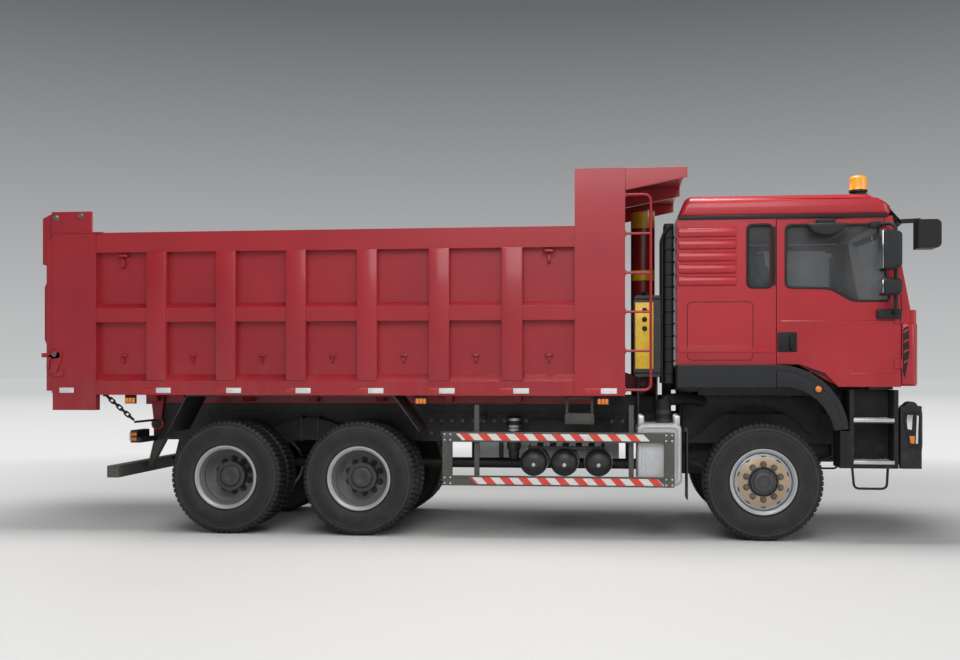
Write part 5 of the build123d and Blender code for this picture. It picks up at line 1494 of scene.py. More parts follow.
@dataclass
class CabPanels:
    """Pressings, seams and mouldings on the cab's side walls and wheel arches."""

    rib_x: Flat = (FRONT_X - 0.8, FRONT_X - 0.256)
    rib_z: Outline = ((2.892, 2.99), (2.776, 2.874), (2.66, 2.758), (2.544, 2.642), (2.428, 2.526))
    rib_rise: float = 0.03
    # The crown's section: shares of a rib's half height and of its rise
    crown: Outline = (
        (-1.0, -0.3), (-0.96, 0.12), (-0.8, 0.5), (-0.5, 0.84), (0.0, 1.0), (0.5, 0.84), (0.8, 0.5),
        (0.96, 0.12), (1.0, -0.3),
    )
    hatch: Outline = ((-0.713, 1.722), (-0.1, 1.722), (-0.1, 2.277), (-0.713, 2.277))
    quarter: Outline = ((-0.15, 2.412), (0.078, 2.412), (0.078, 3.006), (-0.15, 3.006))
    gutter_x: Flat = (FRONT_X - 0.8, FRONT_X + 1.14)
    gutter_z: Flat = (3.062, 3.1)
    seam: float = 0.0035
    # The fold's section: places out from the wall and heights
    fold_x: float = FRONT_X - 0.8
    fold: Outline = ((-0.004, 1.78), (0.006, 1.8), (-0.004, 1.903))
    fold_length: float = 0.9
    # The walls inside the arch, by their lowest and highest corners, with X from the front axle
    walls: tuple[tuple[Point, Point], ...] = (
        ((-0.57, 0.6, 1.375), (1.262, 0.612, 1.66)), ((-0.8, 0.6, 1.415), (-0.56, 0.612, 1.66)),
        ((0.98, 0.94, 1.4435), (1.2, 1.09, 1.48)), ((-0.58, 0.6, 1.6), (0.6, 1.14, 1.612)),
    )
    arch_middle: Flat = (FRONT_X + 0.108, 1.0118)
    arch_radius: float = 0.61
    arch_steps: int = 18
    # The lip's turn in degrees, from its top to its foot, and its depth there
    lip_turn: Flat = (90.0, 85.0)
    lip_depth: Flat = (0.16, 0.08)
    lip_y: Flat = (1.215, 1.243)

    def build(self) -> None:
        """Makes the pieces for both sides."""
        self._ribs()
        self._mouldings()
        self._seams()
        self._wheelhouse()

    def _ribs(self) -> None:
        """Five crowned pressings that stiffen the rear of the side wall."""
        low, high = self.rib_z[0]
        half = (high - low) / 2
        x0, x1 = self.rib_x
        outline = [(x0, CAB_WALL_Y + self.rib_rise * out, half * up) for up, out in self.crown]
        rib = Bench.prism(outline, (x1 - x0, 0.0, 0.0), 0.02, 4, 60.0)
        ribs = Bench.row(rib, [(0.0, 0.0, (a + b) / 2) for a, b in self.rib_z])
        dress_sides("wall_ribs", [Bench.smooth(ribs, 50.0)], RED, "cab")

    def _mouldings(self) -> None:
        """The black gutter under the roof, the quarter light's rubber and the band beside it."""
        (x0, x1), (z0, z1) = self.gutter_x, self.gutter_z
        parts = [
            Bench.block((x0, CAB_WALL_Y - 0.01, z0), (x1, CAB_WALL_Y + 0.014, z1), 0.006, 3),
            Bench.tube(upright(self.quarter, CAB_WALL_Y - 0.002), 0.013, 0.05, closed=True),
            Bench.block(
                (FRONT_X + 0.062, CAB_WALL_Y - 0.006, 2.43),
                (FRONT_X + 0.112, CAB_WALL_Y + 0.003, 2.99), 0.004,
            ),
        ]
        dress_sides("cab_mouldings", parts, TRIM_BLACK, "cab")

    def _wheelhouse(self) -> None:
        """The black walls inside the wheel arch, under the floor, and the fender's lip."""
        walls = []
        for (x0, y0, z0), (x1, y1, z1) in self.walls:
            walls.append(Bench.block((FRONT_X + x0, y0, z0), (FRONT_X + x1, y1, z1), 0.003))
        dress_sides("wheelhouse", walls, BLACK, "cab")
        x, z = self.arch_middle
        top, sweep = self.lip_turn
        deep, shallow = self.lip_depth
        outer, inner = [], []
        for step in range(self.arch_steps + 1):
            share = step / self.arch_steps
            turn = math.radians(top - sweep * share)
            depth = deep + (shallow - deep) * share
            for row, radius in ((outer, self.arch_radius), (inner, self.arch_radius - depth)):
                row.append((x + radius * math.cos(turn), self.lip_y[0], z + radius * math.sin(turn)))
        push = (0.0, self.lip_y[1] - self.lip_y[0], 0.0)
        lip = Bench.prism([*outer, *reversed(inner)], push, 0.008, 3)
        dress_sides("fender_lip", [lip], PLASTIC, "cab")

    def _seams(self) -> None:
        """The locker hatch's gap and the fold line of the rear wall panel."""
        gap = Bench.tube(upright(self.hatch, CAB_WALL_Y - 0.0005), self.seam, 0.05, closed=True)
        dress_sides("cab_seams", [gap], SEAL, "cab")
        points = [(self.fold_x, CAB_WALL_Y + out, z) for out, z in self.fold]
        fold = Bench.prism(points, (self.fold_length, 0.0, 0.0), 0.004, 3, 3.0)
        dress_sides("wall_folds", [Bench.smooth(fold, 60.0)], RED, "cab")


@dataclass
class DoorFittings:
    """Window rubber, handle and creases of each door."""

    body: str = "door_{side}"
    window: Outline = (
        (0.205, 3.0), (1.05, 2.994), (1.163, 2.276), (0.82, 2.278), (0.612, 2.398), (0.205, 2.409),
    )
    handle_x: Flat = (FRONT_X + 0.128, FRONT_X + 0.308)
    handle_z: Flat = (1.8, 1.985)
    lock: Outline = ((0.0, 0.0), (0.013, 0.0), (0.013, 0.005), (0.01, 0.007), (0.0, 0.007))
    # Each crease's height and rear end, and its section: places out from the wall and up
    creases: Outline = ((2.09, 0.16), (1.592, 0.8))
    crease: Outline = ((-0.006, -0.05), (0.007, 0.0), (-0.006, 0.012))
    crease_end: float = 1.23

    def build(self) -> None:
        """Dresses both doors."""
        seal = Bench.tube(upright(self.window, CAB_WALL_Y - 0.002), 0.012, 0.055, closed=True)
        dress_sides("window_seal", [seal], SEAL, self.body)
        self._handle()
        folds = []
        for z, start in self.creases:
            points = [(FRONT_X + start, CAB_WALL_Y + out, z + up) for out, up in self.crease]
            folds.append(Bench.prism(points, (self.crease_end - start, 0.0, 0.0)))
        dress_sides("door_creases", [Bench.soften(Bench.join(folds), 0.003, 2, 20.0)], RED, self.body)

    def _handle(self) -> None:
        """A black escutcheon with a pull bar and a lock barrel."""
        (x0, x1), (z0, z1), y = self.handle_x, self.handle_z, CAB_WALL_Y
        plate = Bench.block((x0, y - 0.004, z0), (x1, y + 0.012, z1), 0.02, 4)
        cup = Bench.block((x0 + 0.055, y, z0 + 0.02), (x1 - 0.02, y + 0.0135, z1 - 0.02), 0.012, 3)
        # The pull's places out from the wall and up
        bends = ((0.01, z0 + 0.02), (0.038, z0 + 0.045), (0.038, z1 - 0.045), (0.01, z1 - 0.02))
        pull = Bench.tube([(x0 + 0.125, y + out, z) for out, z in bends], 0.015, 0.02)
        lock = Bench.turned(self.lock, (x0 + 0.03, y + 0.011, z0 + 0.045), Axis.Y, 18)
        dress_sides("door_handle", [plate, cup, pull, lock], TRIM_BLACK, self.body)


@dataclass
class CornerPanels:
    """The nose's corner pillars: red wind deflectors with dark slanted vents."""

    inner_y: float = 1.06
    outer_y: float = 1.168
    z: Flat = (1.485, 2.065)
    back_x: float = FRONT_X + 1.264
    front_x: float = FRONT_X + 1.42
    hollow: Outline = ((0.012, 2.0), (0.03, 2.03), (0.064, 2.03), (0.068, 1.78), (0.026, 1.55), (0.012, 1.6))
    louvres: int = 4
    louvre: Point = (0.058, 0.02, 0.016)
    louvre_lean: float = math.radians(-34.0)
    # The part of the pillar's height below the louvres
    louvre_foot: float = 0.2

    def build(self) -> None:
        """Makes the deflectors and their vents."""
        low, high = self.z
        back, front, inner, outer = self.back_x, self.front_x, self.inner_y, self.outer_y
        section = (
            (back, inner), (back, outer - 0.012), (back + 0.06, outer), (front - 0.05, outer - 0.006),
            (front, inner + 0.03), (front, inner),
        )
        shell = Bench.prism([(x, y, low) for x, y in section], (0.0, 0.0, high - low), 0.014, 3)
        dress_sides("nose_corner", [shell], RED, "cab")
        vent = Bench.prism(upright(self.hollow, outer - 0.02, back), (0.0, 0.0215, 0.0), 0.006, 3)
        dress_sides("corner_vents", [vent], TRIM_BLACK, "cab")
        slat = Bench.turn(Bench.block(ORIGIN, self.louvre), self.louvre_lean, Axis.Y)
        foot = low + self.louvre_foot
        step = (high - low - self.louvre_foot) / self.louvres
        shifts = [(back + 0.016, outer - 0.0135, foot + step * index) for index in range(self.louvres)]
        dress_sides("corner_louvres", [Bench.row(Bench.soften(slat, 0.004), shifts)], RED, "cab")


@dataclass
class Mirrors:
    """Rounded mirror shells with silvered faces on tube arms, and the kerb mirror."""

    head_x: Flat = (FRONT_X + 1.035, FRONT_X + 1.215)
    head_y: Flat = (1.21, 1.45)
    heads: Outline = ((2.311, 2.476), (2.537, 2.93))
    # The front face's size as shares of the rear's
    crown: Point = (1.0, 0.72, 0.84)
    glass_edge: float = 0.022
    root_y: Flat = (1.145, 1.146)
    post_x: float = FRONT_X + 1.175
    post_y: float = 1.31
    stays: Flat = (2.155, 2.99)
    kerb_middle: Point = (FRONT_X + 0.5625, 1.25, 3.0)
    kerb_radius: float = 0.172
    kerb_depth: float = 0.118
    kerb_steps: int = 18

    def build(self) -> None:
        """Makes the mirrors of both doors; the kerb mirror is on the right only."""
        for side in Side:
            shells = [self._shell(low, high) for low, high in self.heads]
            shells.extend(self._arms())
            if side is Side.RIGHT:
                shells.extend(self._kerb())
            faces = [self._face(low, high) for low, high in self.heads]
            body, node = f"door_{side.word}", f"door_mirrors_{side.word}"
            rows = (("shells", shells, PLASTIC, [node]), ("faces", faces, MIRROR, []))
            for name, parts, finish, nodes in rows:
                piece = Bench.join(parts)
                if side is Side.RIGHT:
                    left, piece = piece, Bench.mirrored(piece)
                    Bench.discard(left)
                dress(f"mirror_{name}_{side.word}", [piece], finish, body, *nodes)

    def _shell(self, low: float, high: float) -> Piece:
        """A crowned housing, deep at the front and flat behind.

        Args:
            low: its foot.
            high: its top.

        Returns:
            The shell.
        """
        back, front = self.head_x
        inner, outer = self.head_y
        shell = Bench.block((back, inner, low), (front, outer, high))
        Bench.pick(shell, edit=True)
        bpy.ops.mesh.select_all(action="DESELECT")
        bpy.ops.object.mode_set(mode="OBJECT")
        for face in shell.data.polygons:
            face.select = face.normal.x > 0.9
        bpy.ops.object.mode_set(mode="EDIT")
        bpy.ops.transform.resize(value=self.crown)
        bpy.ops.object.mode_set(mode="OBJECT")
        return Bench.soften(shell, 0.036, 5, 30.0)

    def _face(self, low: float, high: float) -> Piece:
        """The silvered glass on a housing's rear face.

        Args:
            low: the housing's foot.
            high: its top.

        Returns:
            The glass.
        """
        back, edge, (inner, outer) = self.head_x[0], self.glass_edge, self.head_y
        corner = (back + 0.004, outer - edge, high - edge)
        return Bench.block((back - 0.003, inner + edge, low + edge), corner, 0.003)

    def _arms(self) -> list[Piece]:
        """The bent tube that carries the heads, its foot block and its upper pad.

        Returns:
            The pieces.
        """
        low, high = self.stays
        x, y = self.post_x, self.post_y
        root, wall = self.root_y
        return [
            Bench.tube([(x - 0.13, root, high), (x, y, high), (x, y, low), (x, root, low)], 0.019, 0.09),
            Bench.block((FRONT_X + 1.03, wall, 2.108), (FRONT_X + 1.255, 1.215, 2.196), 0.018, 4),
            Bench.block((x - 0.2, wall, high - 0.03), (x - 0.09, 1.185, high + 0.03), 0.01, 3),
        ]

    def _kerb(self) -> list[Piece]:
        """The half round kerb mirror over the passenger's window with its bracket.

        Returns:
            The pieces.
        """
        x, y, z = self.kerb_middle
        outline = []
        for step in range(self.kerb_steps + 1):
            turn = math.pi * step / self.kerb_steps
            drop = self.kerb_depth * math.sin(turn) ** 0.8
            outline.append((x + self.kerb_radius * math.cos(turn), y + 0.055, z - drop))
        bowl = Bench.prism(outline, (0.0, -0.13, 0.0), 0.03, 4, 50.0)
        plate = Bench.block((x - 0.085, self.root_y[1], z + 0.002), (x + 0.085, y, z + 0.042), 0.008, 3)
        return [bowl, plate]


@dataclass
class RoofFittings:
    """Beacons, roof and fender markers, wipers and the grille on the nose."""

    beacon: Point = (FRONT_X + 0.92, 0.9, 3.297)
    dome: Outline = (
        (0.0, 0.198), (0.052, 0.196), (0.072, 0.188), (0.079, 0.176), (0.0815, 0.17), (0.0815, 0.164),
        (0.08, 0.16), (0.084, 0.066), (0.09, 0.064), (0.09, 0.056), (0.0, 0.056),
    )
    foot: Outline = (
        (0.0, 0.058), (0.082, 0.058), (0.086, 0.052), (0.086, 0.036), (0.07, 0.032), (0.068, 0.022),
        (0.088, 0.018), (0.09, 0.0), (0.078, -0.03), (0.0, -0.03),
    )
    roof_marker: Point = (FRONT_X + 0.69, 0.86, 3.293)
    roof_lens: Outline = (
        (0.0, 0.03), (0.014, 0.028), (0.024, 0.021), (0.03, 0.008), (0.03, -0.01), (0.0, -0.01),
    )
    fender_marker: Point = (FRONT_X + 0.49, 1.245, 1.447)
    fender_lens: Outline = (
        (0.0, 0.02), (0.018, 0.019), (0.027, 0.014), (0.031, 0.004), (0.031, -0.008), (0.0, -0.008),
    )
    fender_ring: Outline = (
        (0.031, 0.006), (0.037, 0.005), (0.04, 0.0), (0.04, -0.006), (0.031, -0.006), (0.031, 0.006),
    )
    wiper_foot: Flat = (FRONT_X + 1.418, 2.215)
    wiper_y: Flat = (0.12, -0.72)
    wiper_reach: float = 0.62
    wiper_hub: Outline = ((0.0, -0.02), (0.026, -0.02), (0.026, 0.014), (0.02, 0.02), (0.0, 0.02))
    # The grille's two panels, their slats and the bow of the nose
    grille_z: Outline = ((1.56, 1.78), (1.84, 2.0))
    slats: int = 4
    slat_share: float = 0.36
    slat_x: float = FRONT_X + 1.4
    slat_bow: float = 0.085
    slat_half: float = 0.86
    slat_steps: int = 12
    slat_proud: float = 0.004

    def build(self) -> None:
        """Makes the roof's and the nose's fittings."""
        for word, profile, finish, nodes in (
            ("domes", self.dome, BEACON, ["beacons"]), ("feet", self.foot, TRIM_BLACK, []),
        ):
            pair = Bench.pair(Bench.turned(profile, self.beacon, Axis.Z, 40, 35.0))
            dress(f"beacon_{word}", pair, finish, "cab", *nodes)
        lenses = Bench.pair(
            Bench.turned(self.roof_lens, self.roof_marker, Axis.Z, 24),
            Bench.turned(self.fender_lens, self.fender_marker, Axis.Y, 28),
        )
        dress("amber_markers", [Bench.smooth(Bench.join(lenses), 40.0)], AMBER, "cab")
        rims = Bench.pair(Bench.turned(self.fender_ring, self.fender_marker, Axis.Y, 28, 40.0))
        dress("marker_rims", rims, TRIM_BLACK, "cab")
        self._wipers()
        self._grille()

    def _wipers(self) -> None:
        """Two arms with blades parked along the foot of the windscreen."""
        parts = []
        x, z = self.wiper_foot
        for y in self.wiper_y:
            tip = y + self.wiper_reach
            arm = [(x, y, z), (x + 0.012, y + 0.1, z + 0.06), (x - 0.002, tip, z + 0.1)]
            parts.append(Bench.tube(arm, 0.008, 0.03))
            blade = [(x - 0.01, y + 0.12, z + 0.115), (x - 0.018, tip + 0.1, z + 0.115)]
            parts.append(Bench.tube(blade, 0.0065))
            parts.append(Bench.turned(self.wiper_hub, (x, y, z), Axis.X, 20))
        dress("wipers", parts, TRIM_BLACK, "cab")

    def _grille(self) -> None:
        """Dark slatted panels across the nose, bowed with it."""
        parts = []
        for low, high in self.grille_z:
            pitch = (high - low) / self.slats
            for index in range(self.slats):
                path = []
                for step in range(self.slat_steps + 1):
                    y = -self.slat_half + 2 * self.slat_half * step / self.slat_steps
                    bow = self.slat_bow * (1.0 - (y / CAB_WALL_Y) ** 2)
                    path.append((self.slat_x + self.slat_proud + bow, y, low + pitch * (index + 0.5)))
                parts.append(Bench.tube(path, pitch * self.slat_share))
        dress("nose_grille", parts, TRIM_BLACK, "cab")


@dataclass
class ChassisFittings:
    """Tape, bolts, flaps, lenses, springs and plates on the frame."""

    rail_y: float = 0.425
    guard_face: float = 1.245
    guard_x: Flat = (REAR_X + 2.184, REAR_X + 4.41)
    # Each strip of tape: its ends along X from the rear axle, and its heights
    tape: tuple[tuple[float, ...], ...] = ((2.316, 4.181, 0.948, 1.012), (2.45, 4.315, 0.525, 0.589))
    rivet: Outline = ((0.0, 0.006), (0.006, 0.005), (0.009, 0.002), (0.009, -0.002), (0.0, -0.002))
    rivet_inset: Flat = (0.022, 0.078)
    rivet_z: tuple[float, ...] = (0.53, 0.585, 0.95, 1.005)
    bolt: Outline = (
        (0.0, -0.002), (0.02, -0.002), (0.02, 0.003), (0.014, 0.003), (0.014, 0.011), (0.011, 0.014),
        (0.0, 0.014),
    )
    bolt_x: float = REAR_X + 1.95
    bolt_z: Flat = (0.975, 1.105)
    bolts: int = 23
    bolt_pitch: float = 0.11
    flap_x: float = FRONT_X - 0.722
    # The engine's side shield: the arch's radii and middle height, and the shield's front, foot and top
    shield_arch: Point = (0.62, 0.6, 0.6625)
    shield_front: float = FRONT_X + 0.66
    shield_z: Flat = (0.9, 1.385)
    shield_steps: int = 16
    lamp_x: float = REAR_X - 1.12
    plate_x: Flat = (FRONT_X - 1.89, FRONT_X - 1.6)
    plate_y: float = -1.0
    shroud_x: float = FRONT_X + 1.06
    fins: int = 26
    fin_pitch: float = 0.022
    duct_x: Flat = (FRONT_X - 0.927, FRONT_X - 0.833)
    duct_y: Flat = (-1.002, -0.698)
    duct_ribs: int = 12
    duct_pitch: float = 0.12

    def build(self) -> None:
        """Makes the frame's fittings."""
        self._guard()
        self._rail_bolts()
        self._flap()
        self._tail_lenses()
        self._hanger_plate()
        self._plates()
        self._intake_ribs()

    def _guard(self) -> None:
        """Striped tape with slanted ends, and rivets at the guard's corners."""
        strips = []
        for x0, x1, low, high in self.tape:
            lean = high - low
            corners = ((x0, high), (x1 - lean, high), (x1, low), (x0 + lean, low))
            strips.append(Bench.prism(upright(corners, self.guard_face - 0.001, REAR_X), (0.0, 0.0025, 0.0)))
        dress_sides("guard_tape", strips, TAPE, "chassis")
        rivet = Bench.turned(self.rivet, (0.0, self.guard_face, 0.0), Axis.Y, 14)
        back, front = self.guard_x
        rows = [*(back + inset for inset in self.rivet_inset), *(front - inset for inset in self.rivet_inset)]
        rivets = Bench.row(rivet, [(x, 0.0, z) for x in rows for z in self.rivet_z])
        dress_sides("guard_rivets", [Bench.smooth(rivets, 40.0)], ALLOY, "chassis")

    def _rail_bolts(self) -> None:
        """Two rows of bolt heads along the rail's web."""
        bolt = Bench.turned(self.bolt, (0.0, self.rail_y, 0.0), Axis.Y, 6)
        columns = [self.bolt_x + self.bolt_pitch * step for step in range(self.bolts)]
        places = [(x, 0.0, z) for x in columns for z in self.bolt_z]
        dress_sides("rail_bolts", [Bench.row(bolt, places)], STEEL, "chassis")

    def _flap(self) -> None:
        """The rubber flap behind the front wheel, its bar from the rail, and the engine's side shield."""
        x, y = self.flap_x, self.rail_y + 0.006
        flap = Bench.block((x, 0.9, 0.39), (x + 0.012, 1.19, 1.08), 0.004)
        dress_sides("front_flap", [flap], FLAP_RUBBER, "chassis")
        bar = Bench.block((x - 0.022, 0.42, 1.04), (x, 1.19, 1.08), 0.004)
        reach, rise, middle = self.shield_arch
        low, high = self.shield_z
        turns = [math.pi * step / self.shield_steps for step in range(self.shield_steps + 1)]
        arch = [(FRONT_X + reach * math.cos(turn), y, middle + rise * math.sin(turn)) for turn in turns]
        front = self.shield_front
        outline = [point for point in reversed(arch) if point[2] > low]
        outline += [(front, y, low), (front, y, high), (x, y, high), (x, y, low)]
        dress_sides("flap_bar", [bar, Bench.prism(outline, (0.0, 0.012, 0.0), 0.003)], BLACK, "chassis")

    def _tail_lenses(self) -> None:
        """Three lenses on each tail lamp and a row of blank amber ones on its flank."""
        x = self.lamp_x
        rows = (("amber", AMBER, 0.575), ("red", RED_LENS, 0.69), ("clear", CLEAR_LENS, 0.805))
        for word, finish, low in rows:
            lens = Bench.block((x - 0.02, low, 0.9), (x + 0.004, low + 0.085, 0.99), 0.01, 3)
            dress(f"tail_lenses_{word}", Bench.pair(lens), finish, "chassis")
        chip = Bench.block((0.0, 0.898, 0.0), (0.018, 0.908, 0.034), 0.004)
        shifts = [(x + 0.008 + 0.021 * step, 0.0, z) for step in range(3) for z in (0.9, 0.95)]
        dress("flank_lenses", Bench.pair(Bench.row(chip, shifts)), AMBER, "chassis")

    def _hanger_plate(self) -> None:
        """The grey plate that hangs on two straps over the air tanks, with its arm to the rail."""
        (x0, x1), y = self.plate_x, self.plate_y
        parts = [
            Bench.block((x0, y - 0.04, 1.095), (x1, y, 1.21), 0.014, 3),
            Bench.block((x0 + 0.01, y - 0.026, 1.345), (x1 - 0.01, y - 0.014, 1.36), 0.003),
            Bench.block((x0 + 0.1, y, 1.12), (x1 - 0.1, -self.rail_y, 1.15), 0.005),
        ]
        for x in (x0 + 0.01, x1 - 0.035):
            parts.append(Bench.block((x, y - 0.026, 1.2), (x + 0.025, y - 0.014, 1.36), 0.003))
        dress("hanging_plate", parts, GUARD, "chassis")

    def _plates(self) -> None:
        """The cheek plates by the hoist's foot, and the radiator's shroud with its core's fins."""
        cheek = Bench.block((REAR_X + 3.55, 0.4, 1.185), (REAR_X + 4.4, 0.42, 1.365), 0.006)
        dress("hoist_cheeks", Bench.pair(cheek), BLACK, "chassis")
        x = self.shroud_x
        plate = Bench.block((x, -0.56, 0.72), (x + 0.03, 0.56, 1.39), 0.01)
        fin = Bench.block((x + 0.026, -0.5, 0.0), (x + 0.038, 0.5, 0.008), 0.002)
        fins = Bench.row(fin, [(0.0, 0.0, 0.78 + self.fin_pitch * step) for step in range(self.fins)])
        dress("radiator_shroud", [plate, fins], BLACK, "chassis")

    def _intake_ribs(self) -> None:
        """Ribs round the tall intake duct and two brace tubes beside it."""
        (x0, x1), (y0, y1) = self.duct_x, self.duct_y
        hoop = [(x0, y0, 0.0), (x1, y0, 0.0), (x1, y1, 0.0), (x0, y1, 0.0)]
        rib = Bench.tube(hoop, 0.01, 0.03, closed=True)
        parts = [Bench.row(rib, [(0.0, 0.0, 1.6 + self.duct_pitch * step) for step in range(self.duct_ribs)])]
        for y in (-1.03, -0.67):
            brace = [(x0 - 0.02, y, 1.5), (x0 - 0.02, y, 2.95), (x1 - 0.02, y, 3.03)]
            parts.append(Bench.tube(brace, 0.012, 0.06))
        dress("intake_ribs", parts, TRIM_BLACK, body_of("ducts"))


@dataclass
class LeafSprings:
    """Stacked leaves over the front axle and rocking packs on the bogie, with clamps and hangers."""

    rail_y: float = 0.425
    bogie_x: float = (REAR_X + MIDDLE_X) / 2
    front_y: Flat = (0.335, 0.425)
    rear_y: Flat = (0.445, 0.535)
    leaf_steps: int = 20
    # Each pack: leaves, the longest one's half length, how much shorter each next one is, and its rise
    front_pack: tuple[int, float, float, float] = (4, 0.8, 0.14, 0.1775)
    rear_pack: tuple[int, float, float, float] = (11, 0.76, 0.052, -0.4225)

    def build(self) -> None:
        """Makes the packs of both sides."""
        parts = []
        count, longest, less, rise = self.front_pack
        for step in range(count):
            half = longest - less * (count - 1 - step)
            z = 0.5525 + 0.015 * step
            lift = rise * (half / longest) ** 2
            parts.append(self._leaf(FRONT_X, half, z, lift, 0.0125, self.front_y))
        count, longest, less, rise = self.rear_pack
        for step in range(count):
            half = longest - less * step
            z = 1.112 - 0.0205 * step
            lift = rise * (half / longest) ** 2
            parts.append(self._leaf(self.bogie_x, half, z, lift, 0.0165, self.rear_y))
        for x in (FRONT_X - 0.8, FRONT_X + 0.8):
            corner = (x + 0.045, self.front_y[1], 0.89)
            parts.append(Bench.block((x - 0.045, self.front_y[0], 0.73), corner, 0.012, 3))
        saddle = (self.bogie_x - 0.15, self.rail_y, 0.92), (self.bogie_x + 0.15, self.rear_y[0], 1.11)
        parts.append(Bench.block(*saddle, 0.008))
        clamps = ((self.bogie_x, self.rear_y, 0.89, 1.15), (FRONT_X, self.front_y, 0.54, 0.63))
        for x, (y0, y1), low, high in clamps:
            for start in (x - 0.11, x + 0.07):
                parts.append(Bench.block((start, y0 - 0.006, low), (start + 0.04, y1 + 0.006, high), 0.006))
        dress("leaf_packs", Bench.pair(*parts), BLACK, "chassis", "leaf_springs")

    def _leaf(self, x: float, half: float, z: float, rise: float, thick: float, y: Flat) -> Piece:
        """One bent spring leaf.

        Args:
            x: its middle along X.
            half: half of its length.
            z: the height of its middle's underside.
            rise: how far its ends are above that.
            thick: its thickness.
            y: its two sides.

        Returns:
            The leaf.
        """
        shares = [-1.0 + 2.0 * step / self.leaf_steps for step in range(self.leaf_steps + 1)]
        under = [(x + half * share, y[0], z + rise * share * share) for share in shares]
        over = [(px, py, pz + thick) for px, py, pz in reversed(under)]
        return Bench.prism(under + over, (0.0, y[1] - y[0], 0.0))


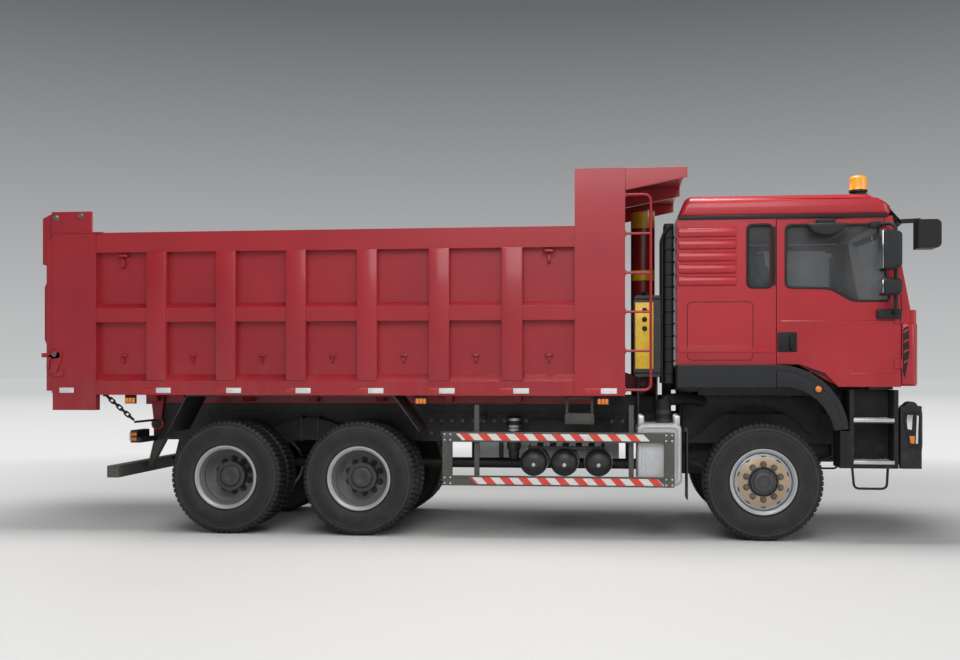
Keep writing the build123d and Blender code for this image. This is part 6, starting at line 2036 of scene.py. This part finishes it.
@dataclass
class Tanks:
    """Air tanks with valves and dryer, and fittings of the exhaust box, oil tank and fuel tank."""

    rail_y: float = 0.425
    air_x: Point = (REAR_X + 3.057, REAR_X + 3.357, REAR_X + 3.688)
    air_y: Flat = (-1.12, -0.48)
    air_z: float = 0.725
    shelf_reach: float = 0.06
    dome: Outline = (
        (0.0, 0.0), (0.045, 0.003), (0.085, 0.014), (0.112, 0.032), (0.127, 0.055), (0.1335, 0.08),
        (0.1335, 0.086), (0.135, 0.088), (0.135, 0.094), (0.1335, 0.096),
    )
    plug: Outline = (
        (0.0, -0.012), (0.009, -0.012), (0.012, -0.009), (0.012, -0.004), (0.018, -0.003), (0.018, 0.006),
        (0.0, 0.006),
    )
    strap: Outline = ((0.1355, -0.015), (0.1385, -0.015), (0.1385, 0.015), (0.1355, 0.015), (0.1355, -0.015))
    union: Outline = (
        (0.0, -0.03), (0.011, -0.03), (0.011, -0.012), (0.016, -0.01), (0.016, 0.02), (0.0, 0.02),
    )
    valves: int = 6
    dryer: Point = (REAR_X + 2.825, -0.55, 0.72)
    canister: Outline = (
        (0.0, 0.0), (0.03, 0.0), (0.05, 0.02), (0.056, 0.05), (0.056, 0.09), (0.068, 0.1), (0.072, 0.12),
        (0.072, 0.22), (0.06, 0.232), (0.06, 0.29), (0.066, 0.3), (0.066, 0.34), (0.07, 0.345), (0.07, 0.42),
        (0.055, 0.438), (0.0, 0.44),
    )
    ring: Outline = (
        (0.068, -0.014), (0.0745, -0.012), (0.0745, 0.012), (0.068, 0.014), (0.05, 0.014), (0.05, -0.014),
        (0.068, -0.014),
    )
    ring_z: tuple[float, ...] = (0.235, 0.3, 0.335, 0.405)
    # The exhaust box's face: its ends, its heights and the corners of its rim and of the bead inside that
    box_x: Flat = (FRONT_X - 1.194, FRONT_X - 0.767)
    box_z: Flat = (0.519, 1.114)
    box_y: float = -1.186
    latch_x: Flat = (FRONT_X - 1.15, FRONT_X - 0.81)
    latch_bolt: Outline = ((0.0, 0.07), (0.012, 0.07), (0.012, 0.085), (0.0, 0.085))
    elbow: tuple[Point, ...] = (
        (FRONT_X - 0.93, -0.9, 1.1), (FRONT_X - 0.93, -0.9, 1.335), (FRONT_X - 0.7, -0.62, 1.345),
        (FRONT_X - 0.45, -0.33, 1.3),
    )
    clamp: Outline = ((0.058, -0.016), (0.078, -0.016), (0.078, 0.016), (0.058, 0.016), (0.058, -0.016))
    clamp_z: Flat = (1.135, 1.22)
    oil_y: float = -1.0
    oil_cap: Outline = (
        (0.0, -0.022), (0.02, -0.022), (0.024, -0.018), (0.024, -0.006), (0.028, -0.004), (0.028, 0.004),
        (0.0, 0.004),
    )
    oil_cap_z: Point = (2.03, 2.12, 2.21)
    oil_filler: Outline = (
        (0.0, 0.05), (0.05, 0.05), (0.056, 0.044), (0.056, 0.02), (0.046, 0.018), (0.046, -0.004),
        (0.0, -0.004),
    )
    oil_band_x: Flat = (FRONT_X - 1.222, FRONT_X - 0.938)
    oil_band_y: Flat = (-1.002, -0.448)
    fuel_x: Flat = (REAR_X + 2.3, REAR_X + 3.9)
    # The fuel straps' corners in Y and Z
    fuel_band: Outline = ((0.482, 1.093), (1.153, 1.093), (1.153, 0.557), (0.482, 0.557))
    fuel_cap: Outline = (
        (0.0, 0.045), (0.045, 0.045), (0.052, 0.038), (0.052, 0.012), (0.06, 0.01), (0.06, -0.004),
        (0.0, -0.004),
    )

    def build(self) -> None:
        """Makes the tanks' pieces."""
        self._air_tanks()
        self._valves()
        self._dryer()
        self._exhaust()
        self._oil_tank()
        self._fuel_tank()

    def _air_tanks(self) -> None:
        """Three domed tanks under a shelf, with welded seams, straps and drain plugs."""
        y0, y1 = self.air_y
        profile = [(radius, y0 + place) for radius, place in self.dome]
        profile += [(radius, y1 - place) for radius, place in reversed(self.dome)]
        tank = Bench.turned(profile, (0.0, 0.0, self.air_z), Axis.Y, 48, 40.0)
        low, high = self.air_x[0] - self.shelf_reach, self.air_x[-1] + self.shelf_reach
        parts = [
            Bench.row(tank, [(x, 0.0, 0.0) for x in self.air_x]),
            Bench.block((low, y0 + 0.1, 0.852), (high, -self.rail_y, 0.877), 0.004),
            Bench.block((low, -self.rail_y - 0.025, 0.852), (high, -self.rail_y, 1.13), 0.004),
        ]
        dress("air_tank_set", parts, TANK_BLACK, "chassis", "air_tanks")
        parts = []
        for x in self.air_x:
            parts.append(Bench.turned(self.plug, (x + 0.004, y0, self.air_z - 0.02), Axis.Y, 16))
            for y in (y0 + 0.17, y1 - 0.17):
                parts.append(Bench.turned(self.strap, (x, y, self.air_z), Axis.Y, 40))
        dress("tank_straps", [Bench.smooth(Bench.join(parts), 40.0)], ALLOY, "chassis")

    def _valves(self) -> None:
        """Small brake valves and pipe unions in a row on the tanks' shelf, and the pipes to the rail."""
        edge = self.air_y[0]
        low, high = self.air_x[0] - self.shelf_reach, self.air_x[-1] + self.shelf_reach
        body = Bench.block((-0.035, edge + 0.11, 0.875), (0.035, edge + 0.18, 0.93), 0.01, 3)
        joint = Bench.turned(self.union, (0.012, edge + 0.11, 0.902), Axis.Y, 12)
        shifts = [(low + (high - low) * (step + 0.5) / self.valves, 0.0, 0.0) for step in range(self.valves)]
        dress("brake_valves", [Bench.row(Bench.join([body, joint]), shifts)], STEEL, "chassis")
        pipes = []
        for step, x in enumerate(self.air_x):
            y, z = edge + 0.2, 0.915 + 0.012 * step
            pipes.append(Bench.tube([(x, y, 0.85), (x, y, z), (x, -self.rail_y - 0.04, z)], 0.007, 0.02))
        dress("brake_pipes", pipes, TRIM_BLACK, "chassis")

    def _dryer(self) -> None:
        """The stacked air dryer on its plate: dark canisters between bright rings."""
        x, y, z = self.dryer
        stack = Bench.turned(self.canister, self.dryer, Axis.Z, 36, 35.0)
        plate = Bench.block((x - 0.04, y, 0.95), (x + 0.04, -self.rail_y, 1.13), 0.004)
        dress("air_dryer", [stack, plate], TANK_BLACK, "chassis")
        rings = [Bench.turned(self.ring, (x, y, z + rise), Axis.Z, 36, 35.0) for rise in self.ring_z]
        dress("dryer_rings", rings, ALLOY, "chassis")

    def _exhaust(self) -> None:
        """The exhaust box's raised rim, bead and latches, and the pipe that bends in to the engine."""
        (x0, x1), (z0, z1) = self.box_x, self.box_z
        parts = []
        for inset, bar, bend in ((0.03, 0.017, 0.06), (0.08, 0.007, 0.04)):
            back, front, low, high = x0 + inset, x1 - inset, z0 + inset, z1 - inset
            corners = ((back, low), (front, low), (front, high), (back, high))
            parts.append(Bench.tube(upright(corners, self.box_y, 0.0), bar, bend, closed=True))
        dress("exhaust_box_rim", parts, BOX_GREY, "chassis")
        parts = []
        for x in self.latch_x:
            for y in (-1.1, -0.8):
                corner = (x + 0.028, y + 0.03, z1 + 0.075)
                parts.append(Bench.block((x - 0.028, y - 0.03, z1 - 0.02), corner, 0.008))
                parts.append(Bench.turned(self.latch_bolt, (x, y, z1), Axis.Z, 6))
        dress("exhaust_latches", parts, ALLOY, "chassis")
        x, y, _ = self.elbow[0]
        parts = [Bench.tube(self.elbow, 0.06, 0.1)]
        parts.extend(Bench.turned(self.clamp, (x, y, z), Axis.Z, 32) for z in self.clamp_z)
        dress("exhaust_elbow", parts, TANK_BLACK, "chassis")

    def _oil_tank(self) -> None:
        """The oil tank's yellow panel with three plain caps, its bands and filler."""
        y = self.oil_y
        panel = Bench.block((FRONT_X - 1.205, y - 0.006, 1.64), (FRONT_X - 1.03, y + 0.002, 2.285), 0.003)
        dress("tank_panel", [panel], YELLOW, "chassis")
        parts = [Bench.turned(self.oil_cap, (FRONT_X - 1.115, y, z), Axis.Y, 24) for z in self.oil_cap_z]
        parts.append(Bench.turned(self.oil_filler, (FRONT_X - 1.08, -0.72, 2.355), Axis.Z, 28))
        (x0, x1), (y0, y1) = self.oil_band_x, self.oil_band_y
        for z in (1.6, 2.32):
            band = [(x0, y0, z), (x1, y0, z), (x1, y1, z), (x0, y1, z)]
            parts.append(Bench.tube(band, 0.008, 0.02, closed=True))
        dress("tank_caps", [Bench.smooth(Bench.join(parts), 40.0)], TRIM_BLACK, "chassis")

    def _fuel_tank(self) -> None:
        """Straps and the filler cap on the fuel tank."""
        x0, x1 = self.fuel_x
        straps = []
        for x in (x0 + 0.3, x1 - 0.3):
            for shift in (-0.018, 0.0, 0.018):
                band = [(x + shift, y, z) for y, z in self.fuel_band]
                straps.append(Bench.tube(band, 0.009, 0.03, closed=True))
        dress("fuel_straps", straps, STEEL, "chassis")
        filler = Bench.turned(self.fuel_cap, (x1 - 0.18, 1.02, 1.09), Axis.Z, 28, 35.0)
        dress("fuel_filler", [filler], TRIM_BLACK, "chassis")


@dataclass
class NoseFittings:
    """Headlamps, step treads, fog lamps and the blank plate at the front."""

    corner_x: float = FRONT_X + 1.425
    bow: float = 0.075
    half_width: float = 1.235
    lamp_y: Flat = (0.76, 1.18)
    lamp_z: Flat = (0.866, 1.26)
    lamp_back: float = FRONT_X + 1.352
    bowl: Outline = (
        (0.012, 0.004), (0.03, 0.008), (0.055, 0.022), (0.075, 0.045), (0.084, 0.062), (0.09, 0.062),
        (0.08, 0.04), (0.058, 0.014), (0.03, 0.0), (0.012, -0.002), (0.012, 0.004),
    )
    bowls: Outline = ((0.87, 1.135), (1.065, 1.135), (0.87, 0.965))
    bulb: Outline = ((0.0, 0.05), (0.012, 0.046), (0.015, 0.03), (0.014, 0.0), (0.0, 0.0))
    # The lamps' sides round the bumper's corners, and each chamber's name, finish and corners
    wrap: Outline = ((1.315, 0.905), (1.402, 0.905), (1.412, 1.24), (1.28, 1.24), (1.262, 1.16))
    chambers: tuple[tuple[str, Finish, Outline], ...] = (
        ("clear", CHROME, ((1.296, 1.075), (1.336, 1.07), (1.342, 1.208), (1.3, 1.212), (1.288, 1.165))),
        ("side", CLEAR_LENS, ((1.37, 0.942), (1.389, 0.94), (1.397, 1.2), (1.38, 1.205))),
        ("amber", AMBER, ((1.322, 0.945), (1.358, 0.942), (1.362, 1.012), (1.314, 1.014))),
    )
    tread_x: Flat = (FRONT_X + 0.82, FRONT_X + 1.17)
    tread_z: Flat = (0.773, 1.166)
    stud: Outline = ((0.0, 0.006), (0.006, 0.006), (0.009, 0.0), (0.0, 0.0))
    loop: Outline = ((0.805, 0.715), (0.822, 0.5165), (1.118, 0.5165), (1.128, 0.715))
    loop_y: float = 1.2
    horn: Outline = (
        (1.258, 1.26), (1.408, 1.26), (1.378, 1.318), (1.35, 1.334), (1.31, 1.33), (1.272, 1.292),
    )
    fog_place: Flat = (0.95, 0.79)
    fog: Outline = ((0.0, 0.012), (0.04, 0.011), (0.058, 0.006), (0.062, 0.0), (0.062, -0.02), (0.0, -0.02))
    fog_rim: Outline = (
        (0.062, 0.01), (0.072, 0.008), (0.076, 0.0), (0.076, -0.02), (0.062, -0.02), (0.062, 0.01),
    )
    slat_z: tuple[float, ...] = (0.8, 0.82, 0.84, 1.1, 1.13, 1.16)
    slat_y: tuple[float, ...] = (-0.61, -0.3, 0.0, 0.3, 0.61)

    def build(self) -> None:
        """Makes the nose's fittings."""
        self._headlamps(body_of("headlamps"))
        self._wraps(body_of("headlamps"))
        self._treads(body_of("entry_steps"))
        self._bumper(body_of("bumper"))

    def face(self, y: float) -> float:
        """The bumper's face along X at a place across it."""
        return self.corner_x + self.bow * (1.0 - (y / self.half_width) ** 2)

    def _headlamps(self, body: str) -> None:
        """Clear covers over a black pocket with three bright bowls and an amber indicator.

        Args:
            body: the body that the lamps ride on.
        """
        cover = Bench.soften(Bench.node_copy("headlamps"), 0.02, 4)
        dress("headlamp_covers", [cover], LAMP_GLASS, body, "headlamps")
        (y0, y1), (z0, z1), back = self.lamp_y, self.lamp_z, self.lamp_back
        pocket = Bench.block((back, y0 + 0.012, z0 + 0.012), (back + 0.03, y1 - 0.012, z1 - 0.012), 0.01)
        near, far, low, high = y0 + 0.02, y1 - 0.02, z0 + 0.02, z1 - 0.02
        corners = ((near, low), (far, low), (far, high), (near, high))
        rim = Bench.tube([(self.face(y) + 0.004, y, z) for y, z in corners], 0.012, 0.05, closed=True)
        dress("lamp_pockets_pair", Bench.pair(pocket, rim), TRIM_BLACK, body)
        front = back + 0.03
        parts = [Bench.turned(self.bowl, (front, y, z), Axis.X, 36) for y, z in self.bowls]
        parts.extend(Bench.turned(self.bulb, (front, y, z), Axis.X, 18) for y, z in self.bowls[:2])
        dress("lamp_bowls_pair", Bench.pair(Bench.smooth(Bench.join(parts), 40.0)), CHROME, body)
        amber = Bench.block((front, 0.985, 0.905), (back + 0.068, 1.15, 1.02), 0.016, 3)
        dress("indicator_pair", Bench.pair(amber), AMBER, body)

    def _wraps(self, body: str) -> None:
        """The lamps' sides that wrap round the bumper's corners, with their chambers.

        Args:
            body: the body that the lamps ride on.
        """
        y = self.half_width
        rim = Bench.tube(upright(self.wrap, y), 0.006, 0.022, closed=True)
        plate = Bench.prism(upright(self.wrap, y - 0.01), (0.0, 0.012, 0.0))
        dress("wrap_pair", Bench.pair(rim, plate), TRIM_BLACK, body)
        for word, finish, corners in self.chambers:
            chamber = Bench.prism(upright(corners, y - 0.006), (0.0, 0.012, 0.0), 0.004, 3)
            dress(f"wrap_{word}_pair", Bench.pair(chamber), finish, body)

    def _treads(self, body: str) -> None:
        """Bright treads with raised studs on both steps of each side, and the bent loops under them.

        Args:
            body: the body that the steps ride on.
        """
        x0, x1 = self.tread_x
        columns = [x0 + 0.03 + 0.0415 * step for step in range(8)]
        shifts = [(x, 1.03 + 0.05 * line, 0.006) for x in columns for line in range(4)]
        parts = [
            Bench.block((x0 - 0.01, 1.005, -0.001), (x1 + 0.01, 1.242, 0.006), 0.002),
            Bench.block((x0 - 0.01, 1.226, -0.026), (x1 + 0.01, 1.2435, 0.006), 0.004),
            Bench.row(Bench.turned(self.stud, ORIGIN, Axis.Z, 10), shifts),
        ]
        treads = Bench.row(Bench.join(parts), [(0.0, 0.0, z) for z in self.tread_z])
        dress("step_treads_pair", Bench.pair(treads), ALLOY, body)
        loop = Bench.tube(upright(self.loop, self.loop_y), 0.0115, 0.05)
        dress("step_loop_pair", Bench.pair(loop), TRIM_BLACK, body)

    def _bumper(self, body: str) -> None:
        """Fog lamps, slats in the openings, the horns at the corners and a blank plate.

        Args:
            body: the body that the bumper rides on.
        """
        y, z = self.fog_place
        place = (self.face(y), y, z)
        dress("fog_pair", Bench.pair(Bench.turned(self.fog, place, Axis.X, 32, 35.0)), CLEAR_LENS, body)
        parts = Bench.pair(Bench.turned(self.fog_rim, place, Axis.X, 32, 35.0))
        for z in self.slat_z:
            parts.append(Bench.tube([(self.face(y) - 0.014, y, z) for y in self.slat_y], 0.007))
        dress("bumper_slats", parts, TRIM_BLACK, body)
        horn = Bench.prism(upright(self.horn, 1.07), (0.0, 0.163, 0.0), 0.014, 4)
        dress("bumper_horn_pair", Bench.pair(horn), PLASTIC, body)
        corner = (self.face(0.0) + 0.006, 0.26, 1.025)
        plate = Bench.block((self.face(0.26) - 0.004, -0.26, 0.91), corner, 0.006)
        dress("blank_plate", [plate], WHITE_TAPE, body)


@dataclass
class CabInterior:
    """Dashboard, steering wheel, two sprung seats and the bunk behind them."""

    seat_x: float = FRONT_X + 0.06
    seat_y: float = 0.56
    seat_half: float = 0.26
    cushion_z: Flat = (1.98, 2.13)
    floor_z: float = 1.734
    back_lean: float = math.radians(8.5)
    bunk_x: Flat = (FRONT_X - 0.752, FRONT_X - 0.2)
    bunk_half: float = 1.085
    bunk_top: float = 2.08
    quilts: int = 3
    wheel: Point = (FRONT_X + 0.78, 0.56, 2.33)
    wheel_radius: float = 0.214
    wheel_steps: int = 40
    wheel_lean: float = math.radians(27.0)
    spoke: float = 0.205
    spokes: Point = (math.pi / 2, -math.pi / 2, math.pi)
    wheel_hub: Outline = (
        (0.0, 0.028), (0.05, 0.025), (0.068, 0.012), (0.072, -0.012), (0.045, -0.03), (0.032, -0.04),
        (0.032, -0.7), (0.0, -0.7),
    )
    dash_x: float = FRONT_X + 1.0
    dash_half: float = 1.084
    # The shelf's and the hood's sections, with X from the dashboard's rear edge
    shelf: Outline = ((0.284, 1.88), (0.0, 2.0), (0.02, 2.11), (0.06, 2.17), (0.284, 2.18))
    hood: Outline = ((-0.03, 2.17), (0.02, 2.24), (0.16, 2.23), (0.2, 2.16))
    hood_y: Flat = (0.27, 0.58)
    vent_y: tuple[float, ...] = (-0.9, -0.35, 0.05, 0.95)

    def build(self) -> None:
        """Fits the cab out."""
        self._dash()
        self._steering()
        for side in Side:
            self._seat(side)
        self._bunk()

    @staticmethod
    def pad(low: Point, high: Point, crown: float) -> Piece:
        """A stuffed pad: a subdivided block with round edges and a crowned face.

        Args:
            low: its lowest corner.
            high: its highest corner.
            crown: how far it is drawn towards a ball, from 0 to 1.

        Returns:
            The pad.
        """
        piece = Bench.block(low, high)
        Bench.pick(piece, edit=True)
        bpy.ops.mesh.subdivide(number_cuts=5)
        bpy.ops.transform.tosphere(value=crown)
        bpy.ops.object.mode_set(mode="OBJECT")
        Bench.apply(piece, "SUBSURF", levels=2, render_levels=2)
        # The subdivided pad is stretched back to its two corners
        fit = []
        for axis in range(3):
            places = [vertex.co[axis] for vertex in piece.data.vertices]
            fit.append((high[axis] - low[axis]) / (max(places) - min(places)))
        middle = Vector([(a + b) / 2 for a, b in zip(low, high)])
        stretch = Matrix.Diagonal((*fit, 1.0))
        piece.data.transform(Matrix.Translation(middle) @ stretch @ Matrix.Translation(-middle))
        Bench.pick(piece)
        bpy.ops.object.shade_smooth()
        return piece

    def _dash(self) -> None:
        """The dashboard with its hood, vents and a blank dial panel."""
        x, half = self.dash_x, self.dash_half
        hood_start, hood_width = self.hood_y
        shelf = Bench.prism(upright(self.shelf, -half, x), (0.0, 2 * half, 0.0), 0.02, 4)
        hood = Bench.prism(upright(self.hood, hood_start, x), (0.0, hood_width, 0.0), 0.02, 4)
        dress("dashboard", [shelf, hood], TRIM_GREY, "cab", "cab_interior")
        slat = Bench.block((0.0, -0.06, 0.0), (0.012, 0.06, 0.008), 0.002)
        places = [(x + 0.004, y, 2.03 + 0.016 * step) for y in self.vent_y for step in range(4)]
        panel = Bench.block((x - 0.004, 0.32, 2.1), (x + 0.03, 0.8, 2.2), 0.006)
        dress("dash_vents", [Bench.row(slat, places), panel], TRIM_BLACK, "cab")

    def _steering(self) -> None:
        """A round rim with three spokes and a padded hub, on a leaning column."""
        x, y, z = self.wheel
        turns = [FULL_TURN * step / self.wheel_steps for step in range(self.wheel_steps)]
        radius = self.wheel_radius
        rim = [(x + radius * math.cos(turn), y + radius * math.sin(turn), z) for turn in turns]
        parts = [Bench.tube(rim, 0.0155, closed=True)]
        for turn in self.spokes:
            end = (x + self.spoke * math.cos(turn), y + self.spoke * math.sin(turn), z)
            parts.append(Bench.tube([(x, y, z - 0.012), end], 0.014))
        parts.append(Bench.turned(self.wheel_hub, self.wheel, Axis.Z, 32, 40.0))
        wheel = Bench.turn(Bench.join(parts), -self.wheel_lean, Axis.Y, self.wheel)
        dress("steering_wheel", [wheel], TRIM_BLACK, "cab")

    def _seat(self, side: Side) -> None:
        """One seat: pedestal, cushion with bolsters, backrest with wings and headrest, and piping.

        Args:
            side: the truck's side.
        """
        x, y, half = self.seat_x, side.value * self.seat_y, self.seat_half
        low, high = self.cushion_z
        base = Bench.block((x + 0.02, y - 0.18, self.floor_z), (x + 0.32, y + 0.18, low + 0.01), 0.03, 3)
        tray = Bench.block((x, y - 0.24, low - 0.03), (x + 0.48, y + 0.24, low + 0.02), 0.012, 3)
        dress(f"seat_base_{side.word}", [base, tray], TRIM_BLACK, "cab")
        parts = [self.pad((x, y - half, low), (x + 0.5, y + half, high), 0.16)]
        for edge in (y - 0.82 * half, y + 0.82 * half):
            corner = (x + 0.48, edge + 0.05, high + 0.02)
            parts.append(self.pad((x + 0.03, edge - 0.05, low + 0.02), corner, 0.2))
        seat = dress(f"seat_cushion_{side.word}", parts, SEAT_CLOTH, "cab")
        parts = [self.pad((x, y - 0.24, high - 0.01), (x + 0.12, y + 0.24, 2.66), 0.12)]
        for edge in (y - 0.2, y + 0.2):
            corner = (x + 0.145, edge + 0.045, 2.58)
            parts.append(self.pad((x + 0.03, edge - 0.045, high + 0.04), corner, 0.2))
        parts.append(self.pad((x + 0.01, y - 0.14, 2.64), (x + 0.11, y + 0.14, 2.8), 0.25))
        rest = Bench.turn(Bench.join(parts), -self.back_lean, Axis.Y, (x + 0.06, y, high))
        dress(f"seat_back_{side.word}", [rest], SEAT_CLOTH, "cab")
        x0, x1, z, edge = x + 0.03, x + 0.475, high - 0.055, half - 0.02
        loop = [(x0, y - edge, z), (x1, y - edge, z), (x1, y + edge, z), (x0, y + edge, z)]
        dress(f"seat_piping_{side.word}", [Bench.tube(loop, 0.005, 0.05, closed=True)], SEAL, "cab")

    def _bunk(self) -> None:
        """A boxed bunk base with a quilted mattress in three panels."""
        (x0, x1), half, top = self.bunk_x, self.bunk_half, self.bunk_top
        base = Bench.block((x0, -half, self.floor_z), (x1, half, top - 0.13), 0.015, 3)
        dress("bunk_base", [base], TRIM_GREY, "cab")
        width = 2.0 * half / self.quilts
        starts = [-half + width * step for step in range(self.quilts)]
        panels = [self.pad((x0, start, top - 0.14), (x1, start + width, top), 0.06) for start in starts]
        mattress = dress("bunk_mattress", panels, SEAT_CLOTH, "cab")


@dataclass
class Studio:
    """The floor, the soft light and the camera."""

    eye: Point = (REAR_X + 3.8, -12.5, 1.585)
    yaw: float = math.radians(6.632)
    lens: float = 43.89
    sensor: float = 36.0
    shift: Flat = (0.0065, 0.0463)
    reach: float = 900.0
    floor_colour: Colour = (0.54, 0.54, 0.53, 1.0)
    floor_half: float = 400.0
    horizon: Colour = (0.55, 0.555, 0.56, 1.0)
    zenith: Colour = (0.13, 0.135, 0.145, 1.0)
    zenith_place: float = 0.3
    # The floor's own glow far from the truck
    pale: Colour = (0.8, 0.8, 0.8, 1.0)
    # The distances over which that comes, and over which it fades into the horizon
    blend: Flat = (4.5, 13.0)
    haze: Flat = (14.0, 90.0)
    # Each lamp's name, place, aim, size and power
    lamps: tuple[tuple[str, Point, Point, float, float], ...] = (
        ("key", (1.0, -10.0, 8.0), (0.0, 0.0, 1.4), 7.0, 760.0),
        ("nose", (11.0, -5.0, 5.0), (3.0, 0.0, 1.6), 5.0, 260.0),
        ("tail", (-10.0, 5.0, 7.0), (-2.0, 0.0, 1.5), 7.0, 380.0),
        ("top", (0.5, -0.6, 11.0), (0.0, 0.0, 0.0), 5.0, 1250.0),
    )

    def build(self) -> None:
        """Sets the floor, the lamps, the world and the camera."""
        scene = bpy.context.scene
        scene.view_settings.view_transform = "Standard"
        self._floor()
        self._lamps(scene)
        self._world(scene)
        self._camera(scene)

    def _floor(self) -> None:
        """A wide pale floor that keeps the truck's shadow and fades into the surround far away."""
        Bench.clear()
        bpy.ops.mesh.primitive_plane_add(size=2.0 * self.floor_half)
        floor = bpy.context.object
        floor.name = "studio_floor"
        graph = Graph("studio_floor")
        speck = graph.noise(0.8, 3.0)
        away = graph.node("ShaderNodeVectorMath", {"operation": "LENGTH"}, {0: graph.place})["Value"]
        far = away.fade(*self.blend)
        near = graph.mix(speck * 0.2, self.floor_colour, tint(self.floor_colour, 0.92))
        graph.set(Base_Color=graph.mix(far, near, tint(self.floor_colour, 0.0)), Roughness=0.6 + speck * 0.1)
        haze = graph.mix(away.fade(*self.haze), self.pale, self.horizon)
        graph.set(Emission_Color=graph.mix(far, tint(self.pale, 0.0), haze), Emission_Strength=1.0)
        floor.data.materials.append(graph.material)

    def _lamps(self, scene: bpy.types.Scene) -> None:
        """A broad key from above on the camera's side, and softer ones around.

        Args:
            scene: the scene that gets them.
        """
        for name, place, aim, size, power in self.lamps:
            light = bpy.data.lights.new(name, "AREA")
            light.size = size
            light.energy = power
            lamp = bpy.data.objects.new(name, light)
            lamp.location = place
            lamp.rotation_euler = (Vector(aim) - Vector(place)).to_track_quat("-Z", "Y").to_euler()
            scene.collection.objects.link(lamp)

    def _world(self, scene: bpy.types.Scene) -> None:
        """A grey surround, pale at the horizon and darker above.

        Args:
            scene: the scene that gets it.
        """
        world = bpy.data.worlds.new("studio")
        world.use_nodes = True
        nodes, links = world.node_tree.nodes, world.node_tree.links
        axes, ramp = nodes.new("ShaderNodeSeparateXYZ"), nodes.new("ShaderNodeValToRGB")
        links.new(nodes.new("ShaderNodeTexCoord").outputs["Generated"], axes.inputs["Vector"])
        links.new(axes.outputs["Z"], ramp.inputs["Fac"])
        links.new(ramp.outputs["Color"], nodes["Background"].inputs["Color"])
        ramp.color_ramp.elements[0].color = self.horizon
        ramp.color_ramp.elements[1].color = self.zenith
        ramp.color_ramp.elements[1].position = self.zenith_place
        scene.world = world

    def _camera(self, scene: bpy.types.Scene) -> None:
        """The photograph's viewpoint.

        Args:
            scene: the scene that gets it.
        """
        data = bpy.data.cameras.new("photo_camera")
        data.lens = self.lens
        data.sensor_width = self.sensor
        data.shift_x, data.shift_y = self.shift
        data.clip_end = self.reach
        camera = bpy.data.objects.new("photo_camera", data)
        camera.location = self.eye
        camera.rotation_euler = (math.pi / 2, 0.0, self.yaw)
        scene.collection.objects.link(camera)
        scene.camera = camera


def main() -> None:
    """Builds the sub-assemblies in order and lights the scene."""
    logging.basicConfig(level=logging.INFO, format="%(name)s %(message)s")
    assemblies = (
        PressedParts(), RunningGear(), BedFittings(), CabPanels(), DoorFittings(), CornerPanels(), Mirrors(),
        RoofFittings(), ChassisFittings(), LeafSprings(), Tanks(), NoseFittings(), CabInterior(), Studio(),
    )
    for assembly in assemblies:
        assembly.build()


if __name__ == "__main__":
    main()
